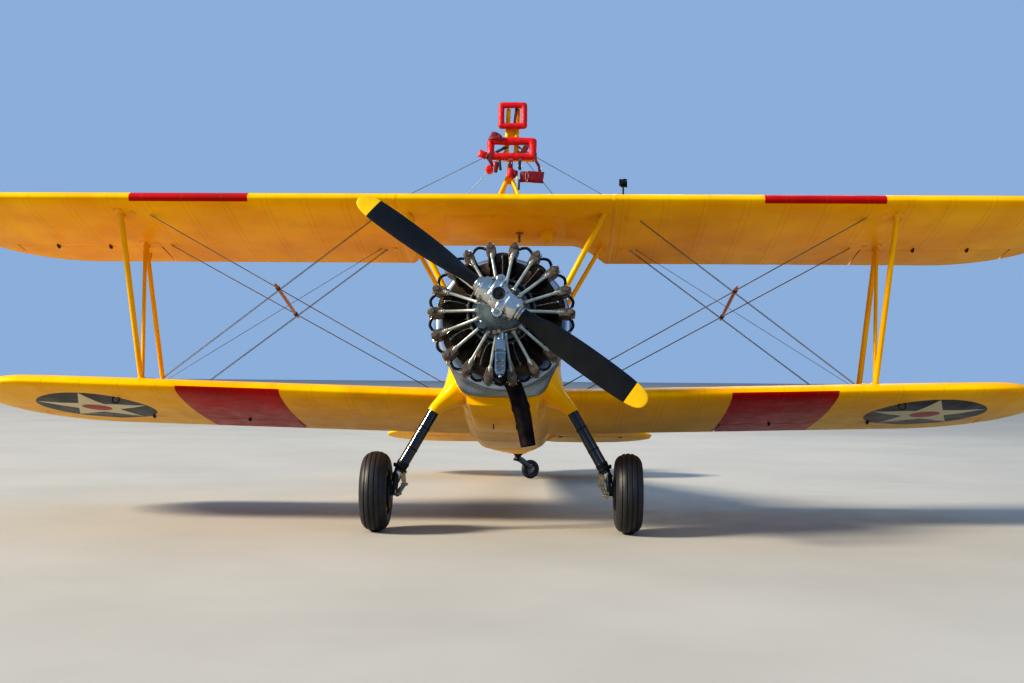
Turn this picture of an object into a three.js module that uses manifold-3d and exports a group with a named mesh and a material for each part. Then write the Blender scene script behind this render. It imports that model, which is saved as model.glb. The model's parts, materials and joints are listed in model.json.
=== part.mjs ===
// A two-seat training biplane with an open nine-cylinder radial engine, parked tail down,
// with a frame for a standing rider on the upper wing.
//
// Units are millimetres. The pieces are laid out in the level flight attitude about the middle
// of the main wheel axle: X to the aeroplane's left, Y aft, Z up. One outer group then tilts them
// to the parked attitude, and puts the middle of the footprint at the origin.

import * as THREE from 'three';
import { mergeVertices } from 'three/addons/utils/BufferGeometryUtils.js';
import Module from 'manifold-3d';

const wasm = await Module();
wasm.setup();

// Fits
const GAP = 0.35; // between pieces that touch
const RUNNING = 8; // between moving surfaces and what holds them
const PARKED_ANGLE = 12; // degrees, nose up

// Wings
const CHORD = 1524;
const THICKNESS = 0.12; // of the chord
const CAMBER = 0.02; // of the chord
const CAMBER_AT = 0.2; // of the chord
const TIP_LENGTH = 1050; // over which the trailing edge rounds in
const TIP_NOSE = 560; // over which the leading edge rounds in
const CENTRE_HALF = 914; // half width of the centre section
const UPPER = { front: -400, height: 2438, incidence: 4, dihedral: 0, root: CENTRE_HALF, tip: 4902 };
const LOWER = { front: 242, height: 885, incidence: 3, dihedral: 1.5, root: 300, tip: 4750 };
const CUTOUT = { deep: 1080, inner: 585, outer: 890 };
const HINGE = 1080; // aileron hinge line behind the leading edge
const AILERON_GAP = 14; // at each end
const HINGE_PIN = { radius: 8, deep: 40, sides: 12 };
const UPPER_AILERON = { from: 3165, to: 4480 };
const LOWER_AILERON = { from: 1960, to: 4330 };
const SPARS = { front: 216, rear: 959 }; // behind the leading edge
const LINK = {
  behind: 190, // behind the hinge line
  radius: 9,
  lug: 20,
  tall: 64,
  beside: 6,
  drift: 5.2, // room beside the open upper end
  upper: { x: 3330, z: -38 },
  lower: { x: 3245, z: 60 },
};

// Fuselage sections: station, half width, belly, widest height, deck
const FUSELAGE = [
  { y: -150, half: 405, belly: 800, side: 1330, deck: 1760 },
  { y: 250, half: 420, belly: 750, side: 1400, deck: 1765 },
  { y: 750, half: 430, belly: 722, side: 1430, deck: 1765 },
  { y: 1600, half: 430, belly: 715, side: 1440, deck: 1760 },
  { y: 2500, half: 398, belly: 775, side: 1450, deck: 1750 },
  { y: 3200, half: 330, belly: 860, side: 1450, deck: 1700 },
  { y: 4300, half: 212, belly: 1005, side: 1440, deck: 1605 },
  { y: 5200, half: 112, belly: 1125, side: 1430, deck: 1535 },
  { y: 5700, half: 46, belly: 1190, side: 1420, deck: 1492 },
];
const COCKPITS = [
  { name: 'front', from: 820, to: 1430, half: 285, floor: 960 },
  { name: 'rear', from: 1790, to: 2420, half: 285, floor: 960 },
];

// Engine and propeller, on the thrust line
const THRUST = 1379;
const ROCKER_PLANE = -610;
const ENGINE_RADIUS = 587;
const CYLINDERS = 9;
const CASE_RADIUS = 205;
const BARREL_RADIUS = 74;
const FIN_RADIUS = 100;
const FIN_PITCH = 80;
const HEAD_RADIUS = 112;
const ROCKER_ANGLE = 10; // degrees to each side of a cylinder
const COLLECTOR = { y: -415, radius: 430, tube: 42 };
const COWL_RADIUS = 552;
const PROP_PLANE = -1110;
const PROP_RADIUS = 1360;
const BLADE_ANGLE = 144; // degrees of the first blade, counted from +X towards +Z
const BLADE_ROOT = 195;

// Undercarriage
const TRACK_HALF = 1027;
const TYRE_RADIUS = 325;
const TYRE_HALF = 110;
const RIM_RADIUS = 165;
const AXLE_RADIUS = 28;
// The legs are pressed in by the weight, so the axle stands above the level drawing's origin
const AXLE_RISE = 44;
const TAIL = { y: 5403, offset: 150, trail: 165, radius: 113, half: 34, rim: 56, fork: 222, top: 266 };

// Tail
const TAILPLANE = { z: 1450, tip: 1675, front: 5060, hinge: 5735, thick: 46 };
const FIN = { front: 5020, rear: 5778, top: 2240, thick: 50 };
const RUDDER = { hinge: 5830, rear: 6440, bottom: 1210, top: 2300, thick: 52 };

// Frame on the upper wing
const RIG = { x: 20, y: 300, apex: 2872, beam: 3052, waist: 3156, head: 3466 };

const SIDES = [
  { name: 'left', sign: 1 },
  { name: 'right', sign: -1 },
];

const YELLOW = 0xf2b705;
const paint = (color, roughness, metalness = 0) =>
  new THREE.MeshStandardMaterial({ color, roughness, metalness });
const LOOKS = {
  dope: () => paint(YELLOW, 0.4),
  enamel: () => paint(YELLOW, 0.35, 0.2),
  black: () => paint(0x14171a, 0.35, 0.3),
  propeller: () => paint(0x171b20, 0.4),
  case: () => paint(0x76828c, 0.45, 0.4),
  cylinder: () => paint(0x3b332c, 0.55, 0.5),
  exhaust: () => paint(0x3a3330, 0.6, 0.5),
  bright: () => paint(0xb9bec2, 0.3, 0.9),
  steel: () => paint(0x9aa0a4, 0.4, 0.8),
  tyre: () => paint(0x17181a, 0.8),
  rig: () => paint(0xb3131b, 0.6),
  glass: () => paint(0xcfd8dc, 0.1),
  seat: () => paint(0x6b4a2d, 0.7),
};

const aeroplane = new THREE.Group();
const level = new THREE.Group();
aeroplane.add(level);

const rad = THREE.MathUtils.degToRad;
const vec = (x, y, z) => new THREE.Vector3(x, y, z);

// Solids

function solid(geometry) {
  const bare = geometry.clone();
  bare.deleteAttribute('normal');
  bare.deleteAttribute('uv');
  const merged = mergeVertices(bare, 1e-3);
  const index = merged.index.array;
  const make = (turned) => {
    const triVerts = [];
    for (let i = 0; i < index.length; i += 3) {
      const [a, b, c] = index.slice(i, i + 3);
      const flat = a === b || b === c || c === a;
      if (!flat) triVerts.push(a, turned ? c : b, turned ? b : c);
    }
    return new wasm.Manifold(
      new wasm.Mesh({
        numProp: 3,
        vertProperties: merged.attributes.position.array,
        triVerts: Uint32Array.from(triVerts),
      }),
    );
  };
  const made = make(false);
  return made.volume() > 0 ? made : make(true);
}

function surface(manifold) {
  const mesh = manifold.getMesh();
  const geometry = new THREE.BufferGeometry();
  geometry.setAttribute('position', new THREE.BufferAttribute(mesh.vertProperties, 3));
  geometry.setIndex(new THREE.BufferAttribute(mesh.triVerts, 1));
  return geometry;
}

const join = (pieces) => pieces.reduce((whole, piece) => whole.add(piece));

// Cuts a solid away and leaves the seat gap, in each of the given directions, between the two
function trim(piece, other, ...directions) {
  return directions.reduce(
    (rest, direction) => rest.subtract(other.translate(direction.map((step) => step * GAP))),
    piece.subtract(other),
  );
}

// Keeps the largest body, so that no stub is left inside what a bar ends in
function mainBody(piece) {
  return piece.decompose().reduce((best, next) => (next.volume() > best.volume() ? next : best));
}

function add(name, shape, look, parent = level) {
  const geometry = shape instanceof THREE.BufferGeometry ? shape : surface(shape);
  geometry.computeVertexNormals();
  const mesh = new THREE.Mesh(geometry, LOOKS[look]());
  mesh.name = name;
  parent.add(mesh);
  return mesh;
}

// Closes a row of equal rings of points into one body
function loft(rings) {
  const count = rings[0].length;
  const points = rings.flat();
  const faces = [];
  for (let r = 0; r + 1 < rings.length; r += 1) {
    for (let i = 0; i < count; i += 1) {
      const a = r * count + i;
      const b = r * count + ((i + 1) % count);
      faces.push([a, b, b + count], [a, b + count, a + count]);
    }
  }
  const caps = [[0, rings[0], true], [(rings.length - 1) * count, rings.at(-1), false]];
  for (const [start, ring, turned] of caps) {
    const middle = points.length;
    points.push(ring.reduce((sum, p) => sum.add(p), vec(0, 0, 0)).divideScalar(count));
    for (let i = 0; i < count; i += 1) {
      const a = start + i;
      const b = start + ((i + 1) % count);
      faces.push(turned ? [middle, b, a] : [middle, a, b]);
    }
  }
  const geometry = new THREE.BufferGeometry().setFromPoints(points);
  return solid(geometry.setIndex(faces.flat()));
}

// An oval bar between two points, its long axis as near to Y as the line allows
function strut(a, b, chord, thick, sides = 10) {
  const along = b.clone().sub(a).normalize();
  const reference = Math.abs(along.y) > 0.9 ? vec(1, 0, 0) : vec(0, 1, 0);
  const wide = reference.addScaledVector(along, -reference.dot(along)).normalize();
  const across = vec(0, 0, 0).crossVectors(along, wide);
  const ring = (end) =>
    Array.from({ length: sides }, (_, i) => {
      const turn = (2 * Math.PI * i) / sides;
      return end
        .clone()
        .addScaledVector(wide, (Math.cos(turn) * chord) / 2)
        .addScaledVector(across, (Math.sin(turn) * thick) / 2);
    });
  return loft([ring(a), ring(b)]);
}

const rod = (a, b, radius, sides = 8) => strut(a, b, 2 * radius, 2 * radius, sides);

function block(width, depth, height, x, y, z) {
  return solid(new THREE.BoxGeometry(width, depth, height).translate(x, y, z));
}

// A turned body about an axis through the origin: rows of [radius, position along the axis]
function turned(rows, sides, axis) {
  const profile = rows.map(([r, h]) => new THREE.Vector2(r, h));
  const geometry = new THREE.LatheGeometry(profile, sides);
  if (axis === 'x') geometry.rotateZ(-Math.PI / 2);
  if (axis === 'z') geometry.rotateX(Math.PI / 2);
  return solid(geometry);
}

function pipe(points, radius, sides, steps) {
  const path = new THREE.CatmullRomCurve3(points);
  const shape = new THREE.Shape().absarc(0, 0, radius, 0, 2 * Math.PI);
  const outline = shape.getPoints(sides).slice(0, -1);
  return solid(
    new THREE.ExtrudeGeometry(new THREE.Shape(outline), { extrudePath: path, steps, curveSegments: 1 }),
  );
}

// A flat surface in the plane of the two named directions, with chamfered edges
function panel(shape, thick, edge) {
  const geometry = new THREE.ExtrudeGeometry(shape, {
    depth: thick - 2 * edge,
    bevelEnabled: true,
    bevelThickness: edge,
    bevelSize: edge,
    bevelOffset: -edge,
    bevelSegments: 1,
    curveSegments: 5,
  });
  return geometry.translate(0, 0, -thick / 2 + edge);
}

// The corner radius of a many-sided bore that clears a round shaft or rim
const aroundRim = (radius, sides) => (radius + GAP) / Math.cos(Math.PI / sides);
const bore = (a, b, radius) => rod(a, b, aroundRim(radius, HINGE_PIN.sides), HINGE_PIN.sides);
const pin = (a, b, radius) => rod(a, b, radius, HINGE_PIN.sides);

const place = (manifold, matrix) => solid(surface(manifold).applyMatrix4(matrix));

// Wings

// Half thickness of the wing section, and its mean line, at a fraction u of the chord
const halfThickness = (u) =>
  5 * THICKNESS * (0.2969 * Math.sqrt(u) - 0.126 * u - 0.3516 * u ** 2 + 0.2843 * u ** 3 - 0.1015 * u ** 4);
const meanLine = (u) =>
  u < CAMBER_AT
    ? (CAMBER / CAMBER_AT ** 2) * (2 * CAMBER_AT * u - u * u)
    : (CAMBER / (1 - CAMBER_AT) ** 2) * (1 - 2 * CAMBER_AT + 2 * CAMBER_AT * u - u * u);

const STEPS = 11;
const FRACTIONS = Array.from({ length: STEPS + 1 }, (_, i) => (1 - Math.cos((Math.PI * i) / STEPS)) / 2);

// One rib, from the trailing edge under the nose and back over the top
function rib(x, front, rear, height, bend = (u) => u) {
  const size = rear - front;
  const point = (u, sign) =>
    vec(x, front + bend(u) * size, height * (meanLine(u) + sign * halfThickness(u)));
  const under = FRACTIONS.slice().reverse().map((u) => point(u, -1));
  const over = FRACTIONS.slice(1).map((u) => point(u, 1));
  return [...under, ...over];
}

function tipRibs(root, tip) {
  const inset = (x, length) => {
    const s = Math.max(0, (x - (tip - length)) / length);
    return 1 - Math.sqrt(Math.max(0, 1 - s * s));
  };
  const around = [0, 0.42, 0.66, 0.84, 0.94, 0.985, 1].map((s) => tip - TIP_LENGTH * (1 - s));
  return [root, ...around].map((x) => {
    const front = CHORD * 0.43 * inset(x, TIP_NOSE);
    const rear = CHORD * (1 - 0.56 * inset(x, TIP_LENGTH));
    return rib(x, front, rear, rear - front);
  });
}

// The rounded nose and the region behind it that an aileron takes from its wing
function aileronRegion({ from, to }, radius, margin) {
  const length = to - from + 2 * margin;
  const middle = (from + to) / 2;
  const nose = solid(
    new THREE.CylinderGeometry(radius, radius, length, 20).rotateZ(Math.PI / 2),
  ).translate([middle, HINGE, HINGE_HEIGHT]);
  return nose.add(block(length, CHORD, 400, middle, HINGE + CHORD / 2, HINGE_HEIGHT));
}

const HINGE_HEIGHT = CHORD * meanLine(HINGE / CHORD);
const NOSE_RADIUS = CHORD * halfThickness(HINGE / CHORD) - 5;

// Where a wing panel on one side stands in the level aeroplane
function wingMatrix(wing, sign) {
  return new THREE.Matrix4()
    .makeTranslation(0, wing.front, wing.height)
    .multiply(new THREE.Matrix4().makeRotationX(rad(-wing.incidence)))
    .multiply(new THREE.Matrix4().makeRotationY(rad(-wing.dihedral * sign)));
}

const mirrored = (manifold, sign) => (sign > 0 ? manifold : manifold.mirror([1, 0, 0]));
const wingPoint = (wing, sign, x, y, z) => vec(sign * x, y, z).applyMatrix4(wingMatrix(wing, sign));

const bentBack = (limit) => (u) => (u < 0.5 ? u : 0.5 + (u - 0.5) * (2 * limit / CHORD - 1));
const centreRibs = [-1, 1].flatMap((side) => {
  const stations = [
    [CENTRE_HALF - GAP, CHORD],
    [CUTOUT.outer, CHORD],
    [(CUTOUT.inner + CUTOUT.outer) / 2, (CUTOUT.deep + CHORD) / 2 - 60],
    [CUTOUT.inner, CUTOUT.deep],
  ];
  const ribs = stations.map(([x, limit]) => rib(side * x, 0, CHORD, CHORD, bentBack(limit)));
  return side < 0 ? ribs : ribs.reverse();
});
const centreSection = place(loft(centreRibs), wingMatrix(UPPER, 1));
add('centre_section', centreSection, 'dope');

const fuselageRing = ({ y, half, belly, side, deck }) => {
  const power = (value, exponent) => Math.sign(value) * Math.abs(value) ** exponent;
  return Array.from({ length: 28 }, (_, i) => {
    const turn = (2 * Math.PI * (i + 0.5)) / 28;
    const rises = Math.sin(turn) > 0;
    const squareness = rises ? 2 / 2.3 : 2 / 5;
    return vec(
      half * power(Math.cos(turn), squareness),
      y,
      side + (rises ? deck - side : side - belly) * power(Math.sin(turn), squareness),
    );
  });
};
const hull = loft(FUSELAGE.map(fuselageRing));

function wellShape({ from, to, half }) {
  const radius = 150;
  const shape = new THREE.Shape();
  shape.absarc(half - radius, to - radius, radius, 0, Math.PI / 2);
  shape.absarc(radius - half, to - radius, radius, Math.PI / 2, Math.PI);
  shape.absarc(radius - half, from + radius, radius, Math.PI, 1.5 * Math.PI);
  shape.absarc(half - radius, from + radius, radius, 1.5 * Math.PI, 2 * Math.PI);
  return shape;
}

const wells = COCKPITS.map((cockpit) =>
  solid(
    new THREE.ExtrudeGeometry(wellShape(cockpit), { depth: 1200, bevelEnabled: false, curveSegments: 4 }),
  ).translate([0, 0, cockpit.floor]),
);

const wingSolids = { upper: {}, lower: {} };
const PANELS = [
  { level: 'upper', wing: UPPER, aileron: UPPER_AILERON },
  { level: 'lower', wing: LOWER, aileron: LOWER_AILERON },
];
for (const { level: height, wing, aileron } of PANELS) {
  const root = height === 'upper' ? wing.root + GAP : wing.root;
  const whole = loft(tipRibs(root, wing.tip));
  const cove = aileronRegion(aileron, NOSE_RADIUS + RUNNING, AILERON_GAP);
  const ends = [[aileron.from, 1], [aileron.to, -1]].map(([x, inward]) =>
    [-AILERON_GAP * 2, HINGE_PIN.deep].map((step) => vec(x + inward * step, HINGE, HINGE_HEIGHT)));
  const pins = join(ends.map(([a, b]) => pin(a, b, HINGE_PIN.radius)));
  const bores = join(ends.map(([a, b]) => bore(a, b.clone().lerp(a, -0.05), HINGE_PIN.radius)));
  const lugAt = height === 'upper' ? LINK.upper : LINK.lower;
  const pivot = vec(lugAt.x, HINGE + LINK.behind, lugAt.z);
  const clearance = height === 'upper' ? LINK.drift : GAP;
  const studEnd = pivot.clone().setX(pivot.x + LINK.lug / 2 + LINK.beside - clearance);
  const stud = rod(pivot, studEnd, LINK.radius / 2);
  const lug = block(LINK.lug, 40, LINK.tall, ...pivot.toArray()).add(stud);
  const flap = whole.intersect(aileronRegion(aileron, NOSE_RADIUS, 0)).add(lug).subtract(bores);
  const fixed = whole.subtract(cove).add(pins);
  for (const { name, sign } of SIDES) {
    const matrix = wingMatrix(wing, sign);
    let main = place(mirrored(fixed, sign), matrix);
    if (height === 'lower') main = mainBody(trim(main, hull, [sign, 0, 0], [0, 0, -1]));
    wingSolids[height][name] = main;
    add(`${height}_wing_${name}`, main, 'dope');
    add(`${height}_aileron_${name}`, place(mirrored(flap, sign), matrix), 'dope');
  }
}

// Fuselage, cowl and cockpits

// Rudder and elevator turn on pins in brackets: a bracket reaches from what carries it to the
// hinge line, and the surface is notched around it
const BRACKET = { wide: 16, tall: 24, past: 8, pin: 6, reach: 30 };
const STERN_BRACKET = 1275;
const FIN_BRACKETS = [1600, 2100];
const ELEVATOR_BRACKETS = [520, 1280];
const rudderHinge = (z) => vec(0, RUDDER.hinge, z);
const bracketTo = (from, z) => {
  const end = RUDDER.hinge + BRACKET.past;
  const arm = block(BRACKET.wide, end - from, BRACKET.tall, 0, (end + from) / 2, z);
  return arm.add(pin(rudderHinge(z - BRACKET.reach), rudderHinge(z + BRACKET.reach), BRACKET.pin));
};

const carved = wells.reduce((body, well) => body.subtract(well), hull);
add('fuselage', carved.add(bracketTo(FUSELAGE.at(-1).y - 32, STERN_BRACKET)), 'dope');

const engineRing = (y, radius) =>
  Array.from({ length: 28 }, (_, i) => {
    const turn = (2 * Math.PI * (i + 0.5)) / 28;
    return vec(radius * Math.cos(turn), y, THRUST + radius * Math.sin(turn));
  });
const firewall = fuselageRing(FUSELAGE[0]).map((p) => p.setY(FUSELAGE[0].y - GAP));
add(
  'accessory_cowl',
  loft([
    engineRing(-372, 300),
    engineRing(-366, COWL_RADIUS - 20),
    engineRing(-330, COWL_RADIUS),
    engineRing(-270, COWL_RADIUS - 8),
    firewall,
  ]),
  'bright',
);

const SCREEN = { half: 240, thick: 9, bottom: 1500, top: 1950, lean: 18.4, foot: -60 };
for (const { name, from, to, floor } of COCKPITS) {
  const back = to - 40;
  const seatFloor = floor + GAP;
  const profile = new THREE.Shape([
    new THREE.Vector2(from + 250, seatFloor),
    new THREE.Vector2(back - 30, seatFloor),
    new THREE.Vector2(back, floor + 640),
    new THREE.Vector2(back - 50, floor + 640),
    new THREE.Vector2(back - 90, floor + 230),
    new THREE.Vector2(from + 220, floor + 260),
  ]);
  const seat = new THREE.ExtrudeGeometry(profile, { depth: 400, bevelEnabled: false });
  seat.applyMatrix4(new THREE.Matrix4().makeBasis(vec(0, 1, 0), vec(0, 0, 1), vec(1, 0, 0)));
  add(`seat_${name}`, solid(seat).translate([-200, 0, 0]), 'seat');

  const bow = [[-SCREEN.half, from + 30], [-170, from - 120], [170, from - 120], [SCREEN.half, from + 30]];
  const inner = bow.map(([x, y]) => [x * 0.968, y + SCREEN.thick]).reverse();
  const plan = new THREE.Shape([...bow, ...inner].map(([x, y]) => new THREE.Vector2(x, y)));
  const upright = new THREE.ExtrudeGeometry(plan, { depth: SCREEN.top - SCREEN.bottom, bevelEnabled: false });
  upright.applyMatrix4(new THREE.Matrix4().makeShear(0, 0, 0, 0, 0, Math.tan(rad(SCREEN.lean))));
  const screen = solid(upright).translate([0, SCREEN.foot, SCREEN.bottom]);
  add(`windshield_${name}`, trim(screen, hull, [0, 0, 1]), 'glass');
}

// Engine: each cylinder is built standing on the thrust line along +Z, then turned about it

const cylinderRows = [[0, 150], [BARREL_RADIUS, 150], [BARREL_RADIUS, 232]];
for (let r = 246; r < 390; r += FIN_PITCH) {
  cylinderRows.push([FIN_RADIUS, r + 6], [FIN_RADIUS, r + 30]);
  cylinderRows.push([BARREL_RADIUS, r + 36], [BARREL_RADIUS, r + FIN_PITCH]);
}
cylinderRows.push([HEAD_RADIUS, 412], [HEAD_RADIUS, 500], [HEAD_RADIUS - 26, 548], [0, 556]);

const ROCKER = { wide: 62, deep: 150, tall: 68, y: -40 };
const rockerBox = (sign) =>
  block(ROCKER.wide, ROCKER.deep, ROCKER.tall, 0, ROCKER.y, ENGINE_RADIUS - ROCKER.tall / 2)
    .rotate([0, sign * ROCKER_ANGLE, 0]);
const outletBoss = block(74, 40, 80, 0, 112, 450);
const cylinder = join([turned(cylinderRows, 10, 'z'), rockerBox(1), rockerBox(-1), outletBoss]);

const pushrod = (sign) => {
  const tilt = Math.sin(rad(ROCKER_ANGLE)) * sign;
  const rise = Math.cos(rad(ROCKER_ANGLE));
  const top = ENGINE_RADIUS - ROCKER.tall - 2;
  return rod(vec(160 * tilt, -142, 160 * rise), vec(top * tilt, -96, top * rise), 11, 6);
};
const pushrods = pushrod(1).add(pushrod(-1));

const stations = Array.from({ length: CYLINDERS }, (_, i) => (360 * i) / CYLINDERS);
const around = (piece) => stations.map((angle) => piece.rotate([0, angle, 0]));
const engineAt = [0, ROCKER_PLANE, THRUST];

const drumRows = [[0, -95], [CASE_RADIUS, -95], [CASE_RADIUS, 100], [250, 130], [250, 237.6], [0, 237.6]];
const drum = turned(drumRows, 36, 'y');
add('engine_cylinders', join([drum, ...around(cylinder)]).translate(engineAt), 'cylinder');

const noseRows = [[0, -95.4], [192, -95.4], [192, -150], [168, -205]];
noseRows.push([120, -262], [92, -330], [78, -393.5], [0, -393.5]);
const nose = turned(noseRows.slice().reverse(), 36, 'y');
const sump = join([
  block(74, 70, 250, 0, -150, -330),
  block(60, 84, 150, 0, -150, -440),
  rod(vec(0, -150, -120), vec(0, -150, -260), 30, 10),
]);
add('engine_nose_case', join([nose, sump, ...around(pushrods)]).translate(engineAt), 'case');

const ring = new THREE.TorusGeometry(COLLECTOR.radius, COLLECTOR.tube, 8, 32).rotateX(Math.PI / 2);
const outlet = rod(vec(0, 132 + GAP, 445), vec(0, COLLECTOR.y - ROCKER_PLANE, 445), 30, 6);
const collector = join([solid(ring).translate([0, COLLECTOR.y - ROCKER_PLANE, 0]), ...around(outlet)]);
const tailpipe = pipe(
  [vec(20, -425, 960), vec(90, -434, 860), vec(160, -434, 650), vec(218, -400, 365)],
  54, 12, 8,
);
add('exhaust', collector.translate(engineAt).add(tailpipe), 'exhaust');

// Propeller, on a group at the middle of its disc

const propeller = new THREE.Group();
propeller.position.set(0, PROP_PLANE, THRUST);
level.add(propeller);

const bladeTurn = (index) => -(BLADE_ANGLE - 90 + 180 * index);
const hubRows = [[0, -150], [42, -150], [52, -138], [56, -75], [96, -62]];
hubRows.push([104, 0], [96, 58], [72, 66], [72, 106], [0, 106]);
const barrel = turned(hubRows.slice().reverse(), 24, 'y');
const socket = rod(vec(0, 0, 40), vec(0, 0, BLADE_ROOT), 66, 14);
const weight = join([
  block(40, 70, 130, 78, -40, 95),
  rod(vec(78, -70, 150), vec(78, 0, 150), 40, 12),
]);
const arms = [0, 1].map((i) => socket.add(weight).rotate([0, bladeTurn(i), 0]));
add('propeller_hub', join([barrel, ...arms]), 'bright', propeller);

// Blade stations: distance from the hub, chord, thickness, pitch in degrees
const BLADE = [
  { r: BLADE_ROOT + GAP, chord: 100, thick: 96, pitch: 44 },
  { r: 270, chord: 118, thick: 82, pitch: 42 },
  { r: 400, chord: 168, thick: 52, pitch: 36 },
  { r: 620, chord: 204, thick: 34, pitch: 28 },
  { r: 900, chord: 208, thick: 24, pitch: 21 },
  { r: 1180, chord: 192, thick: 16, pitch: 16 },
  { r: 1270, chord: 172, thick: 13, pitch: 15 },
  { r: 1330, chord: 130, thick: 11, pitch: 14 },
  { r: PROP_RADIUS, chord: 60, thick: 8, pitch: 14 },
];
const bladeRing = ({ r, chord, thick, pitch }) =>
  Array.from({ length: 16 }, (_, i) => {
    const turn = (2 * Math.PI * i) / 16;
    const wide = (Math.cos(turn) * chord) / 2;
    const deep = (Math.sin(turn) * thick) / 2;
    const c = Math.cos(rad(pitch));
    const s = Math.sin(rad(pitch));
    return vec(wide * c - deep * s, wide * s + deep * c, r);
  });
for (const index of [0, 1]) {
  const blade = loft(BLADE.map(bladeRing)).rotate([0, bladeTurn(index), 0]);
  add(`propeller_blade_${index + 1}`, blade, 'propeller', propeller);
}

// Struts and wires

const upperFoot = (sign, x, spar) => wingPoint(UPPER, sign, x, SPARS[spar], 20);
const lowerFoot = (sign, x, spar) => wingPoint(LOWER, sign, x, SPARS[spar], 20);
const STRUT_TOP = 3287;
const STRUT_FOOT = 3176;

const CABANE = [
  { name: 'front', top: [866, -184, 2440], foot: [380, -60, 1500], chord: 72, thick: 44 },
  { name: 'rear', top: [866, 600, 2380], foot: [372, 620, 1500], chord: 60, thick: 36 },
];

function trimToWings(piece, name) {
  const upper = wingSolids.upper[name].add(centreSection);
  return trim(trim(piece, upper, [0, 0, -1]), wingSolids.lower[name], [0, 0, 1]);
}

for (const { name, sign } of SIDES) {
  const topFront = upperFoot(sign, STRUT_TOP, 'front');
  const topRear = upperFoot(sign, STRUT_TOP, 'rear');
  const footFront = lowerFoot(sign, STRUT_FOOT, 'front');
  const footRear = lowerFoot(sign, STRUT_FOOT, 'rear');
  const frame = join([
    strut(topFront, footFront, 96, 42),
    strut(topRear, footRear, 84, 38),
    strut(topRear, footFront, 64, 30),
  ]);
  add(`interplane_struts_${name}`, mainBody(trimToWings(frame, name)), 'enamel');

  for (const { name: row, top, foot, chord, thick } of CABANE) {
    const [upper, lower] = [top, foot].map(([x, y, z]) => vec(sign * x, y, z));
    const bar = strut(upper, lower, chord, thick, 12);
    const cut = trim(trimToWings(bar, name), hull, [sign, 0, 1]);
    add(`cabane_strut_${row}_${name}`, mainBody(cut), 'enamel');
  }

  const rootFront = wingPoint(UPPER, sign, 1030, SPARS.front + 100, 20);
  const rootRear = wingPoint(UPPER, sign, 1030, SPARS.rear + 130, 20);
  const bellyFront = vec(sign * 400, 430, 960);
  const bellyRear = vec(sign * 400, 1180, 960);
  const upperOut = STRUT_TOP - 110;
  const wires = [
    rod(bellyFront, wingPoint(UPPER, sign, upperOut, SPARS.front + 20, 20), 5, 6),
    rod(bellyRear, wingPoint(UPPER, sign, upperOut, SPARS.rear + 10, 20), 5, 6),
    rod(rootFront, footFront.clone().add(vec(-sign * 60, 0, 0)), 5, 6),
    rod(rootRear, footRear.clone().add(vec(-sign * 60, 0, 0)), 5, 6),
  ];
  const crossing = (p, q, r, s) => {
    const t = ((r.x - p.x) * (s.z - r.z) - (r.z - p.z) * (s.x - r.x))
      / ((q.x - p.x) * (s.z - r.z) - (q.z - p.z) * (s.x - r.x));
    return p.clone().lerp(q, t);
  };
  const front = crossing(bellyFront, wingPoint(UPPER, sign, upperOut, SPARS.front + 20, 20), rootFront,
    footFront.clone().add(vec(-sign * 60, 0, 0)));
  const rear = crossing(bellyRear, wingPoint(UPPER, sign, upperOut, SPARS.rear + 10, 20), rootRear,
    footRear.clone().add(vec(-sign * 60, 0, 0)));
  const stick = rod(front.clone().lerp(rear, -0.14), front.clone().lerp(rear, 1.14), 16, 8);
  const rigging = trim(trimToWings(join([...wires, stick]), name), hull, [sign, 0, 0]);
  add(`rigging_${name}`, mainBody(rigging), 'bright');

  const linkStep = LINK.lug / 2 + LINK.radius + LINK.beside;
  const linkEnd = (wing, { x, z }) => wingPoint(wing, sign, x + linkStep, HINGE + LINK.behind, z);
  const link = rod(linkEnd(LOWER, LINK.lower), linkEnd(UPPER, LINK.upper), LINK.radius, 8);
  add(`aileron_link_${name}`, link, 'enamel');
}

// Main gear

const TYRE_SIDES = 32;
const HUB_SIDES = 20;
const TAIL_SIDES = 20;
const TAIL_HUB_SIDES = 14;
const TAIL_AXLE = 10;
const AXLE = { y: -AXLE_RISE * Math.sin(rad(PARKED_ANGLE)), z: AXLE_RISE * Math.cos(rad(PARKED_ANGLE)) };

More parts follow.
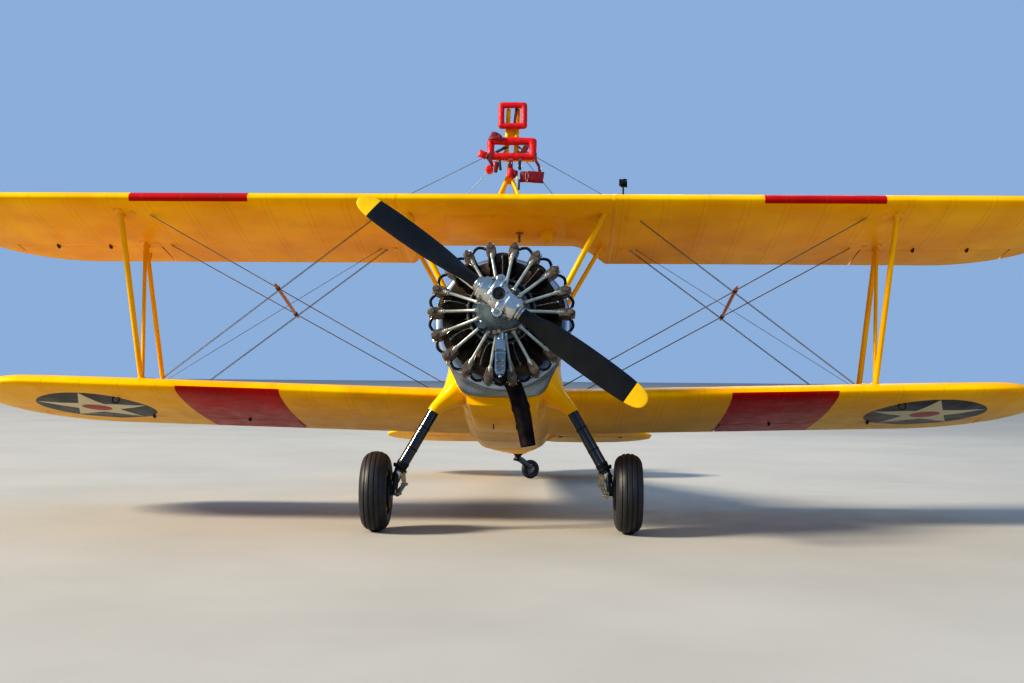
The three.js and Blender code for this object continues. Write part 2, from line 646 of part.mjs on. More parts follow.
for (const { name, sign } of SIDES) {
  const at = (x, y, z) => vec(sign * x, y, z);
  const boundary = at(572, 0, 712);
  const sleeveEnd = at(838, 0, 232);
  const fairing = loft([
    ...[
      { x: 372, y: 90, z: 1080, chord: 400, thick: 190 },
      { x: 450, y: 60, z: 930, chord: 300, thick: 150 },
      { x: 520, y: 25, z: 806, chord: 190, thick: 112 },
      { x: 572, y: 0, z: 712, chord: 124, thick: 100 },
    ].map(({ x, y, z, chord, thick }) =>
      Array.from({ length: 14 }, (_, i) => {
        const turn = (2 * Math.PI * i) / 14;
        const side = (Math.cos(turn) * thick) / 2;
        return at(x + side * 0.875, y + (Math.sin(turn) * chord) / 2, z + side * 0.484);
      })),
  ]);
  const outside = trim(fairing, hull, [sign, 0, 0], [0, -1, 0], [0, 0, -1]);
  add(`gear_fairing_${name}`, mainBody(outside), 'enamel');
  const start = boundary.clone().lerp(sleeveEnd, 0.001);
  add(`gear_leg_${name}`, rod(start, sleeveEnd, 47, 14), 'black');
  const knee = sleeveEnd.clone().lerp(boundary, -0.0006);
  add(
    `axle_${name}`,
    join([
      rod(knee, boundary.clone().lerp(sleeveEnd, 1.1), 36, 10),
      strut(at(866, AXLE.y * 0.3, 190), at(884, AXLE.y, AXLE.z - 14), 84, 56, 10),
      rod(at(862, AXLE.y, AXLE.z), at(TRACK_HALF + 62, AXLE.y, AXLE.z), AXLE_RADIUS, 14),
      block(16, 60, 110, sign * 842, 60, 160),
    ]),
    'steel',
  );
  const wheel = new THREE.Group();
  wheel.position.set(sign * TRACK_HALF, AXLE.y, AXLE.z);
  level.add(wheel);
  const wheelBore = aroundRim(AXLE_RADIUS, HUB_SIDES);
  const hubProfile = [
    [wheelBore, -62], [70, -62], [78, -30], [RIM_RADIUS - 24, -34], [RIM_RADIUS - 10, -82], [RIM_RADIUS, -86],
    [RIM_RADIUS, 86], [RIM_RADIUS - 10, 82], [RIM_RADIUS - 24, 50], [70, 40], [62, 66], [wheelBore, 66],
  ];
  add(`wheel_hub_${name}`, turned([...hubProfile, hubProfile[0]], HUB_SIDES, 'x'), 'enamel', wheel);
  const bead = aroundRim(RIM_RADIUS, TYRE_SIDES);
  const tyreRows = [
    [bead, -78], [bead + 30, -100], [245, -TYRE_HALF], [288, -98], [314, -70], [TYRE_RADIUS, -30],
    [TYRE_RADIUS, 30], [314, 70], [288, 98], [245, TYRE_HALF], [bead + 30, 100], [bead, 78],
  ];
  add(`tyre_${name}`, turned([...tyreRows, tyreRows[0]], TYRE_SIDES, 'x'), 'tyre', wheel);
}

// Tail wheel, in a group that stands upright on the ground when the aeroplane is parked

const GROUND = TYRE_RADIUS - AXLE_RISE;
const upright = new THREE.Group();
upright.rotation.x = rad(PARKED_ANGLE);
level.add(upright);
const swing = Math.asin(TAIL.offset / TAIL.trail);
const caster = new THREE.Group();
caster.position.set(0, TAIL.y - TAIL.trail * Math.cos(swing), -GROUND);
caster.rotation.z = -swing;
upright.add(caster);

const hullUpright = place(hull, new THREE.Matrix4().makeRotationX(rad(-PARKED_ANGLE)))
  .translate([0, -caster.position.y, GROUND]);
const post = join([
  rod(vec(0, 0, TAIL.top + 0.5), vec(0, 0, 440), 30, 12),
  rod(vec(0, 0, 300), vec(0, -330, 440), 22, 10),
  block(70, 70, 36, 0, 0, TAIL.top + 18.5),
]);
const postGroup = new THREE.Group();
postGroup.position.copy(caster.position);
upright.add(postGroup);
add('tail_wheel_strut', mainBody(trim(post, hullUpright, [0, 0, -1])), 'black', postGroup);

const forkPlates = [-1, 1].map((side) =>
  strut(vec(side * 52, 0, TAIL.fork + 18), vec(side * 52, TAIL.trail, TAIL.radius), 44, 12, 10));
const fork = join([
  turned([[0, TAIL.fork], [58, TAIL.fork], [58, TAIL.top], [0, TAIL.top]], 16, 'z'),
  ...forkPlates,
  rod(vec(-66, TAIL.trail, TAIL.radius), vec(66, TAIL.trail, TAIL.radius), TAIL_AXLE, 10),
]);
add('tail_wheel_fork', fork, 'black', caster);

const tailWheel = new THREE.Group();
tailWheel.position.set(0, TAIL.trail, TAIL.radius);
caster.add(tailWheel);
const tailBore = aroundRim(TAIL_AXLE, TAIL_HUB_SIDES);
const tailHub = [
  [tailBore, -34], [28, -34], [32, -14], [TAIL.rim - 8, -14], [TAIL.rim, -28],
  [TAIL.rim, 28], [TAIL.rim - 8, 14], [32, 14], [28, 34], [tailBore, 34],
];
add('tail_wheel_hub', turned([...tailHub, tailHub[0]], TAIL_HUB_SIDES, 'x'), 'bright', tailWheel);
const tailBead = aroundRim(TAIL.rim, TAIL_SIDES);
const tailTyre = [
  [tailBead, -26], [76, -TAIL.half], [98, -29], [TAIL.radius, -12],
  [TAIL.radius, 12], [98, 29], [76, TAIL.half], [tailBead, 26],
];
add('tail_wheel_tyre', turned([...tailTyre, tailTyre[0]], TAIL_SIDES, 'x'), 'tyre', tailWheel);

// Tail surfaces

const sideways = new THREE.Matrix4().makeBasis(vec(0, 1, 0), vec(0, 0, 1), vec(1, 0, 0));
const finShape = new THREE.Shape();
finShape.moveTo(FIN.front, 1480);
finShape.lineTo(FIN.front, 1540);
finShape.quadraticCurveTo(5280, 1620, 5440, 1900);
finShape.quadraticCurveTo(5580, 2190, FIN.rear, FIN.top);
finShape.lineTo(FIN.rear, 1530);
finShape.lineTo(5690, 1480);
const fin = solid(panel(finShape, FIN.thick, 14).applyMatrix4(sideways));

// The surfaces are notched around their brackets
const NOTCH = { side: 6, back: 28, front: 60, deep: 200 };
const NOTCH_LONG = NOTCH.front + NOTCH.back;
const NOTCH_WIDE = BRACKET.wide + 2 * NOTCH.side;
const NOTCH_TALL = BRACKET.tall + 2 * NOTCH.side;
const NOTCH_MIDDLE = (NOTCH.back - NOTCH.front) / 2;
const rudderNotch = (z) => {
  const pocket = block(NOTCH.deep, NOTCH_LONG, NOTCH_TALL, 0, RUDDER.hinge + NOTCH_MIDDLE, z);
  const reach = BRACKET.reach + 1;
  return pocket.add(bore(rudderHinge(z - reach), rudderHinge(z + reach), BRACKET.pin));
};
const finBrackets = FIN_BRACKETS.map((z) => bracketTo(FIN.rear - 12, z));
add('fin', join([mainBody(trim(fin, hull, [0, 0, 1])), ...finBrackets]), 'dope');

const rudderShape = new THREE.Shape();
rudderShape.moveTo(RUDDER.hinge - 24, RUDDER.bottom);
rudderShape.lineTo(RUDDER.hinge - 24, RUDDER.top - 45);
rudderShape.quadraticCurveTo(RUDDER.hinge + 60, RUDDER.top + 5, RUDDER.hinge + 190, RUDDER.top - 40);
rudderShape.bezierCurveTo(RUDDER.rear - 120, RUDDER.top - 180, RUDDER.rear, 1960, RUDDER.rear, 1740);
rudderShape.bezierCurveTo(RUDDER.rear, 1480, RUDDER.rear - 130, 1280, RUDDER.hinge + 160, RUDDER.bottom);
const rudder = [...FIN_BRACKETS, STERN_BRACKET].reduce(
  (rest, z) => rest.subtract(rudderNotch(z)),
  solid(panel(rudderShape, RUDDER.thick, 14).applyMatrix4(sideways)),
);
add('rudder', rudder, 'dope');

const ELEVATOR_ARM = 58;
const elevatorHinge = (x) => vec(x, TAILPLANE.hinge, TAILPLANE.z);
const elevatorBracket = (x) => {
  const middle = TAILPLANE.hinge + BRACKET.past - ELEVATOR_ARM / 2;
  const arm = block(BRACKET.wide, ELEVATOR_ARM, BRACKET.tall, x, middle, TAILPLANE.z);
  return arm.add(pin(elevatorHinge(x - BRACKET.reach), elevatorHinge(x + BRACKET.reach), BRACKET.pin));
};
const elevatorNotch = (x) => {
  const pocket = block(NOTCH_WIDE, NOTCH_LONG, NOTCH.deep, x, TAILPLANE.hinge + NOTCH_MIDDLE, TAILPLANE.z);
  const reach = BRACKET.reach + 1;
  return pocket.add(bore(elevatorHinge(x - reach), elevatorHinge(x + reach), BRACKET.pin));
};

for (const { name, sign } of SIDES) {
  const shape = new THREE.Shape();
  shape.moveTo(20, TAILPLANE.front - 40);
  shape.lineTo(140, TAILPLANE.front);
  const { tip, front, hinge } = TAILPLANE;
  shape.quadraticCurveTo(tip - 330, front + 110, tip - 110, hinge - 210);
  shape.quadraticCurveTo(tip - 20, hinge - 110, tip, hinge - 38);
  shape.lineTo(20, TAILPLANE.hinge - 38);
  const half = mirrored(solid(panel(shape, TAILPLANE.thick, 12)).translate([0, 0, TAILPLANE.z]), sign);
  const brackets = ELEVATOR_BRACKETS.map((x) => elevatorBracket(sign * x));
  add(`tailplane_${name}`, join([mainBody(trim(half, hull, [sign, 0, 0], [0, -1, 0])), ...brackets]), 'dope');
}

const elevatorShape = new THREE.Shape();
elevatorShape.moveTo(84, -20);
elevatorShape.lineTo(TAILPLANE.tip, -20);
elevatorShape.bezierCurveTo(TAILPLANE.tip + 20, 170, TAILPLANE.tip - 180, 430, TAILPLANE.tip - 560, 500);
elevatorShape.bezierCurveTo(900, 530, 620, 540, 430, 500);
elevatorShape.quadraticCurveTo(330, 430, 290, 300);
elevatorShape.lineTo(84, 30);
const elevatorHalf = solid(panel(elevatorShape, 42, 12));
const halves = join([
  elevatorHalf,
  elevatorHalf.mirror([1, 0, 0]),
  rod(vec(-110, 0, 0), vec(110, 0, 0), 17, 12),
]).translate([0, TAILPLANE.hinge, TAILPLANE.z]);
const notches = ELEVATOR_BRACKETS.flatMap((x) => [elevatorNotch(x), elevatorNotch(-x)]);
add('elevator', notches.reduce((rest, notch) => rest.subtract(notch), halves), 'dope');

// Frame for a standing rider

const wingTop = wingSolids.upper.left.add(wingSolids.upper.right).add(centreSection);
const rigPoint = (x, z, y = RIG.y) => vec(RIG.x + x, y, z);
const legsEnd = [
  [-150, 60], [150, 60], [-150, 420], [150, 420],
];
const anchors = [
  { from: [-150, 2990], to: [-865, 300] },
  { from: [150, 2990], to: [825, 300] },
  { from: [-110, 2960], to: [-420, 560] },
  { from: [110, 2960], to: [430, 560] },
];
const mast = join([
  ...legsEnd.map(([x, y]) => strut(rigPoint(x * 0.3, RIG.apex + 20), vec(RIG.x + x, y, 2440), 44, 30, 8)),
  rod(rigPoint(-48, RIG.apex - 40), rigPoint(-48, RIG.head - 90), 21, 10),
  rod(rigPoint(48, RIG.apex - 40), rigPoint(48, RIG.head - 90), 21, 10),
  block(120, 34, 90, RIG.x, RIG.y, RIG.apex),
  block(70, 10, 560, RIG.x, RIG.y, RIG.apex + 250),
  rod(rigPoint(-205, RIG.beam), rigPoint(205, RIG.beam), 20, 10),
  ...anchors.map(({ from: [x, z], to }) => rod(rigPoint(x * 0.3, z), vec(RIG.x + to[0], to[1], 2440), 4, 6)),
  ...anchors.map(({ to: [ex, ey] }) => block(70, 60, 260, RIG.x + ex, ey, 2480)),
]);
const standing = mainBody(trim(mast.subtract(block(4000, 4000, 400, 0, 0, 2280)), wingTop, [0, 0, 1]));
add('rig_mast', standing, 'enamel');

const loop = (wide, tall, tube, z, y) => {
  const half = { x: wide / 2 - tube, z: tall / 2 - tube };
  const corner = Math.min(half.x, half.z) * 0.7;
  const corners = [[1, 1], [-1, 1], [-1, -1], [1, -1]];
  const points = corners.flatMap(([sx, sz], i) => {
    const flip = i % 2 === 0;
    const a = vec(sx * half.x, 0, sz * (half.z - corner));
    const b = vec(sx * (half.x - corner), 0, sz * half.z);
    return flip ? [a, b] : [b, a];
  });
  const curve = new THREE.CatmullRomCurve3(points, true, 'catmullrom', 0.4);
  const outline = new THREE.Shape().absarc(0, 0, tube, 0, 2 * Math.PI).getPoints(4).slice(0, -1);
  const shape = new THREE.Shape(outline);
  const geometry = new THREE.ExtrudeGeometry(shape, { extrudePath: curve, steps: 20 });
  return solid(geometry).translate([RIG.x, y, z]);
};
const padded = standing.translate([0, -GAP, 0]).add(standing.translate([0, GAP, 0])).add(standing);
add('rig_head_pad', mainBody(loop(256, 250, 32, RIG.head, RIG.y - 49.5).subtract(padded)), 'rig');
add('rig_waist_ring', mainBody(loop(434, 190, 34, RIG.waist, RIG.y - 51).subtract(padded)), 'rig');
add('rig_hanging_pad', mainBody(block(222, 40, 112, RIG.x + 185, RIG.y - 50, 2880).subtract(padded)), 'rig');

add(
  'wing_camera',
  mainBody(trim(join([
    rod(vec(1010, 120, 2440), vec(1010, 120, 2745), 9, 8),
    block(70, 60, 48, 1010, 120, 2765),
  ]), wingTop, [0, 0, 1])),
  'black',
);

// Park it: tail down on its three tyres, with the middle of the footprint at the origin

level.rotation.x = rad(-PARKED_ANGLE);
aeroplane.updateMatrixWorld(true);
const box = new THREE.Box3().setFromObject(aeroplane, true);
const middle = box.getCenter(vec(0, 0, 0));
level.position.set(-middle.x, -middle.y, -box.min.z);

export default aeroplane;
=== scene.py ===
# %% [markdown]
# # A yellow training biplane
#
# This notebook dresses a fixed mechanical model of a two-seat biplane: fabric wings on a wooden
# frame, an open nine-cylinder radial engine, two open cockpits, and a padded frame for a standing
# rider on the upper wing. The solids already have their right size and joints. Each cell makes
# one finish or one group of pieces as a surface worked out with numpy, and fixes it to the body
# that carries it.

# %% Load the frame
import json
import math

import bmesh
import bpy
import numpy as np
from mathutils import Matrix

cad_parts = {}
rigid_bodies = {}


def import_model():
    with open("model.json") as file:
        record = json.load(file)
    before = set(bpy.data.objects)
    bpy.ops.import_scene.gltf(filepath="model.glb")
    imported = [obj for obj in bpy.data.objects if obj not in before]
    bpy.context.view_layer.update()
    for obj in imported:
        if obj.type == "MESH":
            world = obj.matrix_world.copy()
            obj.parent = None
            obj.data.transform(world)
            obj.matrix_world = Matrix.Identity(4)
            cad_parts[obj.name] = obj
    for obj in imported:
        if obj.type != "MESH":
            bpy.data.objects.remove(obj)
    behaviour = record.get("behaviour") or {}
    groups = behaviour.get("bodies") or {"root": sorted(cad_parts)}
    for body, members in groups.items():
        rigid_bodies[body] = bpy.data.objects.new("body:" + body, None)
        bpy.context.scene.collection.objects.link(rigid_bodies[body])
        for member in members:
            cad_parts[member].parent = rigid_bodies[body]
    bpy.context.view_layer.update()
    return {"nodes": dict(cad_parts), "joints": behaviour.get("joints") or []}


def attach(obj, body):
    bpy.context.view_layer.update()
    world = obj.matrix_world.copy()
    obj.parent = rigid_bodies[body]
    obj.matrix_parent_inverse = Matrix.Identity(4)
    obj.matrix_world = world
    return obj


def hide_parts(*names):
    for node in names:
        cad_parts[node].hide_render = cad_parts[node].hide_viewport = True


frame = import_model()

# %% [markdown]
# ## The aeroplane's own axes
#
# An aeroplane is drawn level: X to its left wing tip, Y aft, Z up. The drawing starts from where
# the wheels are when nothing rests on them; parked, its weight presses the legs in, and it leans
# back on its tail wheel by twelve degrees. It is easier to write every shape in the level drawing
# and to lean all points over at the end, so `parked` does only that.

# %% From the level drawing to the parked aeroplane
LEAN = math.radians(12)
JOINTS = {joint["name"]: joint for joint in frame["joints"]}
AXLE_RISE = 0.044
WHEEL_X, *WHEEL_PLACE = JOINTS["wheel_left_spin"]["pos_m"]
ORIGIN = np.array([0, *WHEEL_PLACE]) - (0, 0, AXLE_RISE)
THRUST = 1.379
SIDES = (("left", 1), ("right", -1))


def parked(points):
    """Level points (..., 3) turned about X by the lean, then moved to the drawing's place."""
    x, y, z = np.moveaxis(np.asarray(points, float), -1, 0)
    c, s = math.cos(LEAN), math.sin(LEAN)
    return np.stack([x, y * c + z * s, z * c - y * s], -1) + ORIGIN


print("the level drawing starts at", ORIGIN.round(4))

# %% [markdown]
# ## Surfaces from tables of points
#
# Nearly every piece here is one of four things: a table of points whose neighbours join into
# four-sided faces, a profile turned round an axis, a section carried along a path, or a flat
# outline with a thickness. Each helper returns a shape, which is a small dictionary of points,
# faces and flat (UV) coordinates in metres, and `piece` turns a list of shapes into one mesh.

# %% Shapes
Y = np.array([0.0, 1.0, 0.0])
Z = np.array([0.0, 0.0, 1.0])
X = np.array([1.0, 0.0, 0.0])


def unit(vectors):
    """Vectors divided by their lengths."""
    return vectors / np.maximum(np.linalg.norm(vectors, axis=-1, keepdims=True), 1e-12)


def grid(points, around=False, ring=False, ends=False, uv=None):
    """A surface through a table of points: rows by columns, each cell a four-sided face.

    around closes each row on itself, ring closes the last row on the first, and ends puts a
    many-sided face on the first row, the last row or, when True, both.
    """
    rows, cols = points.shape[:2]
    i = np.arange(rows if ring else rows - 1)[:, None]
    j = np.arange(cols if around else cols - 1)[None, :]
    below, beside = (i + 1) % rows * cols, (j + 1) % cols
    quads = np.stack([i * cols + j, i * cols + beside, below + beside, below + j], -1)
    faces = [quads.reshape(-1, 4)]
    if ends in (True, "first"):
        faces.append(np.arange(cols)[None, ::-1])
    if ends in (True, "last"):
        faces.append((rows - 1) * cols + np.arange(cols)[None, :])
    flat = np.zeros((rows, cols, 2)) if uv is None else uv
    return {"points": points.reshape(-1, 3), "faces": faces, "uv": flat.reshape(-1, 2)}


def moved(shape, change):
    """The same shape with its points put through a function."""
    return {**shape, "points": change(shape["points"])}


def merged(shapes):
    """Several shapes as one, with the face numbers of each shifted past those before it."""
    starts = np.cumsum([0] + [len(shape["points"]) for shape in shapes])
    faces = [block + start for shape, start in zip(shapes, starts) for block in shape["faces"]]
    points = np.concatenate([shape["points"] for shape in shapes])
    return {"points": points, "faces": faces, "uv": np.concatenate([s["uv"] for s in shapes])}


def turn(points, axis, angle, about=(0, 0, 0)):
    """Rodrigues' rotation: p cos a + (k x p) sin a + k (k.p)(1 - cos a), about a point."""
    k = unit(np.asarray(axis, float))
    p = np.asarray(points, float) - about
    along = (p @ k)[..., None] * k
    return p * math.cos(angle) + np.cross(k, p) * math.sin(angle) + along * (
        1 - math.cos(angle)
    ) + about


def lathe(profile, sides, centre=(0, 0, 0), axis=Y, closed=False, start=0.0):
    """A profile of (radius, distance along the axis) turned round the axis."""
    profile = np.asarray(profile, float)
    across = unit(np.cross(axis, X if abs(axis[0]) < 0.9 else Z))
    up = np.cross(axis, across)
    angles = start + 2 * np.pi * np.arange(sides) / sides
    spokes = np.cos(angles)[:, None] * across + np.sin(angles)[:, None] * up
    points = profile[:, None, :1] * spokes + profile[:, None, 1:] * axis + centre
    uv = np.stack(np.broadcast_arrays(angles[None, :], profile[:, 1:2]), -1)
    return grid(points, around=True, ring=closed, ends=not closed, uv=uv)


def oval(wide, tall, sides=16, power=2.0):
    """A closed section |a|^p + |b|^p = 1, stretched to a width and a height."""
    angles = 2 * np.pi * np.arange(sides) / sides
    c, s = np.cos(angles), np.sin(angles)
    both = np.stack([c, s], -1)
    return np.abs(both) ** (2 / power) * np.sign(both) * (wide / 2, tall / 2)


def bezier(points, steps=12):
    """A curve from its control points, by the Bernstein sum of C(n,k) t^k (1 - t)^(n - k) P."""
    p = np.asarray(points, float)
    n = len(p) - 1
    t = np.linspace(0, 1, steps)[:, None]
    return sum(math.comb(n, k) * t**k * (1 - t) ** (n - k) * p[k] for k in range(n + 1))


def smooth_table(table, keys, passes=2):
    """Linear interpolation, softened by averaging each value with its neighbours."""
    values = np.stack([np.interp(keys, table[:, 0], column) for column in table.T], -1)
    for _ in range(passes):
        values[1:-1] = (values[:-2] + 2 * values[1:-1] + values[2:]) / 4
    values[:, 0] = keys
    return values


def teardrop(chord, thick, sides=24):
    """A streamlined section: a round nose that tapers to the tail, thickness by sqrt(u)(1 - u)."""
    angles = 2 * np.pi * np.arange(sides) / sides
    u = (1 - np.cos(angles)) / 2
    half = 1.3 * np.sqrt(u) * (1 - u) + 0.06 * np.sin(np.pi * u)
    return np.stack([(u - 0.42) * chord, np.sign(np.sin(angles)) * half * thick], -1)


def spline(corners, steps=8, closed=False):
    """A smooth (Catmull-Rom) curve through the corners, with equal steps between each two."""
    p = np.asarray(corners, float)
    p = np.concatenate([p[-1:], p, p[:2]]) if closed else np.concatenate(
        [2 * p[:1] - p[1:2], p, 2 * p[-1:] - p[-2:-1]]
    )
    t = (np.arange(steps) / steps)[None, :, None]
    a, b, c, d = (p[k:len(p) - 3 + k, None] for k in range(4))
    curve = 0.5 * (
        2 * b + (c - a) * t + (2 * a - 5 * b + 4 * c - d) * t**2 + (3 * b - a - 3 * c + d) * t**3
    )
    curve = curve.reshape(-1, p.shape[1])
    return curve if closed else np.concatenate([curve, p[-2:-1]])


def sweep(path, section, reference=Y, closed=False, scale=None, uv=None):
    """A section carried along a path, square to it.

    The section's first direction lies as near to the reference as the path allows, and its
    second stands square to that and to the path. scale resizes the section at each point.
    """
    path = np.asarray(path, float)
    if closed:
        along = unit(np.roll(path, -1, 0) - np.roll(path, 1, 0))
    else:
        along = unit(np.gradient(path, axis=0))
    first = unit(reference - (along @ reference)[:, None] * along)
    second = np.cross(along, first)
    size = np.ones((len(path), 1, 1)) if scale is None else np.reshape(scale, (len(path), 1, -1))
    cut = np.asarray(section)[None] * size
    points = path[:, None] + cut[..., :1] * first[:, None] + cut[..., 1:] * second[:, None]
    if uv is None:
        length = np.concatenate([[0], np.cumsum(np.linalg.norm(np.diff(path, axis=0), axis=1))])
        around = np.arange(cut.shape[1]) / cut.shape[1]
        uv = np.stack(np.broadcast_arrays(around[None, :], length[:, None]), -1)
    return grid(points, around=True, ring=closed, ends=not closed, uv=uv)


def open_pipe(path, radius, wall, depth, sides=28, reference=Y, scale=None):
    """A round pipe whose far end is open: the outer rings, then inner rings back to a depth."""
    section = oval(2 * radius, 2 * radius, sides)
    outer = sweep(path, section, reference, scale=scale)["points"].reshape(len(path), sides, 3)
    middle = path[:, None]
    inner = middle + (outer - middle) * (1 - wall / radius)
    return grid(np.concatenate([outer, inner[:-depth - 1:-1]]), around=True, ends=True)


def rod(a, b, radius, sides=12, reference=None):
    """A round bar between two points."""
    along = unit(np.subtract(b, a))
    guide = reference if reference is not None else (Y if abs(along[1]) < 0.9 else X)
    return sweep(np.stack([a, b]), oval(2 * radius, 2 * radius, sides), guide)


def slab(outline, thick, centre=(0, 0, 0), across=X, up=Z):
    """A flat outline of (across, up) points, given a thickness square to both."""
    outline = np.asarray(outline, float)
    depth = np.cross(across, up)
    flat = outline[:, :1] * across + outline[:, 1:] * up + centre
    return grid(
        np.stack([flat - depth * thick / 2, flat + depth * thick / 2]), around=True, ends=True
    )


def block(size, centre, axes=(X, Y, Z)):
    """A rectangular bar from its three sizes along three directions."""
    outline = np.array([(-1, -1), (1, -1), (1, 1), (-1, 1)]) * (size[0] / 2, size[2] / 2)
    return slab(outline, size[1], centre, np.asarray(axes[0]), np.asarray(axes[2]))


def copies(shape, angles, axis, about):
    """Turned copies of a shape, as one."""
    return merged([moved(shape, lambda p, a=a: turn(p, axis, a, about)) for a in angles])


def mirrored(shape, sign):
    """The shape, or its mirror image across the aeroplane's middle plane."""
    return moved(shape, lambda p: p * (sign, 1, 1))


def flipped(shapes, sign):
    """A list of shapes, each put on its side of the middle plane."""
    return [mirrored(shape, sign) for shape in shapes]


print("shape helpers ready")

# %% [markdown]
# ## From shapes to a piece
#
# A piece is one mesh object at the origin, with its place in its points. Its faces are turned
# outwards, edges sharper than a given angle stay crisp, and a small bevel catches the light
# along them, as a real filed or moulded edge does. Then it rides on the body that carries it and
# hides the plain solid that it stands for.

# %% One mesh from many shapes
TRIANGLES = {}


def mesh_object(name, painted, lean=True):
    """One object from {material: [shapes]}, its doubles merged and its faces turned outwards."""
    shapes = [merged(group) for group in painted.values()]
    whole = merged(shapes)
    points = parked(whole["points"]) if lean else whole["points"]
    sizes = np.concatenate([np.full(len(block), block.shape[1]) for block in whole["faces"]])
    corners = np.concatenate([block.ravel() for block in whole["faces"]])
    slots = np.concatenate(
        [np.full(sum(map(len, shape["faces"])), k) for k, shape in enumerate(shapes)]
    )
    mesh = bpy.data.meshes.new(name)
    mesh.vertices.add(len(points))
    mesh.vertices.foreach_set("co", points.ravel().astype(np.float32))
    mesh.loops.add(len(corners))
    mesh.loops.foreach_set("vertex_index", corners.astype(np.int32))
    mesh.polygons.add(len(sizes))
    starts = np.concatenate([[0], np.cumsum(sizes)[:-1]])
    mesh.polygons.foreach_set("loop_start", starts.astype(np.int32))
    mesh.polygons.foreach_set("material_index", slots.astype(np.int32))
    mesh.update(calc_edges=True)
    layer = mesh.uv_layers.new(name="flat")
    layer.data.foreach_set("uv", whole["uv"][corners].ravel().astype(np.float32))
    for material in painted:
        mesh.materials.append(MATERIALS[material])
    work = bmesh.new()
    work.from_mesh(mesh)
    bmesh.ops.remove_doubles(work, verts=work.verts, dist=1e-6)
    bmesh.ops.dissolve_degenerate(work, edges=work.edges, dist=1e-7)
    bmesh.ops.recalc_face_normals(work, faces=work.faces)
    work.to_mesh(mesh)
    work.free()
    made = bpy.data.objects.new(name, mesh)
    bpy.context.scene.collection.objects.link(made)
    return made


def settled(made):
    """Applies an object's modifiers, so that only the resulting mesh is left."""
    graph = bpy.context.evaluated_depsgraph_get()
    result = bpy.data.meshes.new_from_object(made.evaluated_get(graph))
    made.modifiers.clear()
    made.data = result
    return made


def carve(made, painted, lean=True):
    """Cuts shapes away; the cut faces take the finish of the shape that cuts."""
    cutter = mesh_object("cutter", painted, lean)
    step = made.modifiers.new("cut", "BOOLEAN")
    step.operation = "DIFFERENCE"
    step.solver = "EXACT"
    step.material_mode = "TRANSFER"
    step.object = cutter
    settled(made)
    bpy.data.objects.remove(cutter)
    return made


def piece(name, painted, body, replaces=(), crease=38, bevel=0.0, lean=True):
    """Builds one object and fixes it to a body."""
    return finished(mesh_object(name, painted, lean), body, replaces, crease, bevel)


def finished(made, body, replaces=(), crease=38, bevel=0.0):
    """Smooths a mesh between its crisp edges, bevels it, and fixes it to its body."""
    mesh = made.data
    mesh.shade_smooth()
    mesh.set_sharp_from_angle(angle=math.radians(crease))
    if bevel:
        edge = made.modifiers.new("edges", "BEVEL")
        edge.width = bevel
        edge.segments = 2
        edge.limit_method = "ANGLE"
        edge.angle_limit = math.radians(crease)
        edge.harden_normals = True
    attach(made, body)
    if replaces:
        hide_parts(*replaces)
    mesh.calc_loop_triangles()
    TRIANGLES[made.name] = len(mesh.loop_triangles)
    return made


print("ready to make pieces")

# %% [markdown]
# ## Finishes
#
# A finish starts from what the real surface is. Colours are written as sRGB hex values, the way
# a paint chart gives them, and turned to linear light by one function. Patterns read the
# object's own coordinates in metres, so each scale below comes from a real size. The red bands
# and the stars follow the wings, so they read the flat coordinates that the wings carry: the
# distance along the span, and the distance behind the nose, counted negative underneath.

# %% Colour and node helpers
MATERIALS = {}


def linear(code):
    """sRGB hex to linear light: c/12.92 below 0.04045, else ((c + 0.055)/1.055)^2.4."""
    c = np.array([int(code[i:i + 2], 16) for i in (1, 3, 5)]) / 255
    return (*np.where(c <= 0.04045, c / 12.92, ((c + 0.055) / 1.055) ** 2.4), 1.0)


def add(tree, kind, inputs=None, **settings):
    """Adds one node with its settings, its values and its links."""
    made = tree.nodes.new(kind)
    for key, value in settings.items():
        setattr(made, key, value)
    for key, value in (inputs or {}).items():
        if isinstance(value, bpy.types.NodeSocket):
            tree.links.new(value, made.inputs[key])
        else:
            made.inputs[key].default_value = value
    return made


def start_material(name, values):
    """A new material with a Principled surface, and uniform values set on its own sockets."""
    made = bpy.data.materials.new(name)
    made.use_nodes = True
    tree = made.node_tree
    shader = tree.nodes["Principled BSDF"]
    for key, value in values.items():
        shader.inputs[key].default_value = value
    MATERIALS[name] = made
    return tree, shader


def place(tree):
    """The object's own coordinates, in metres."""
    return add(tree, "ShaderNodeTexCoord").outputs["Object"]


def noise(tree, size, detail=3.0, stretch=(1, 1, 1), where=None):
    """Cloudy variation whose blotches are about the given size in metres."""
    turned = add(tree, "ShaderNodeMapping", {"Vector": where or place(tree), "Scale": stretch})
    made = add(
        tree, "ShaderNodeTexNoise",
        {"Vector": turned.outputs[0], "Scale": 1 / size, "Detail": detail},
    )
    return made.outputs["Fac"]


def math_node(tree, operation, *values):
    """One sum, product or comparison of numbers."""
    return add(tree, "ShaderNodeMath", dict(enumerate(values)), operation=operation).outputs[0]


def between(tree, value, low, high, to_low=0.0, to_high=1.0):
    """A value's range stretched to another range, clamped at both ends."""
    inputs = {
        "Value": value, "From Min": low, "From Max": high, "To Min": to_low, "To Max": to_high
    }
    return add(tree, "ShaderNodeMapRange", inputs).outputs[0]


def blend(tree, share, first, second):
    """Mixes two colours by a share from 0 to 1."""
    made = add(tree, "ShaderNodeMix", data_type="RGBA")
    for key, value in (("Factor", share), ("A", first), ("B", second)):
        socket = next(s for s in made.inputs if s.name == key and s.enabled)
        if isinstance(value, bpy.types.NodeSocket):
            tree.links.new(value, socket)
        else:
            socket.default_value = value
    return next(s for s in made.outputs if s.enabled)


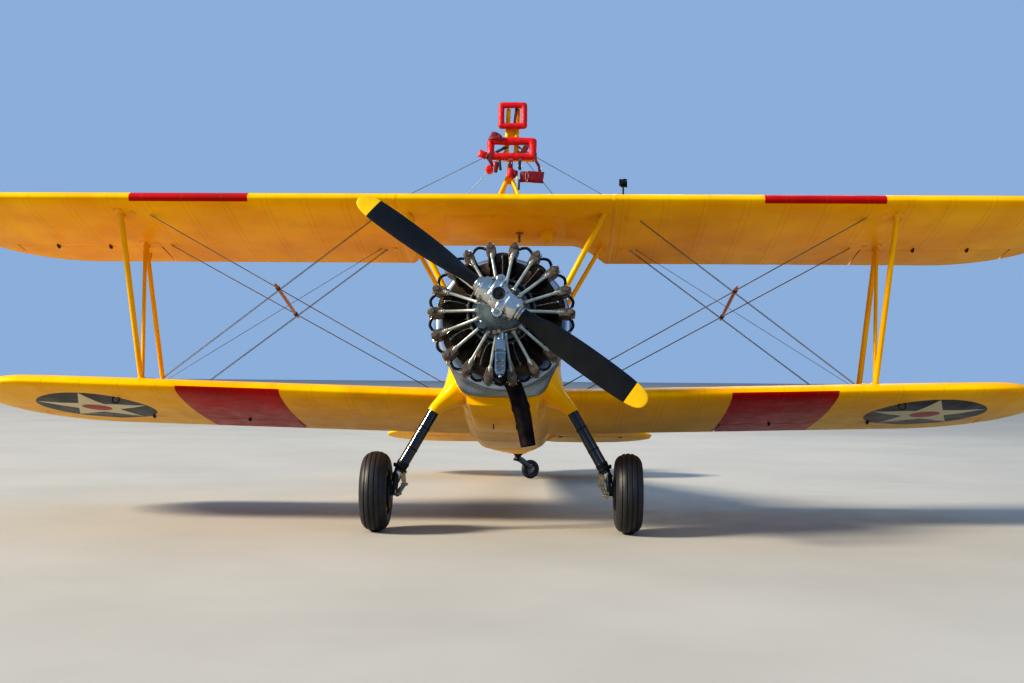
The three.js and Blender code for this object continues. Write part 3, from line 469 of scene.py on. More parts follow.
def relief(tree, shader, *heights):
    """Chains bumps: each entry is a height pattern and its depth in metres."""
    normal = None
    for height, depth in heights:
        inputs = {"Height": height, "Distance": depth}
        if normal is not None:
            inputs["Normal"] = normal
        normal = add(tree, "ShaderNodeBump", inputs).outputs[0]
    tree.links.new(normal, shader.inputs["Normal"])


def worn_paint(name, colour, shade, size, rough, grain, values):
    """A painted surface: two near shades in blotches, uneven gloss, and a fine orange peel."""
    tree, shader = start_material(name, values)
    share = between(tree, noise(tree, size), 0.35, 0.65)
    tree.links.new(blend(tree, share, linear(colour), linear(shade)), shader.inputs["Base Color"])
    gloss = between(tree, noise(tree, size / 6, 4), 0.3, 0.7, *rough)
    tree.links.new(gloss, shader.inputs["Roughness"])
    relief(tree, shader, (noise(tree, 0.006, 2), grain))
    return tree, shader


print("node helpers ready")

# %% [markdown]
# ### Doped fabric
#
# Cotton is sewn over the ribs, shrunk with clear dope, and sprayed with pigmented dope. The eye
# sees a satin yellow skin, a faint weave, and over each rib a pinked tape that stands a little
# proud with the knots of the rib stitching under it. The tape pattern follows the ribs, so it is
# worked out from the flat coordinates: distance to the nearest rib, and steps along it.

# %% Doped fabric with rib tapes, bands and stars
RIB_PITCH = 0.335
TAPE_HALF = 0.024
STITCH = 0.062
YELLOW, YELLOW_DEEP = "#F4BE00", "#E8AA00"
RED = "#B9101C"
DOPE = {
    "IOR": 1.46, "Specular IOR Level": 0.35, "Specular Tint": linear("#F2B632"),
    "Coat Weight": 0.08, "Coat Roughness": 0.2,
}
BANDS = {"upper": (2.147, 3.145, -0.03, 1.6), "lower": (1.93, 2.83, -1.6, 0.0)}
STARS = {"upper": (3.80, 0.72, 0.53), "lower": (3.73, -0.705, 0.53)}


def star_share(tree, x, y, radius):
    """1 inside a five-pointed star, one point towards +Y.

    The angle from the nearest point's direction and the distance give a place (a, b) in one
    tenth of the star, which lies inside where the edge line's own distance isn't passed:
    a r sin 36 + b (R - r cos 36) < R r sin 36, with r = 0.382 R.
    """
    inner = 0.382 * radius
    fifth = 2 * math.pi / 5
    angle = math_node(tree, "ARCTAN2", x, y)
    folded = math_node(tree, "WRAP", angle, fifth / 2, -fifth / 2)
    side = math_node(tree, "ABSOLUTE", folded)
    squares = [math_node(tree, "MULTIPLY", way, way) for way in (x, y)]
    far = math_node(tree, "SQRT", math_node(tree, "ADD", *squares))
    a = math_node(tree, "MULTIPLY", far, math_node(tree, "COSINE", side))
    b = math_node(tree, "MULTIPLY", far, math_node(tree, "SINE", side))
    s, c = math.sin(fifth / 2), math.cos(fifth / 2)
    edge = math_node(
        tree, "ADD", math_node(tree, "MULTIPLY", a, inner * s),
        math_node(tree, "MULTIPLY", b, radius - inner * c),
    )
    return math_node(tree, "LESS_THAN", edge, radius * inner * s), far


def fabric(name, marks=None, ribs=True, pitch=RIB_PITCH):
    """Yellow doped fabric; marks names the wing whose bands and stars it carries."""
    tree, shader = start_material(name, DOPE)
    flat = add(tree, "ShaderNodeUVMap", uv_map="flat").outputs[0]
    span, chord, _ = add(tree, "ShaderNodeSeparateXYZ", {"Vector": flat}).outputs
    out = math_node(tree, "ABSOLUTE", span)
    share = between(tree, noise(tree, 0.55, 4), 0.35, 0.65)
    colour = blend(tree, share, linear(YELLOW), linear(YELLOW_DEEP))
    grime = between(tree, noise(tree, 0.22, 6, (1, 0.25, 1)), 0.58, 0.8, 0.0, 0.22)
    colour = blend(tree, grime, colour, linear("#A9780F"))
    if marks:
        low, high, under, over = BANDS[marks]
        inside = [
            math_node(tree, "GREATER_THAN", out, low),
            math_node(tree, "LESS_THAN", out, high),
            math_node(tree, "GREATER_THAN", chord, under),
            math_node(tree, "LESS_THAN", chord, over),
        ]
        band = math_node(
            tree, "MULTIPLY", math_node(tree, "MULTIPLY", *inside[:2]),
            math_node(tree, "MULTIPLY", *inside[2:]),
        )
        colour = blend(tree, band, colour, blend(tree, share, linear(RED), linear("#A30D18")))
        middle, back, radius = STARS[marks]
        x = math_node(tree, "SUBTRACT", out, middle)
        y = math_node(
            tree, "SUBTRACT", math_node(tree, "MULTIPLY", chord, -1.0 if back > 0 else 1.0),
            -abs(back),
        )
        star, far = star_share(tree, x, y, radius * 0.985)
        disc = math_node(tree, "LESS_THAN", far, radius)
        same = math_node(
            tree, "GREATER_THAN", math_node(tree, "MULTIPLY", chord, 1.0 if back > 0 else -1.0),
            0.02,
        )
        disc = math_node(tree, "MULTIPLY", disc, same)
        # The disc's greener second shade and the cream star are partly painted light: they carry
        # yellow bounce light seen in shade, over an insignia-blue disc and a white star.
        colour = blend(tree, disc, colour, blend(tree, share, linear("#1B2A3C"), linear("#232F33")))
        colour = blend(tree, math_node(tree, "MULTIPLY", star, disc), colour, linear("#CFC7A4"))
        heart = math_node(tree, "MULTIPLY", math_node(tree, "LESS_THAN", far, radius * 0.25), disc)
        colour = blend(tree, heart, colour, linear("#9C2A1B"))
    heights = []
    if ribs:
        step = math_node(tree, "PINGPONG", out, pitch / 2)
        tape = between(tree, step, TAPE_HALF + 0.001, TAPE_HALF - 0.001)
        edge = between(
            tree, math_node(tree, "ABSOLUTE", math_node(tree, "SUBTRACT", step, TAPE_HALF)), 0.004,
            0.0,
        )
        colour = blend(tree, math_node(tree, "MULTIPLY", edge, 0.30), colour, linear("#9A6A08"))
        knot = between(tree, math_node(tree, "PINGPONG", chord, STITCH / 2), 0.007, 0.0)
        middle_line = between(tree, step, 0.006, 0.0)
        knots = math_node(tree, "MULTIPLY", knot, middle_line)
        heights = [(tape, 0.0008), (knots, 0.0012)]
    weave_u = add(
        tree, "ShaderNodeTexWave", {"Vector": place(tree), "Scale": 1 / 0.0031}, bands_direction="X"
    )
    weave_v = add(
        tree, "ShaderNodeTexWave", {"Vector": place(tree), "Scale": 1 / 0.0031}, bands_direction="Y"
    )
    weave = math_node(tree, "MULTIPLY", weave_u.outputs["Fac"], weave_v.outputs["Fac"])
    tree.links.new(colour, shader.inputs["Base Color"])
    tree.links.new(
        between(tree, noise(tree, 0.12, 4), 0.3, 0.7, 0.38, 0.52), shader.inputs["Roughness"]
    )
    relief(tree, shader, *heights, (weave, 0.00006), (noise(tree, 0.09, 3), 0.0012))
    return tree, shader


for marks in (None, "upper", "lower"):
    fabric("doped fabric" + (f", {marks} wing" if marks else ""), marks)
fabric("doped fabric, tail", pitch=0.26)
fabric("doped fabric, no ribs", ribs=False)
print("fabric finishes:", sorted(MATERIALS))

# %% [markdown]
# ### Paints and enamels
#
# Struts, fairings and metal panels carry a glossy enamel, brushed or sprayed by hand. It shows
# an even colour, a sharp highlight, and a slight orange peel. Engine paints are thinner and
# duller, and darken with oil.

# %% Enamel, stove enamel and lacquer
GLOSS = {"IOR": 1.5, "Coat Weight": 0.5, "Coat Roughness": 0.08}
BRUSHED = {
    "IOR": 1.5, "Specular IOR Level": 0.35, "Specular Tint": linear("#F2B632"), "Coat Weight": 0.14,
    "Coat Roughness": 0.16,
}
DEEP_GLOSS = {"IOR": 1.5, "Coat Weight": 0.9, "Coat Roughness": 0.04}
MATT = {"IOR": 1.5, "Specular IOR Level": 0.4}
METALLIC = {"IOR": 1.5, "Metallic": 0.25}
CASE_PAINT = {"IOR": 1.5, "Metallic": 0.2, "Coat Weight": 0.25, "Coat Roughness": 0.1}
worn_paint("yellow enamel", "#F3BC02", "#E8AA02", 0.5, (0.3, 0.42), 0.00006, BRUSHED)
worn_paint("navy gloss enamel", "#0B1524", "#0F1B2B", 0.3, (0.08, 0.16), 0.0001, DEEP_GLOSS)
worn_paint("black enamel", "#101214", "#191B1C", 0.1, (0.3, 0.5), 0.0004, MATT)
worn_paint("engine grey enamel", "#5C6B74", "#465660", 0.08, (0.2, 0.32), 0.0002, CASE_PAINT)
worn_paint("pushrod tube enamel", "#A9AFAB", "#8E9692", 0.05, (0.25, 0.4), 0.0003, METALLIC)
worn_paint("rocker box enamel", "#786D61", "#554C43", 0.05, (0.35, 0.5), 0.0001, METALLIC)
worn_paint("propeller black", "#11161C", "#1A1E22", 0.15, (0.36, 0.5), 0.0003, MATT)
worn_paint("tip yellow", "#F2C70A", "#E6B90C", 0.1, (0.35, 0.5), 0.0003, MATT)
worn_paint("cockpit green primer", "#5E6B3A", "#4D5931", 0.2, (0.5, 0.7), 0.0004, MATT)
worn_paint("instrument black", "#15171A", "#1E2022", 0.05, (0.5, 0.7), 0.0006, MATT)
worn_paint("dial white", "#E6E4D8", "#D9D6C8", 0.05, (0.4, 0.5), 0.0001, MATT)
worn_paint("varnished wood", "#B4612A", "#8C451B", 0.02, (0.3, 0.45), 0.0006, GLOSS)
worn_paint("black rubber", "#141517", "#1C1D1E", 0.04, (0.6, 0.8), 0.0006, MATT)
worn_paint("fuel gauge amber", "#3A2A12", "#4A3516", 0.02, (0.1, 0.2), 0.0001, DEEP_GLOSS)

# %% [markdown]
# ### Bare metals
#
# Bare metal has no colour of its own paint, only that of what it reflects, so its roughness and
# its tool marks tell brushed, polished and burnt metal apart.

# %% Aluminium, steel and burnt steel


def bare_metal(name, colour, shade, size, rough, stretch=(1, 1, 1), grain=0.0002):
    """A metal with cloudy tone and a directional polish."""
    tree, shader = start_material(name, {"Metallic": 1.0})
    share = between(tree, noise(tree, size, 4), 0.35, 0.65)
    tree.links.new(blend(tree, share, linear(colour), linear(shade)), shader.inputs["Base Color"])
    streaks = noise(tree, 0.004, 3, stretch)
    tree.links.new(between(tree, streaks, 0.3, 0.7, *rough), shader.inputs["Roughness"])
    relief(tree, shader, (streaks, grain))
    return tree, shader


bare_metal("polished steel", "#CDD0CF", "#B7BBBB", 0.12, (0.2, 0.26), (1, 1, 1), 0.000005)
# The blue in spun aluminium's two colours is painted light: a painted reflection of blue sky on
# grey metal.
bare_metal("spun aluminium", "#A9B7C6", "#93A3B4", 0.3, (0.34, 0.44), (1, 12, 1), 0.00002)
bare_metal("satin steel", "#B5B8B8", "#94989A", 0.05, (0.28, 0.38), (1, 1, 1), 0.00002)
bare_metal("stainless wire", "#8E9295", "#74797C", 0.2, (0.45, 0.58), (1, 1, 1), 0.00008)
bare_metal("cadmium plate", "#B9AE98", "#9A8E79", 0.02, (0.3, 0.45), (1, 1, 1), 0.00004)
bare_metal("brass", "#B58B45", "#8F6A32", 0.02, (0.3, 0.45), (1, 1, 1), 0.0003)
bare_metal("burnt exhaust steel", "#3F3636", "#272224", 0.09, (0.45, 0.7), (1, 1, 1), 0.0008)
HEATED = {"IOR": 1.5, "Metallic": 0.5}
worn_paint("cylinder iron, heated", "#5F5348", "#463C34", 0.05, (0.45, 0.65), 0.0002, HEATED)
worn_paint("cylinder head bronze", "#6E5D4E", "#4A3F36", 0.04, (0.4, 0.6), 0.0002, HEATED)
tree, shader = bare_metal(
    "braided shield", "#7E8082", "#5F6163", 0.01, (0.35, 0.55), (1, 1, 1), 0.0002
)
braid = add(
    tree, "ShaderNodeTexWave", {"Vector": place(tree), "Scale": 1 / 0.0045, "Distortion": 1.5},
    bands_direction="DIAGONAL",
)
relief(tree, shader, (braid.outputs["Fac"], 0.0008))
print(len(MATERIALS), "finishes so far")

# %% [markdown]
# ### Rubber, cloth, leather and windshields
#
# Tyre rubber is dull and greyed by dust in its grooves. The rider's pads are coated red fabric,
# with a soft sheen and creases. The straps are woven. Cockpit rims are brown leather, which
# shows small pores. The windshields are clear acrylic sheet.

# %% Soft and clear finishes


def tyre_rubber():
    """Dark rubber with paler dust in blotches."""
    tree, shader = start_material("tyre rubber", {"IOR": 1.52, "Specular IOR Level": 0.5})
    dust = between(tree, noise(tree, 0.05, 5), 0.45, 0.75, 0.0, 0.3)
    tree.links.new(
        blend(tree, dust, linear("#2A2A2C"), linear("#4B4845")), shader.inputs["Base Color"]
    )
    tree.links.new(
        between(tree, noise(tree, 0.02), 0.3, 0.7, 0.42, 0.56), shader.inputs["Roughness"]
    )
    relief(tree, shader, (noise(tree, 0.003, 4), 0.0005))


def coated_fabric(name, colour, shade, rough=(0.38, 0.55)):
    """Fabric with a soft plastic coat: creases of a few centimetres over a fine grain."""
    tree, shader = start_material(name, {"IOR": 1.48, "Sheen Weight": 0.25, "Sheen Roughness": 0.4})
    share = between(tree, noise(tree, 0.05, 4), 0.35, 0.65)
    tree.links.new(blend(tree, share, linear(colour), linear(shade)), shader.inputs["Base Color"])
    tree.links.new(between(tree, noise(tree, 0.03), 0.3, 0.7, *rough), shader.inputs["Roughness"])
    relief(tree, shader, (noise(tree, 0.035, 3), 0.006), (noise(tree, 0.0022, 2), 0.0004))


def webbing(name, colour, shade):
    """Woven strap: fine ribs along and across it."""
    tree, shader = start_material(
        name, {"IOR": 1.45, "Sheen Weight": 0.3, "Sheen Roughness": 0.5, "Roughness": 0.75}
    )
    ribs = add(
        tree, "ShaderNodeTexWave", {"Vector": place(tree), "Scale": 1 / 0.006, "Distortion": 0.6},
        bands_direction="DIAGONAL",
    )
    tree.links.new(
        blend(tree, ribs.outputs["Fac"], linear(colour), linear(shade)), shader.inputs["Base Color"]
    )
    relief(tree, shader, (ribs.outputs["Fac"], 0.0006))


def leather(name, colour, shade):
    """Pores a couple of millimetres apart over soft creases."""
    tree, shader = start_material(name, {"IOR": 1.48, "Sheen Weight": 0.1})
    pores = add(tree, "ShaderNodeTexVoronoi", {"Vector": place(tree), "Scale": 1 / 0.0045})
    share = between(tree, noise(tree, 0.06, 4), 0.35, 0.65)
    tree.links.new(blend(tree, share, linear(colour), linear(shade)), shader.inputs["Base Color"])
    tree.links.new(
        between(tree, noise(tree, 0.05), 0.3, 0.7, 0.42, 0.6), shader.inputs["Roughness"]
    )
    relief(tree, shader, (noise(tree, 0.04, 3), 0.003), (pores.outputs["Distance"], 0.0006))


tyre_rubber()
coated_fabric("red coated fabric", "#CF0E1E", "#B40A18")
coated_fabric("dark red coated fabric", "#7E0825", "#62071C")
webbing("dark red webbing", "#5E0B18", "#77101F")
webbing("black webbing", "#16171A", "#24262A")
webbing("pale webbing", "#D8CFC4", "#C4B9AC")
leather("brown leather", "#6A4327", "#54341E")
ACRYLIC = {
    "Roughness": 0.06, "IOR": 1.49, "Transmission Weight": 0.92, "Base Color": linear("#EAF1F2")
}
start_material("clear acrylic", ACRYLIC)
print(len(MATERIALS), "finishes")

# %% [markdown]
# ## Camera, floor and light
#
# The photograph was taken from about ten and a half metres before the axle, a person's
# height above the grass, looking very slightly up. The camera's place and lens come from
# matching known sizes of the aeroplane to it. The light is a studio's: a large soft light on the
# viewer's left, a third of the way up, stands for the sun, a pale floor throws light under the
# wings, and an even blue fills the rest. A contrast look keeps the yellow deep.

# %% Camera
CAMERA_PLACE = np.array([0.388, -10.598, 1.027]) + ORIGIN
YAW, PITCH, ROLL = (math.radians(a) for a in (-1.698, 1.334, 0.436))
LENS = 45.64


def camera_axes():
    """Right, up and back of the camera: heading first, then pitch, then roll about the view."""
    ahead = np.array(
        [math.sin(YAW) * math.cos(PITCH), math.cos(YAW) * math.cos(PITCH), math.sin(PITCH)]
    )
    level = np.array([math.cos(YAW), -math.sin(YAW), 0.0])
    upward = np.cross(level, ahead)
    right = math.cos(ROLL) * level + math.sin(ROLL) * upward
    return right, np.cross(right, ahead), -ahead


def placing(axes, spot):
    """A placing matrix from three axis columns and a place."""
    return Matrix([[*row, along] for row, along in zip(axes.tolist(), spot)] + [[0, 0, 0, 1]])


camera = bpy.data.objects.new("camera", bpy.data.cameras.new("camera"))
camera.data.lens = LENS
camera.data.sensor_width = 36
camera.data.clip_end = 200
camera.matrix_world = placing(np.stack(camera_axes(), 1), CAMERA_PLACE)
bpy.context.scene.collection.objects.link(camera)
bpy.context.scene.camera = camera
print("camera at", CAMERA_PLACE.round(3))

# %% Floor, world and lamps
worn_paint("pale studio floor", "#ABA9A2", "#A5A39C", 2.0, (0.7, 0.85), 0.0005, MATT)
FLOOR_REACH = 160
floor_mesh = bpy.data.meshes.new("floor")
corners = [(x * FLOOR_REACH, y * FLOOR_REACH, 0) for x, y in ((-1, -1), (1, -1), (1, 1), (-1, 1))]
floor_mesh.from_pydata(corners, [], [(0, 1, 2, 3)])
floor_mesh.materials.append(MATERIALS["pale studio floor"])
floor = bpy.data.objects.new("floor", floor_mesh)
bpy.context.scene.collection.objects.link(floor)

world = bpy.data.worlds.new("studio")
bpy.context.scene.world = world
world.use_nodes = True
world.node_tree.nodes["Background"].inputs["Color"].default_value = linear("#A9C8F0")
world.node_tree.nodes["Background"].inputs["Strength"].default_value = 0.6


def lamp(name, place, target, size, power, colour):
    """A square soft light that faces a target."""
    made = bpy.data.objects.new(name, bpy.data.lights.new(name, "AREA"))
    made.data.size = size
    made.data.energy = power
    made.data.color = linear(colour)[:3]
    back = unit(np.subtract(place, target))
    right = unit(np.cross(Z, back))
    up = np.cross(back, right)
    made.matrix_world = placing(np.stack([right, up, back], 1), place)
    bpy.context.scene.collection.objects.link(made)


lamp("sun side", (-81, -25, 55.6), (0, -2, 1.2), 20, 154800, "#FFF0D8")
lamp("fill", (11, -12, 6), (0, -2, 1.5), 8, 260, "#E6EEFF")
lamp("rim", (4, 14, 9), (0, 0, 1.5), 8, 300, "#FFFFFF")
bpy.context.scene.view_settings.view_transform = "Standard"
bpy.context.scene.view_settings.look = "High Contrast"
print("stage set")

# %% [markdown]
# ## Wings
#
# A wing of this age is a row of wooden ribs on two spars, with plywood round the nose and fabric
# over everything. Between the ribs the fabric pulls in a few millimetres, so the skin is a row
# of shallow troughs. The section is a four-digit one: a thickness curve laid on both sides of a
# mean line. Each panel is that section carried out along the span, and near the tip its front
# and rear edges come together along quarter ellipses. The aileron and its wing part along two
# arcs about the hinge line, so the gap between them stays the same as it turns.

# %% The section and the plan of a wing
CHORD = 1.524
WING_THICKNESS, WING_CAMBER, CAMBER_AT = 0.12, 0.02, 0.2
TIP_LENGTH, TIP_NOSE = 1.05, 0.56
HINGE, RUNNING, END_GAP = 1.08, 0.008, 0.014
FABRIC_SAG = 0.0032
WINGS = {
    "upper": {
        "front": -0.4, "height": 2.438, "incidence": 4, "dihedral": 0, "root": 0.9146, "tip": 4.902,
        "aileron": (3.165, 4.48),
    },
    "lower": {
        "front": 0.242, "height": 0.885, "incidence": 3, "dihedral": 1.5, "root": 0.36, "tip": 4.75,
        "aileron": (1.96, 4.33),
    },
}


def half_thickness(u):
    """Thickness to one side at a share u of the chord: 5t(0.2969 sqrt(u) - 0.126u - ...)."""
    series = 0.2969 * np.sqrt(u) - 0.126 * u - 0.3516 * u**2 + 0.2843 * u**3 - 0.1015 * u**4
    return 5 * WING_THICKNESS * series


def mean_line(u):
    """Two parabolas that meet at the highest camber."""
    rear = WING_CAMBER / (1 - CAMBER_AT) ** 2 * (1 - 2 * CAMBER_AT + 2 * CAMBER_AT * u - u * u)
    return np.where(u < CAMBER_AT, WING_CAMBER / CAMBER_AT**2 * (2 * CAMBER_AT * u - u * u), rear)


HINGE_HEIGHT = CHORD * float(mean_line(np.array(HINGE / CHORD)))
NOSE_RADIUS = CHORD * float(half_thickness(np.array(HINGE / CHORD))) - 0.005


def plan_edges(x, tip):
    """Front and rear edge at each span place: straight, then along quarter ellipses."""
    shares = (np.clip((x - tip + length) / length, 0, 1) for length in (TIP_NOSE, TIP_LENGTH))
    nose, rear = (1 - np.sqrt(1 - share**2) for share in shares)
    return CHORD * 0.43 * nose, CHORD * (1 - 0.56 * rear)


def sag_at(x, u, pitch=RIB_PITCH):
    """How far fabric pulls in: sin^2 between ribs, none at the nose and at the rear edge."""
    between_ribs = np.sin(np.pi * x / pitch) ** 2
    along = np.clip((u - 0.14) / 0.12, 0, 1) * np.clip((1 - u) / 0.1, 0, 1)
    return FABRIC_SAG * between_ribs * along


def skin_height(x, y, sign, tip):
    """Height of the upper (+1) or lower (-1) skin at span places and chord places."""
    front, rear = plan_edges(x, tip)
    size = rear - front
    u = np.clip((y - front) / np.maximum(size, 1e-6), 0, 1)
    thin = np.clip(size / CHORD, 0, 1)
    return size * (mean_line(u) + sign * half_thickness(u)) - sign * sag_at(x, u) * thin


def cut_place(x, sign, tip, radius):
    """Where a skin meets the arc about the hinge line, found by halving the interval."""
    low, high = np.full_like(x, HINGE - radius), np.full_like(x, HINGE)
    for _ in range(24):
        middle = (low + high) / 2
        z = skin_height(x, middle, sign, tip) - HINGE_HEIGHT
        ahead = middle < HINGE - np.sqrt(np.clip(radius**2 - z**2, 0, None))
        low, high = np.where(ahead, middle, low), np.where(ahead, high, middle)
    return (low + high) / 2


def wing_rows(x, wing, role, points=46):
    """Closed sections of a wing ("whole"), of its part before an aileron ("fixed"), or of the
    aileron ("flap"): along one skin, then back along the other, then round the arc."""
    tip = wing["tip"]
    front, rear = plan_edges(x, tip)
    eased = (1 - np.cos(np.pi * np.linspace(0, 1, points))) / 2
    if role == "whole":
        y = front[:, None] + (rear - front)[:, None] * eased
        over, under = (skin_height(x[:, None], y, s, tip) for s in (1, -1))
        rows_y = np.concatenate([y[:, ::-1], y[:, 1:]], 1)
        rows_z = np.concatenate([under[:, ::-1], over[:, 1:]], 1)
        return rows_y, rows_z, np.concatenate([-y[:, ::-1], y[:, 1:]], 1)
    radius = NOSE_RADIUS + (RUNNING if role == "fixed" else 0)
    cuts = {s: cut_place(x, s, tip, radius) for s in (1, -1)}
    ends = {s: front if role == "fixed" else rear for s in (1, -1)}
    skins = {}
    for s in (1, -1):
        y = ends[s][:, None] + (cuts[s] - ends[s])[:, None] * eased
        skins[s] = (y, skin_height(x[:, None], y, s, tip))
    heights = {s: skins[s][1][:, -1] - HINGE_HEIGHT for s in (1, -1)}
    share = np.linspace(0, 1, 16)[None, 1:-1]
    arc_z = heights[1][:, None] * (1 - share) + heights[-1][:, None] * share
    arc_y = HINGE - np.sqrt(np.clip(radius**2 - arc_z**2, 0, None))
    rows_y = np.concatenate([skins[-1][0][:, ::-1], skins[1][0][:, 1:], arc_y], 1)
    rows_z = np.concatenate([skins[-1][1][:, ::-1], skins[1][1][:, 1:], arc_z + HINGE_HEIGHT], 1)
    chord = np.concatenate(
        [-skins[-1][0][:, ::-1], skins[1][0][:, 1:], np.full_like(arc_y, 1.2)], 1
    )
    return rows_y, rows_z, chord


def wing_place(points, wing, sign):
    """Dihedral about Y, then incidence about X, then the panel's place on the aeroplane."""
    x, y, z = np.moveaxis(points, -1, 0)
    d, a = math.radians(wing["dihedral"]), math.radians(wing["incidence"])
    x, z = x * math.cos(d) - z * math.sin(d), x * math.sin(d) + z * math.cos(d)
    y, z = y * math.cos(a) + z * math.sin(a), z * math.cos(a) - y * math.sin(a)
    return np.stack([x * sign, y + wing["front"], z + wing["height"]], -1)


def span_stations(start, end, wing):
    """Even steps, eight to a rib bay, and closer ones where the tip rounds in."""
    even = np.linspace(start, end, max(4, int(8 * (end - start) / RIB_PITCH)))
    bend = wing["tip"] - 0.25 * np.linspace(0, 1, 28) ** 2
    extra = bend[(bend > start) & (bend < end)]
    return np.unique(np.concatenate([even, extra]).round(5))


def wing_part(start, end, wing, role, sign):
    """One stretch of a wing, closed at both ends, with span and chord as flat coordinates."""
    x = span_stations(start, end, wing)
    y, z, chord = wing_rows(x, wing, role)
    across = np.broadcast_to(x[:, None], y.shape)
    uv = np.stack([across, chord], -1)
    return grid(wing_place(np.stack([across, y, z], -1), wing, sign), around=True, ends=True, uv=uv)


print("hinge line at", HINGE, "nose radius", round(NOSE_RADIUS, 4))

# %% [markdown]
# A panel has three stretches: inboard of the aileron, before it, and outboard of it. They share
# end walls, so they sit together as one skin. A little outrigger lug on each aileron takes the
# push rod that joins the upper and the lower one.

# %% Wing panels and ailerons
LINK = {"behind": 0.19, "lug": 0.02, "tall": 0.064}
LINK_AT = {"upper": (3.33, -0.046), "lower": (3.245, 0.06)}
for level, wing in WINGS.items():
    start, end = wing["aileron"]
    paint = f"doped fabric, {level} wing"
    for side, sign in SIDES:
        stretches = [
            wing_part(wing["root"], start - END_GAP, wing, "whole", sign),
            wing_part(start - END_GAP, end + END_GAP, wing, "fixed", sign),
            wing_part(end + END_GAP, wing["tip"] - 1e-4, wing, "whole", sign),
        ]
        pins = [
            moved(
                rod((x, HINGE, HINGE_HEIGHT), (x + reach, HINGE, HINGE_HEIGHT), 0.008),
                lambda p: wing_place(p, wing, sign),
            )
            for x, reach in ((start - END_GAP, 0.04), (end + END_GAP, -0.04))
        ]
        piece(
            f"{level}_wing_skin_{side}", {paint: stretches, "satin steel": pins}, "airframe",
            [f"{level}_wing_{side}"],
        )
        flap = wing_part(start, end, wing, "flap", sign)
        x, z = LINK_AT[level]
        lug = block((LINK["lug"], 0.04, LINK["tall"]), (x, HINGE + LINK["behind"], z))
        bolt = rod(
            (x - 0.014, HINGE + LINK["behind"], z), (x + 0.0135, HINGE + LINK["behind"], z), 0.0045
        )
        horn = [moved(shape, lambda p: wing_place(p, wing, sign)) for shape in (lug, bolt)]
        piece(
            f"{level}_aileron_skin_{side}",
            {paint: [flap], "yellow enamel": horn[:1], "satin steel": horn[1:]},
            f"aileron_{level}_{side}", [f"{level}_aileron_{side}"],
        )
print("wing triangles:", sum(TRIANGLES.values()))

# %% [markdown]
# The centre section carries the fuel. Its rear edge is cut back in the middle, so that the front
# seat can be reached: each rib keeps its nose, and only its rear half is drawn in. Sheet metal
# covers the tank on top and underneath, with a row of screws, a sight gauge and a round drain
# bump.

# %% Centre section
CENTRE_HALF = 0.9136
CUTOUT = {"deep": 1.08, "inner": 0.585, "outer": 0.89}


def centre_limit(x):
    """Chord that is left at a span place: full outside, cut back in the middle, t^1.45 between."""
    t = np.clip((np.abs(x) - CUTOUT["inner"]) / (CUTOUT["outer"] - CUTOUT["inner"]), 0, 1)
    return CUTOUT["deep"] + (CHORD - CUTOUT["deep"]) * t**1.45


def centre_point(x, u, sign, lift=0.0):
    """A place on the centre section's skin at a share u of the chord."""
    limit = centre_limit(x)
    y = CHORD * np.where(u < 0.5, u, 0.5 + (u - 0.5) * (2 * limit / CHORD - 1))
    z = CHORD * (mean_line(u) + sign * half_thickness(u)) + sign * lift
    return wing_place(np.stack(np.broadcast_arrays(x, y, z), -1), WINGS["upper"], 1)


eased = (1 - np.cos(np.pi * np.linspace(0, 1, 40))) / 2
span = np.unique(
    np.concatenate(
        [
            np.linspace(-CENTRE_HALF, CENTRE_HALF, 61),
            *(s * np.linspace(0.585, 0.9, 17) for s in (1, -1)),
        ]
    ).round(5)
)
rows = np.concatenate(
    [
        centre_point(span[:, None], eased[None, ::-1], -1),
        centre_point(span[:, None], eased[None, 1:], 1),
    ],
    1,
)
flat_uv = np.stack(
    np.broadcast_arrays(span[:, None], np.concatenate([-eased[::-1], eased[1:]])[None] * CHORD), -1
)
centre_skin = grid(rows, around=True, ends=True, uv=flat_uv)


def tank_cover(sign):
    """A sheet a little proud of the skin, its corners rounded by fading the lift to nothing."""
    x, u = np.meshgrid(np.linspace(-0.52, 0.52, 41), np.linspace(0.17, 0.6, 25), indexing="ij")
    outer = centre_point(x, u, sign, 0.0016)
    inner = centre_point(x, u, sign, -0.004)
    edge = np.concatenate([outer[0, :-1], outer[:-1, -1], outer[-1, :0:-1], outer[:0:-1, 0]])
    below = np.concatenate([inner[0, :-1], inner[:-1, -1], inner[-1, :0:-1], inner[:0:-1, 0]])
    return [grid(outer), grid(np.stack([edge, below]), around=True)], edge


covers, screws = [], []
for sign in (1, -1):
    sheets, edge = tank_cover(sign)
    covers += sheets
    centre = edge.mean(0)
    inset = centre + (edge - centre) * (0.975, 0.955, 1)
    screws += [
        lathe(
            [(0, -0.001), (0.006, -0.001), (0.0055, 0.0012), (0, 0.0022)], 8,
            p + (0, 0, 0.0012 * sign), Z * sign,
        )
        for p in inset[::4]
    ]
    strap_u = np.linspace(0.16, 0.61, 26)
    for x in (-0.26, 0.0, 0.26):
        sides = [
            centre_point(np.full(26, x + dx), strap_u, sign, lift)
            for dx, lift in ((-0.013, 0), (-0.013, 0.003), (0.013, 0.003), (0.013, 0))
        ]
        covers.append(grid(np.stack(sides, 1), around=True, ends=True))
bump = lathe(
    [
        (0, -0.02), (0.056, -0.02), (0.059, 0), (0.06, 0.03), (0.056, 0.055), (0.045, 0.078),
        (0.025, 0.092), (0, 0.096),
    ],
    36, (0.351, 0.204, 2.336), -Z,
)
gauge_body = lathe(
    [
        (0, -0.014), (0.033, -0.014), (0.035, -0.006), (0.035, 0.005), (0.02, 0.012),
        (0.013, 0.022), (0, 0.022),
    ],
    28, (0.111, 0.228, 2.335), -Z,
)
gauge_glass = lathe(
    [(0, 0.015), (0.0105, 0.015), (0.0105, 0.076), (0.007, 0.084), (0, 0.084)], 20,
    (0.111, 0.228, 2.335), -Z,
)
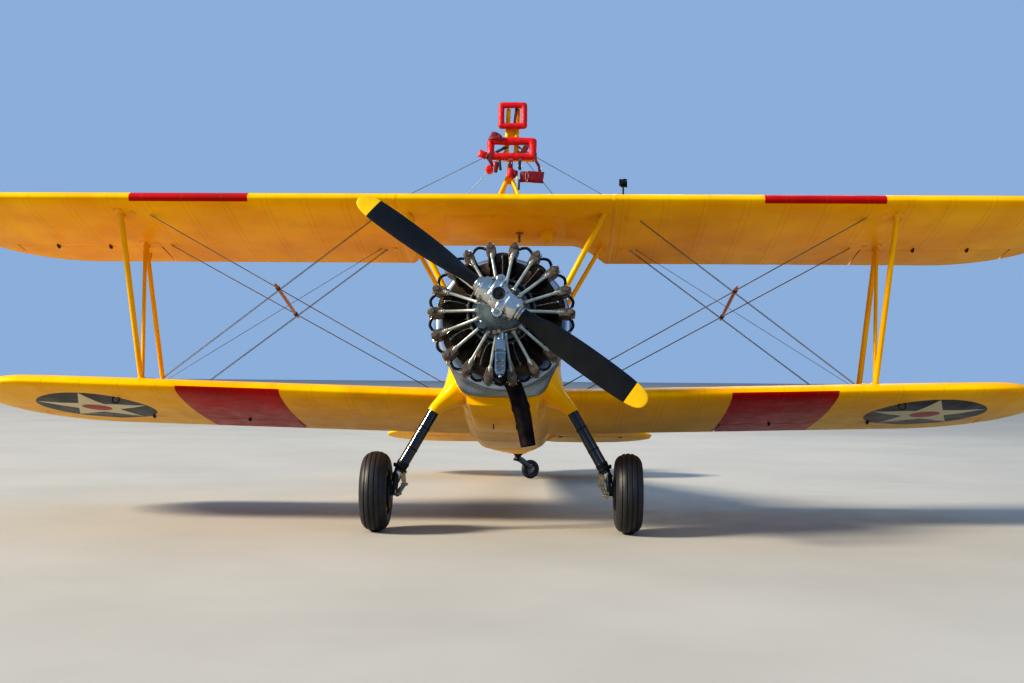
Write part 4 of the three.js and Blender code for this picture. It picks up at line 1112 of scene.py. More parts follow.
filler = lathe(
    [(0, -0.02), (0.052, -0.02), (0.052, 0.012), (0.046, 0.02), (0.02, 0.024), (0, 0.024)], 32,
    centre_point(np.array(0.3), np.array(0.38), 1), Z,
)
filler_grip = block(
    (0.07, 0.012, 0.016), centre_point(np.array(0.3), np.array(0.38), 1) + (0, 0, 0.03)
)
seams = []
for s in (1, -1):
    u = np.concatenate([eased[::-1], eased[1:]])
    side_sign = np.concatenate([-np.ones(len(eased)), np.ones(len(eased) - 1)])
    strips = []
    for x, lift in (
        (s * 0.893, -0.0012), (s * 0.906, 0.0022), (s * 0.926, 0.0022), (s * 0.939, -0.0012)
    ):
        y = CHORD * u
        z = CHORD * (mean_line(u) + side_sign * half_thickness(u)) + side_sign * lift
        out = np.where(u < 0.02, lift, 0)
        strips.append(wing_place(np.stack([np.full_like(u, x), y - out, z], -1), WINGS["upper"], 1))
    seams.append(grid(np.stack(strips, 1), around=True, ends=True))
piece(
    "centre_section_skin",
    {
        "doped fabric, no ribs": [centre_skin], "yellow enamel": [*covers, *seams, bump],
        "satin steel": screws, "brass": [gauge_body, filler, filler_grip],
        "fuel gauge amber": [gauge_glass],
    },
    "airframe", ["centre_section"],
)
print("screws round the tank covers:", len(screws))

# %% [markdown]
# ## Fuselage
#
# The body is a welded steel frame that carries sheet-metal panels in front and fabric behind,
# held out by long wooden stringers. Its sections are super-ellipses: nearly round over the deck
# and nearly square at the belly. A table along the body gives each section's width, belly,
# widest height and deck, and averaging neighbours rounds it. Behind the rear seat the skin sags
# a few millimetres between stringers, as sin^2 of the angle.

# %% The skin
HULL_TABLE = np.array([
    # station, half width, belly, widest height, deck
    (-0.15, 0.405, 0.8, 1.33, 1.76), (0.25, 0.42, 0.75, 1.4, 1.765),
    (0.75, 0.43, 0.722, 1.43, 1.765), (1.6, 0.43, 0.715, 1.44, 1.76),
    (2.5, 0.398, 0.775, 1.45, 1.75), (3.2, 0.33, 0.86, 1.45, 1.7), (4.3, 0.212, 1.005, 1.44, 1.605),
    (5.2, 0.112, 1.125, 1.43, 1.535), (5.7, 0.046, 1.19, 1.42, 1.492),
])
HULL = smooth_table(HULL_TABLE, np.linspace(-0.15, 5.7, 200), 4)
AROUND = 112
STRINGERS = 28
OVER, UNDER = 2 / 2.3, 2 / 5
FABRIC_FROM = 2.46
RING_ANGLES = 2 * np.pi * (np.arange(AROUND) + 0.5) / AROUND


def hull_rings(stations, lift=0.0, angles=RING_ANGLES):
    """Sections of the body: x = half |cos|^e, z = side + height |sin|^e, with e over and under."""
    _, half, belly, side, deck = smooth_table(HULL, np.atleast_1d(stations), 0).T[:, :, None]
    c, s = np.cos(angles)[None], np.sin(angles)[None]
    power = np.where(s > 0, OVER, UNDER)
    x = (half + lift) * np.sign(c) * np.abs(c) ** power
    z = side + np.where(
        s > 0, deck - side + lift, side - belly + lift
    ) * np.sign(s) * np.abs(s) ** power
    return np.stack(np.broadcast_arrays(x, np.reshape(stations, (-1, 1)), z), -1)


def deck_height(x, y):
    """Height of the deck over a place: side + height (1 - (|x| / half)^2.3)^(1 / 2.3)."""
    _, half, _, side, deck = smooth_table(HULL, np.atleast_1d(y), 0).T
    return side + (deck - side) * np.clip(1 - (np.abs(x) / half) ** 2.3, 0, 1) ** (1 / 2.3)


stations = np.unique(
    np.concatenate(
        [np.linspace(-0.15, FABRIC_FROM, 54), np.linspace(FABRIC_FROM, 5.7, 64)]
    ).round(5)
)
rings = hull_rings(stations)
slack = np.clip((stations - FABRIC_FROM) / 0.12, 0, 1) * np.clip((5.6 - stations) / 0.8, 0, 1)
sag = 0.0055 * np.sin(STRINGERS / 2 * RING_ANGLES) ** 2
outwards = unit((rings - rings.mean(1, keepdims=True)) * (1, 0, 1))
rings = rings - outwards * (slack[:, None] * sag[None])[..., None]
split = int(np.searchsorted(stations, FABRIC_FROM))
front_skin = grid(rings[:split + 1], around=True, ends="first")
rear_skin = grid(rings[split:], around=True, ends="last")

# %% [markdown]
# Each cockpit is an opening with rounded corners, cut straight down to the floor by a Boolean
# modifier. The cut walls are painted with green primer. A leather roll is laced round the rim,
# so its path is the same rounded outline, lifted onto the deck.

# %% Cockpit openings and their rims
COCKPITS = {"front": (0.82, 1.43), "rear": (1.79, 2.42)}
WELL_HALF, WELL_RADIUS, FLOOR = 0.285, 0.15, 0.96


def well_outline(start, end, inset=0.0, steps=10):
    """A rounded rectangle, corner by corner."""
    half, radius = WELL_HALF - inset, WELL_RADIUS - inset
    arcs = []
    for side, y, first in (
        (1, end - inset, 0), (-1, end - inset, 90), (-1, start + inset, 180),
        (1, start + inset, 270),
    ):
        a = np.radians(first + np.linspace(0, 90, steps))
        inward = -radius if y > (start + end) / 2 else radius
        arcs.append(
            np.stack(
                [side * (half - radius) + radius * np.cos(a), y + inward + radius * np.sin(a)], -1
            )
        )
    return np.concatenate(arcs)


wells, rims, laces = [], [], []
for start, end in COCKPITS.values():
    outline = well_outline(start, end)
    wells.append(
        grid(
            np.stack([np.column_stack([outline, np.full(len(outline), z)]) for z in (FLOOR, 2.2)]),
            around=True, ends=True,
        )
    )
    dense = spline(outline, 4, closed=True)
    path = np.column_stack([dense, deck_height(dense[:, 0], dense[:, 1]) + 0.004])
    ripple = 1 + 0.035 * np.sin(2 * np.pi * np.arange(len(path)) / 5)
    rims.append(sweep(path, oval(0.046, 0.04, 16), Z, closed=True, scale=ripple))
    outwards = unit((path - path.mean(0)) * (1, 1, 0))
    laces.append(
        sweep(path + outwards * 0.0215 - (0, 0, 0.004), oval(0.007, 0.007, 8), Z, closed=True)
    )
hull_skin = mesh_object(
    "fuselage_skin", {"yellow enamel": [front_skin], "doped fabric, no ribs": [rear_skin]}
)
carve(hull_skin, {"cockpit green primer": wells})
finished(hull_skin, "airframe", ["fuselage"])
piece("cockpit_rims", {"brown leather": [*rims, *laces]}, "airframe")
print("sections along the body:", len(stations))

# %% [markdown]
# Sheet-metal panels overlap in a joint strip with a row of round-headed screws. A strip follows
# the same section formula, lifted by two millimetres. Under the nose hangs a boxy panel with
# square corners, which closes the oil tank's bay; its front is cut off by the cowl.

# %% Panel joints, screws and the belly fairing
def hull_band(station, wide, lift):
    """A raised strip right round the body."""
    places = ((-wide / 2, -0.002), (-wide / 2, lift), (wide / 2, lift), (wide / 2, -0.002))
    rows = [hull_rings(station + along, up)[0] for along, up in places]
    return grid(np.stack(rows, 1), around=True, ring=True)


def hull_strip(degrees, start, end, wide, lift, steps=60):
    """A raised strip along the body at one angle."""
    y = np.linspace(start, end, steps)
    angle = math.radians(degrees)
    sides = ((-wide, -0.002), (-wide, lift), (wide, lift), (wide, -0.002))
    edges = [hull_rings(y, up, np.array([angle + turned]))[:, 0] for turned, up in sides]
    return grid(np.stack(edges, 1), around=True, ends=True)


def hull_screws(station, count):
    """Round-headed screws round one joint."""
    angles = 2 * np.pi * (np.arange(count) + 0.5) / count
    places = hull_rings(station, 0.0012, angles)[0]
    centre = places.mean(0)
    head = [(0, -0.001), (0.0055, -0.001), (0.005, 0.001), (0, 0.0018)]
    return [lathe(head, 7, spot, unit(spot - centre)) for spot in places]


JOINTS_AT = (-0.13, 0.22, 0.62, 1.61)
bands = [hull_band(y, 0.03, 0.0018) for y in JOINTS_AT]
bands.append(hull_band(FABRIC_FROM, 0.045, 0.0018))
strips = [hull_strip(a, -0.14, FABRIC_FROM, 0.018, 0.0016) for a in (-4, 184, 228, 312)]
tapes = [hull_strip(a, FABRIC_FROM, 5.6, 0.025, 0.0012) for a in (0, 180, 270)]
screws = sum((hull_screws(y, 44) for y in JOINTS_AT), [])
drain_path = [(0.1, 0.5, 0.76), (0.1, 0.5, 0.68), (0.1, 0.56, 0.66)]
drains = [
    sweep(spline(drain_path, 5), oval(0.014, 0.014, 10), X),
    mirrored(sweep(spline(drain_path, 5), oval(0.01, 0.01, 10), X), -1),
]
steps_on_side = []
for _, sign in SIDES:
    for y, z in ((1.62, 0.93), (2.5, 1.0)):
        hull_x = float(hull_rings(y)[0, :, 0].max())
        corners = [
            (hull_x - 0.03, y - 0.09, z), (hull_x + 0.055, y - 0.085, z - 0.01),
            (hull_x + 0.055, y + 0.085, z - 0.01), (hull_x - 0.03, y + 0.09, z),
        ]
        steps_on_side.append(mirrored(sweep(spline(corners, 6), oval(0.02, 0.02, 10), Z), sign))
piece(
    "fuselage_panel_joints",
    {
        "yellow enamel": [*bands, *strips], "doped fabric, no ribs": tapes, "satin steel": screws,
        "black enamel": [*drains, *steps_on_side],
    },
    "airframe",
)


def belly_box():
    """A box with rounded lower corners that fades into the belly behind: depth falls as 1 - t^2."""
    t = np.linspace(0, 1, 26)
    y = -0.12 + 1.22 * t
    deep = 0.055 * (1 - t**2) ** 0.8 + 0.001
    across = oval(1, 1, 40, 7.0)
    half = 0.30 - 0.03 * t
    belly = smooth_table(HULL, y, 0)[:, 2]
    x = across[None, :, 0] * 2 * half[:, None]
    z = belly[:, None] + 0.06 + across[None, :, 1] * 2 * (0.06 + deep[:, None])
    return grid(np.stack(np.broadcast_arrays(x, y[:, None], z), -1), around=True, ends=True)


piece("belly_fairing", {"yellow enamel": [belly_box()]}, "airframe")

# %% [markdown]
# ## Accessory cowl
#
# Behind the engine, a spun aluminium cowl covers the magnetos and oil lines. It is left bare, and
# the blue-grey of its colour is a painted reflection of blue sky. It is a turned profile in front
# that blends into the body's section behind. Two hinged doors are held by clips, and a firewall
# flange with rivets closes it.

# %% Cowl, doors and clips
COWL_TABLE = np.array([
    # station, radius
    (-0.372, 0.45), (-0.372, 0.5), (-0.368, 0.528), (-0.36, 0.5445), (-0.345, 0.552),
    (-0.33, 0.5545), (-0.27, 0.5465),
])


def cowl_rings(lift=0.0, angles=RING_ANGLES):
    """Circles about the thrust line, then an eased mix with the body's section: 3t^2 - 2t^3."""
    spokes = np.stack([np.cos(angles), np.zeros_like(angles), np.sin(angles)], -1)
    front = spokes[None] * (COWL_TABLE[:, 1:, None] + lift) + np.array([0, 0, THRUST])
    front[..., 1] = COWL_TABLE[:, :1]
    t = np.linspace(0, 1, 12)[1:, None, None]
    share = 3 * t**2 - 2 * t**3
    body = hull_rings(-0.15035, lift, angles)
    back = front[-1:] * (1 - share) + body * share
    back[..., 1] = (-0.27 + t[..., 0] * (0.27 - 0.15035))
    return np.concatenate([front, back])


rings = cowl_rings()
dish_profile = [(0.45, -0.372), (0.40, -0.36), (0.34, -0.352), (0.10, -0.35), (0.02, -0.35)]
dish = lathe(dish_profile[::-1], 96, (0, 0, THRUST))
cowl = grid(rings, around=True, ends="last")
flange = lathe(
    [(0.553, -0.338), (0.5575, -0.338), (0.5585, -0.331), (0.5575, -0.324), (0.552, -0.324)], 112,
    (0, 0, THRUST), closed=True,
)
seams = []
for degrees in (0, 180, 58, 122, 238, 302):
    sides = [
        cowl_rings(up, np.array([math.radians(degrees) + turned]))[4:, 0]
        for turned, up in ((-0.012, -0.002), (-0.012, 0.0016), (0.012, 0.0016), (0.012, -0.002))
    ]
    seams.append(grid(np.stack(sides, 1), around=True, ends=True))
clips = []
for degrees in (14, 46, 134, 166, 214, 326):
    ring = cowl_rings(0.004, np.array([math.radians(degrees)]))[8, 0]
    outward = unit((ring - (0, ring[1], THRUST)))
    across = np.cross(Y, outward)
    clips.append(block((0.034, 0.062, 0.01), ring, (across, Y, outward)))
    clips.append(
        lathe(
            [(0, 0), (0.009, 0), (0.009, 0.007), (0.006, 0.01), (0, 0.01)], 12,
            ring + outward * 0.003, outward,
        )
    )
rivets = [
    lathe(
        [(0, -0.001), (0.0045, -0.001), (0.004, 0.0012), (0, 0.002)], 7,
        (0.5555 * math.cos(a), -0.305, THRUST + 0.5555 * math.sin(a)),
        np.array([math.cos(a), 0, math.sin(a)]),
    )
    for a in 2 * np.pi * (np.arange(64) + 0.5) / 64
]
louvres = []
for _, sign in SIDES:
    for k in range(5):
        angle = math.radians((8 if sign > 0 else 172) - sign * (-6 + 6 * k) * 0.9 - sign * 14)
        spot = cowl_rings(0.0, np.array([angle]))[11, 0]
        outward = unit(spot - (0, spot[1], THRUST))
        across = np.cross(Y, outward)
        hood = oval(0.012, 0.014, 12)
        path = spot + np.linspace(-0.028, 0.028, 9)[:, None] * Y
        louvres.append(
            sweep(
                path, hood, across, scale=np.sqrt(np.clip(1 - np.linspace(-1, 1, 9) ** 2, 0.02, 1))
            )
        )
piece(
    "accessory_cowl_skin",
    {
        "spun aluminium": [cowl, flange, *seams, *louvres], "engine grey enamel": [dish],
        "satin steel": [*clips, *rivets],
    },
    "airframe", ["accessory_cowl"], bevel=0.0008,
)

# %% [markdown]
# ## The radial engine
#
# Nine air-cooled cylinders stand round one crankcase. A cylinder is an iron barrel with thin
# fins turned into it, under a cast head with deeper fins and two rocker boxes. It is drawn once,
# standing up on the thrust line, and copied by turning it about that line. The fins are one
# profile that steps in and out, carried round a section that is round at the barrel and nearer
# to a square at the head.

# %% One cylinder's barrel and head
ROCKER_PLANE = -0.61
ENGINE_CENTRE = np.array([0.0, ROCKER_PLANE, THRUST])
STATIONS = 2 * np.pi * np.arange(9) / 9
ROCKER_ANGLE = math.radians(10)
FIN_STEP, FIN_THICK = 0.0088, 0.0028


def finned(low, high, core, fin, squareness, sides=36):
    """Fins on a core: the radius steps between core and fin.

    The section is r (|cos|^p + |sin|^p)^(-1/p), with p the squareness.
    """
    steps = np.arange(low, high - FIN_THICK, FIN_STEP)
    heights = (steps[:, None] + (0, 0.0012, FIN_THICK, FIN_THICK + 0.0008)).ravel()
    radii = np.tile([core, fin, fin, core], len(steps))
    angles = 2 * np.pi * np.arange(sides) / sides
    spread = (
        np.abs(np.cos(angles)) ** squareness + np.abs(np.sin(angles)) ** squareness
    ) ** (-1 / squareness)
    ring = np.stack([np.cos(angles) * spread, np.sin(angles) * spread, np.zeros(sides)], -1)
    points = ring[None] * radii[:, None, None] + heights[:, None, None] * Z
    return grid(points, around=True, ends=True)


def bolt(place, axis, size, tall, sides=6):
    """A hexagon head with a washer face under it."""
    rows = [
        (0, 0), (size * 1.15, 0), (size * 1.15, tall * 0.25), (size, tall * 0.3),
        (size, tall * 0.9), (size * 0.8, tall), (0, tall),
    ]
    return lathe(rows, sides, place, unit(np.asarray(axis, float)))


barrel = finned(0.238, 0.405, 0.076, 0.1, 2)
head = finned(0.405, 0.468, 0.09, 0.113, 2.7, 40)
dome = lathe(
    [
        (0.0, 0.15), (0.074, 0.15), (0.076, 0.25), (0.092, 0.462), (0.088, 0.478), (0.06, 0.498),
        (0.0, 0.504),
    ],
    32, axis=Z,
)
foot = lathe(
    [(0.0, 0.196), (0.1, 0.196), (0.1, 0.213), (0.079, 0.216), (0.079, 0.24), (0.0, 0.24)], 32,
    axis=Z,
)
nut_angles = 2 * np.pi * (np.arange(14) + 0.5) / 14
foot_nuts = [
    bolt((0.09 * math.cos(a), 0.09 * math.sin(a), 0.213), Z, 0.0065, 0.009) for a in nut_angles
]
crown_plates = []
for x in np.linspace(-0.034, 0.034, 6):
    y = np.linspace(-0.1, 0.1, 15)
    top = 0.466 + 0.046 * np.sqrt(np.clip(1 - (y / 0.102) ** 2, 0, 1)) * (1 - (x / 0.09) ** 2)
    outline = np.concatenate([np.stack([y, top], -1), [(0.1, 0.455), (-0.1, 0.455)]])
    crown_plates.append(slab(outline, 0.0032, (x, 0, 0), Y, Z))
ports = [
    sweep(
        spline([(0.045 * s, 0.06, 0.47), (0.05 * s, 0.105, 0.455), (0.052 * s, 0.13, 0.435)], 5),
        oval(0.062, 0.07, 16), X,
    )
    for s in (1, -1)
]
print("fins on a barrel:", len(np.arange(0.238, 0.405, FIN_STEP)))

# %% [markdown]
# The rocker boxes are small cast houses that point outwards, tilted ten degrees to each side.
# Each has a cover with a rim and four nuts, a gland where the pushrod tube enters, and spigots
# for the rubber hoses that drain oil from one cylinder's box to its neighbour's.

# %% Rocker boxes, pushrod tubes, plugs
ROCKER_OUTLINE = np.array([
    (-0.03, 0.452), (0.03, 0.452), (0.035, 0.5), (0.037, 0.534), (0.031, 0.552), (0.009, 0.5825),
    (-0.009, 0.5825), (-0.031, 0.552), (-0.037, 0.534), (-0.035, 0.5),
])


def tilted(shape, angle):
    """A shape leaned about the thrust line."""
    return moved(shape, lambda p: turn(p, Y, angle))


def rocker_box(side):
    """One rocker box with its cover, nuts, gland and spigots, leaned to its side."""
    y = np.array([-0.114, -0.108, -0.1, 0.018, 0.026, 0.032])
    size = np.array([0.86, 0.95, 1.0, 1.0, 0.95, 0.86])
    middle = np.array([0, 0.532])
    rings = (ROCKER_OUTLINE - middle)[None] * size[:, None, None] + middle
    points = np.stack(
        [rings[..., 0], np.broadcast_to(y[:, None], rings.shape[:2]), rings[..., 1]], -1
    )
    body = grid(points, around=True, ends=True)
    rim = slab((ROCKER_OUTLINE[2:] - middle) * (1.1, 1.0) + middle, 0.008, (0, -0.072, 0), X, Z)
    band = slab((ROCKER_OUTLINE[2:] - middle) * (1.1, 1.0) + middle, 0.006, (0, 0.004, 0), X, Z)
    nuts = [
        bolt((x, y_at, 0.5725), unit(np.array([x * 1.2, 0, 0.03])), 0.0055, 0.008)
        for x in (-0.024, 0.024)
        for y_at in (-0.058, -0.012)
    ]
    cap = lathe(
        [(0, -0.124), (0.017, -0.124), (0.02, -0.12), (0.02, -0.108), (0, -0.108)], 14,
        (0, 0, 0.545),
    )
    spigot = rod((side * 0.026, -0.045, 0.545), (side * 0.052, -0.045, 0.553), 0.0085, 12)
    return [
        tilted(shape, side * ROCKER_ANGLE) for shape in (body, rim, band, cap)
    ], [tilted(s, side * ROCKER_ANGLE) for s in (*nuts, spigot)]


def pushrod_tube(side):
    """A thin tube from the crankcase to the rocker box, with a nut and a hose joint at its ends."""
    foot_at, top_at = np.array([0, -0.142, 0.196]), np.array([0, -0.096, 0.497])
    along = unit(top_at - foot_at)
    length = float(np.linalg.norm(top_at - foot_at))
    rows = [
        (0.0, -0.012), (0.019, -0.012), (0.019, 0.008), (0.017, 0.014), (0.0138, 0.018),
        (0.0132, length - 0.056), (0.0178, length - 0.054), (0.0188, length - 0.03),
        (0.0178, length - 0.006), (0.0, length + 0.004),
    ]
    clip = lathe(
        [
            (0.0192, length - 0.04), (0.0206, length - 0.038), (0.0206, length - 0.034),
            (0.0192, length - 0.032),
        ],
        16, foot_at, along, closed=True,
    )
    nut = lathe(
        [(0.0, -0.008), (0.021, -0.008), (0.022, -0.004), (0.022, 0.002), (0.0, 0.002)], 6, foot_at,
        along,
    )
    tube, clip, nut = (
        tilted(s, side * ROCKER_ANGLE) for s in (lathe(rows, 16, foot_at, along), clip, nut)
    )
    return [tube], [clip, nut]


def spark_plug(ahead):
    """A plug and its elbow on the front or the rear of the head."""
    seat = np.array([0.0, -0.085 * ahead, 0.43])
    out = unit(np.array([0.0, -0.8 * ahead, 0.6]))
    shell = lathe(
        [
            (0, -0.01), (0.0125, -0.01), (0.0125, 0.006), (0.0095, 0.008), (0.0095, 0.04),
            (0.0, 0.04),
        ],
        6, seat, out,
    )
    return shell, seat + out * 0.036


boxes, fastenings = zip(*(rocker_box(side) for side in (1, -1)))
tubes, tube_ends = zip(*(pushrod_tube(side) for side in (1, -1)))
plugs = [spark_plug(1), spark_plug(-1)]
print("rocker box faces:", sum(len(b) for b in boxes[0][0]["faces"]))

# %% [markdown]
# Around the cylinders run the parts that join them: an ignition ring behind the front flange with
# a braided lead to each front plug, drain hoses that bulge outwards between neighbouring rocker
# boxes, thin primer lines, sheet-metal baffles, and the intake pipes behind.

# %% Hoses, leads, baffles and intake pipes
IGNITION = {"radius": 0.262, "y": -0.115, "tube": 0.0125}


def around_engine(shapes, angles=STATIONS):
    """Copies at every cylinder, moved to the engine's place."""
    return [
        moved(copies(shape, angles, Y, (0, 0, 0)), lambda p: p + ENGINE_CENTRE) for shape in shapes
    ]


def polar(angle, radius, y):
    """A place round the thrust line, angle counted from straight up towards +X."""
    return np.array([radius * math.sin(angle), y, radius * math.cos(angle)])


gap_angle = STATIONS[1]
HOSES = np.concatenate([STATIONS, STATIONS[:-1] + gap_angle / 2])
hose_ends = ROCKER_ANGLE + math.radians(4.6), gap_angle - ROCKER_ANGLE - math.radians(4.6)
hose = sweep(
    spline(
        [
            polar(hose_ends[0] - 0.01, 0.545, -0.045), polar(hose_ends[0] + 0.035, 0.563, -0.045),
            polar(gap_angle / 2, 0.5735, -0.048), polar(hose_ends[1] - 0.035, 0.563, -0.045),
            polar(hose_ends[1] + 0.01, 0.545, -0.045),
        ],
        6,
    ),
    oval(0.0225, 0.0225, 12), Y,
)
hose_clamps = [
    rod(polar(a, 0.5525, -0.045), polar(a + step, 0.556, -0.045), 0.0115, 12)
    for a, step in ((hose_ends[0], 0.012), (hose_ends[1], -0.012))
]
ring_angles = 2 * np.pi * np.arange(72) / 72
ring_path = np.stack(
    [
        IGNITION["radius"] * np.sin(ring_angles), np.full(72, IGNITION["y"]),
        IGNITION["radius"] * np.cos(ring_angles),
    ],
    -1,
)
ignition_ring = sweep(
    ring_path, oval(2 * IGNITION["tube"], 2 * IGNITION["tube"], 12), Y, closed=True
)
lead_start = polar(0.0, IGNITION["radius"] + 0.008, IGNITION["y"])
front_lead = sweep(
    spline(
        [
            lead_start, polar(0.02, 0.32, -0.13), polar(0.015, 0.40, -0.136),
            plugs[0][1] + (0, -0.004, 0.0), plugs[0][1] + (0, 0.012, 0.004),
        ],
        6,
    ),
    oval(0.0098, 0.0098, 10), X,
)
rear_lead = sweep(
    spline(
        [
            polar(0.30, IGNITION["radius"], IGNITION["y"]), polar(0.33, 0.31, -0.06),
            polar(0.335, 0.37, 0.06), polar(0.2, 0.44, 0.13), plugs[1][1],
        ],
        6,
    ),
    oval(0.0098, 0.0098, 10), X,
)
lead_nuts = [
    bolt(polar(0.0, IGNITION["radius"] + 0.006, IGNITION["y"]), Z, 0.0085, 0.016),
    rod(plugs[0][1] + (0, -0.01, -0.004), plugs[0][1] + (0, 0.016, 0.005), 0.009, 10),
]
primer = sweep(
    spline(
        [
            polar(0.12, 0.25, -0.02), polar(0.155, 0.32, -0.1), polar(0.14, 0.42, -0.118),
            polar(0.11, 0.47, -0.1), polar(0.09, 0.478, -0.06),
        ],
        6,
    ),
    oval(0.0062, 0.0062, 8), X,
)
baffle_angles = np.linspace(0.125, gap_angle - 0.125, 9)
baffle_bow = 0.05 * np.sin(
    np.pi * (baffle_angles - baffle_angles[0]) / (baffle_angles[-1] - baffle_angles[0])
)
baffle = grid(
    np.stack(
        [
            np.stack([polar(a, r, 0.058 + bow * 0.9) for a, bow in zip(baffle_angles, baffle_bow)])
            for r in (0.235, 0.3, 0.37, 0.43, 0.478, 0.48, 0.432, 0.372, 0.302, 0.237)
        ]
    ) + np.repeat([0, 0, 0, 0, 0, 0.0022, 0.0022, 0.0022, 0.0022, 0.0022], 9).reshape(10, 9, 1) * Y,
    ring=True,
)
intake = sweep(
    spline(
        [
            polar(0.06, 0.23, 0.16), polar(0.08, 0.31, 0.175), polar(0.1, 0.4, 0.155),
            polar(0.11, 0.444, 0.118),
        ],
        6,
    ),
    oval(0.056, 0.056, 16), X,
)
piece(
    "engine_cylinder_set",
    {
        "cylinder iron, heated": around_engine([barrel, head, *crown_plates]),
        "cylinder head bronze": around_engine([dome, foot, *ports]),
        "rocker box enamel": around_engine([*boxes[0], *boxes[1]]),
        "cadmium plate": around_engine([*fastenings[0], *fastenings[1], *foot_nuts]),
    },
    "airframe", ["engine_cylinders"], crease=32,
)
piece(
    "engine_pushrod_tubes",
    {
        "pushrod tube enamel": around_engine([*tubes[0], *tubes[1]]),
        "cadmium plate": around_engine([*tube_ends[0], *tube_ends[1]]),
    },
    "airframe",
)
piece(
    "engine_hoses_and_leads",
    {
        "black rubber": around_engine([hose], HOSES),
        "satin steel": around_engine(hose_clamps, HOSES) + around_engine(
            [plugs[0][0], plugs[1][0], *lead_nuts]
        ),
        "braided shield": around_engine([front_lead, rear_lead]) + [
            moved(ignition_ring, lambda p: p + ENGINE_CENTRE)
        ],
        "cadmium plate": around_engine([primer]),
    },
    "airframe",
)
piece(
    "engine_baffles_and_intakes",
    {"cylinder iron, heated": around_engine([baffle]), "black enamel": around_engine([intake])},
    "airframe",
)
print("engine triangles so far:", sum(TRIANGLES.values()))

# %% [markdown]
# The crankcase is a cast drum with the propeller shaft's housing in front. A bolted flange joins
# the two, and at the bottom the oil sump hangs between the two lowest cylinders. The casting is
# sprayed in a thin blue-grey engine enamel with a soft shine.

# %% Crankcase, nose case and sump
CASE_ROWS = [
    (0.0, -0.094), (0.205, -0.094), (0.212, -0.088), (0.205, -0.08), (0.203, 0.09), (0.24, 0.118),
    (0.25, 0.13), (0.25, 0.2376), (0.0, 0.2376),
]
NOSE_ROWS = [
    (0.0, -0.3935), (0.062, -0.3935), (0.0635, -0.36), (0.078, -0.352), (0.084, -0.338),
    (0.084, -0.325), (0.092, -0.318), (0.106, -0.3), (0.126, -0.276), (0.15, -0.243),
    (0.172, -0.205), (0.188, -0.17), (0.197, -0.14), (0.2, -0.121), (0.229, -0.118),
    (0.232, -0.112), (0.232, -0.099), (0.229, -0.0945), (0.0, -0.0945),
]
drum = lathe(CASE_ROWS, 72)
nose = lathe(NOSE_ROWS, 72)
flange_bolts = [
    bolt(polar(a, 0.2155, -0.1175), -Y, 0.0072, 0.011)
    for a in 2 * np.pi * (np.arange(27) + 0.5) / 27
]
thrust_bolts = [
    bolt(polar(a, 0.0735, -0.351), -Y, 0.0052, 0.009) for a in 2 * np.pi * np.arange(10) / 10
]
rib = [
    (0.086, -0.325), (0.133, -0.266), (0.18, -0.19), (0.2, -0.135), (0.187, -0.135), (0.164, -0.19),
    (0.116, -0.266), (0.08, -0.3),
]
case_ribs = copies(
    slab(rib, 0.009, (0, 0, 0), X, Y), 2 * np.pi * np.arange(9) / 9 + 0.35, Y, (0, 0, 0)
)
pad = lathe([(0.0, 0.148), (0.105, 0.148), (0.106, 0.196), (0.1, 0.199), (0.0, 0.199)], 32, axis=Z)
sump_outline = np.array(
    [
        (-0.037, -0.24), (0.037, -0.24), (0.041, -0.33), (0.041, -0.49), (0.03, -0.513),
        (-0.03, -0.513), (-0.041, -0.49), (-0.041, -0.33),
    ]
)
sump = slab(sump_outline, 0.07, (0, -0.15, 0), X, Z)
sump_neck = sweep(
    spline([(0, -0.15, -0.12), (0, -0.152, -0.19), (0, -0.15, -0.27)], 5), oval(0.066, 0.062, 18), Y
)
sump_lid = slab((sump_outline + (0, 0.415)) * (0.72, 0.5) + (0, -0.44), 0.008, (0, -0.189, 0), X, Z)
sump_band = slab(
    [(-0.046, -0.318), (0.046, -0.318), (0.046, -0.338), (-0.046, -0.338)], 0.08, (0, -0.15, 0), X,
    Z,
)
sump_bolts = [
    bolt((x, -0.192, z), -Y, 0.006, 0.008) for x in (-0.025, 0.025) for z in (-0.41, -0.455, -0.49)
]
sump_bolts += [bolt((x, -0.191, -0.328), -Y, 0.006, 0.007) for x in (-0.034, 0.034)]
drain = lathe(
    [(0, -0.535), (0.014, -0.535), (0.014, -0.521), (0.02, -0.519), (0.02, -0.511), (0, -0.511)],
    12, (0, -0.15, 0), Z,
)
oil_valve = [
    rod((-0.052, -0.195, -0.196), (0.125, -0.19, -0.15), 0.008, 12),
    lathe(
        [(0, -0.215), (0.016, -0.215), (0.019, -0.21), (0.019, -0.16), (0, -0.16)], 16,
        (-0.045, 0, -0.19),
    ),
    block((0.03, 0.05, 0.042), (-0.012, -0.19, -0.172)),
    rod((0.1, -0.19, -0.157), (0.1, -0.15, -0.157), 0.012, 12),
]
oil_pipe = sweep(
    spline(
        [
            (0.118, -0.19, -0.152), (0.15, -0.185, -0.13), (0.176, -0.165, -0.1),
            (0.186, -0.14, -0.07),
        ],
        6,
    ),
    oval(0.009, 0.009, 8), Z,
)
distributor = [
    lathe(
        [(0, -0.19), (0.03, -0.19), (0.036, -0.186), (0.036, -0.13), (0, -0.13)], 20,
        (-0.125, 0, -0.108),
    ),
    block((0.06, 0.036, 0.05), (-0.148, -0.17, -0.13)),
]
cylinder_pads = copies(pad, STATIONS, Y, (0, 0, 0))
case_shapes = [drum, nose, case_ribs, sump_lid, sump_band, *distributor, cylinder_pads]


def at_engine(shapes):
    """Shapes drawn about the thrust line, moved to the engine's place."""
    return [moved(shape, lambda p: p + ENGINE_CENTRE) for shape in shapes]


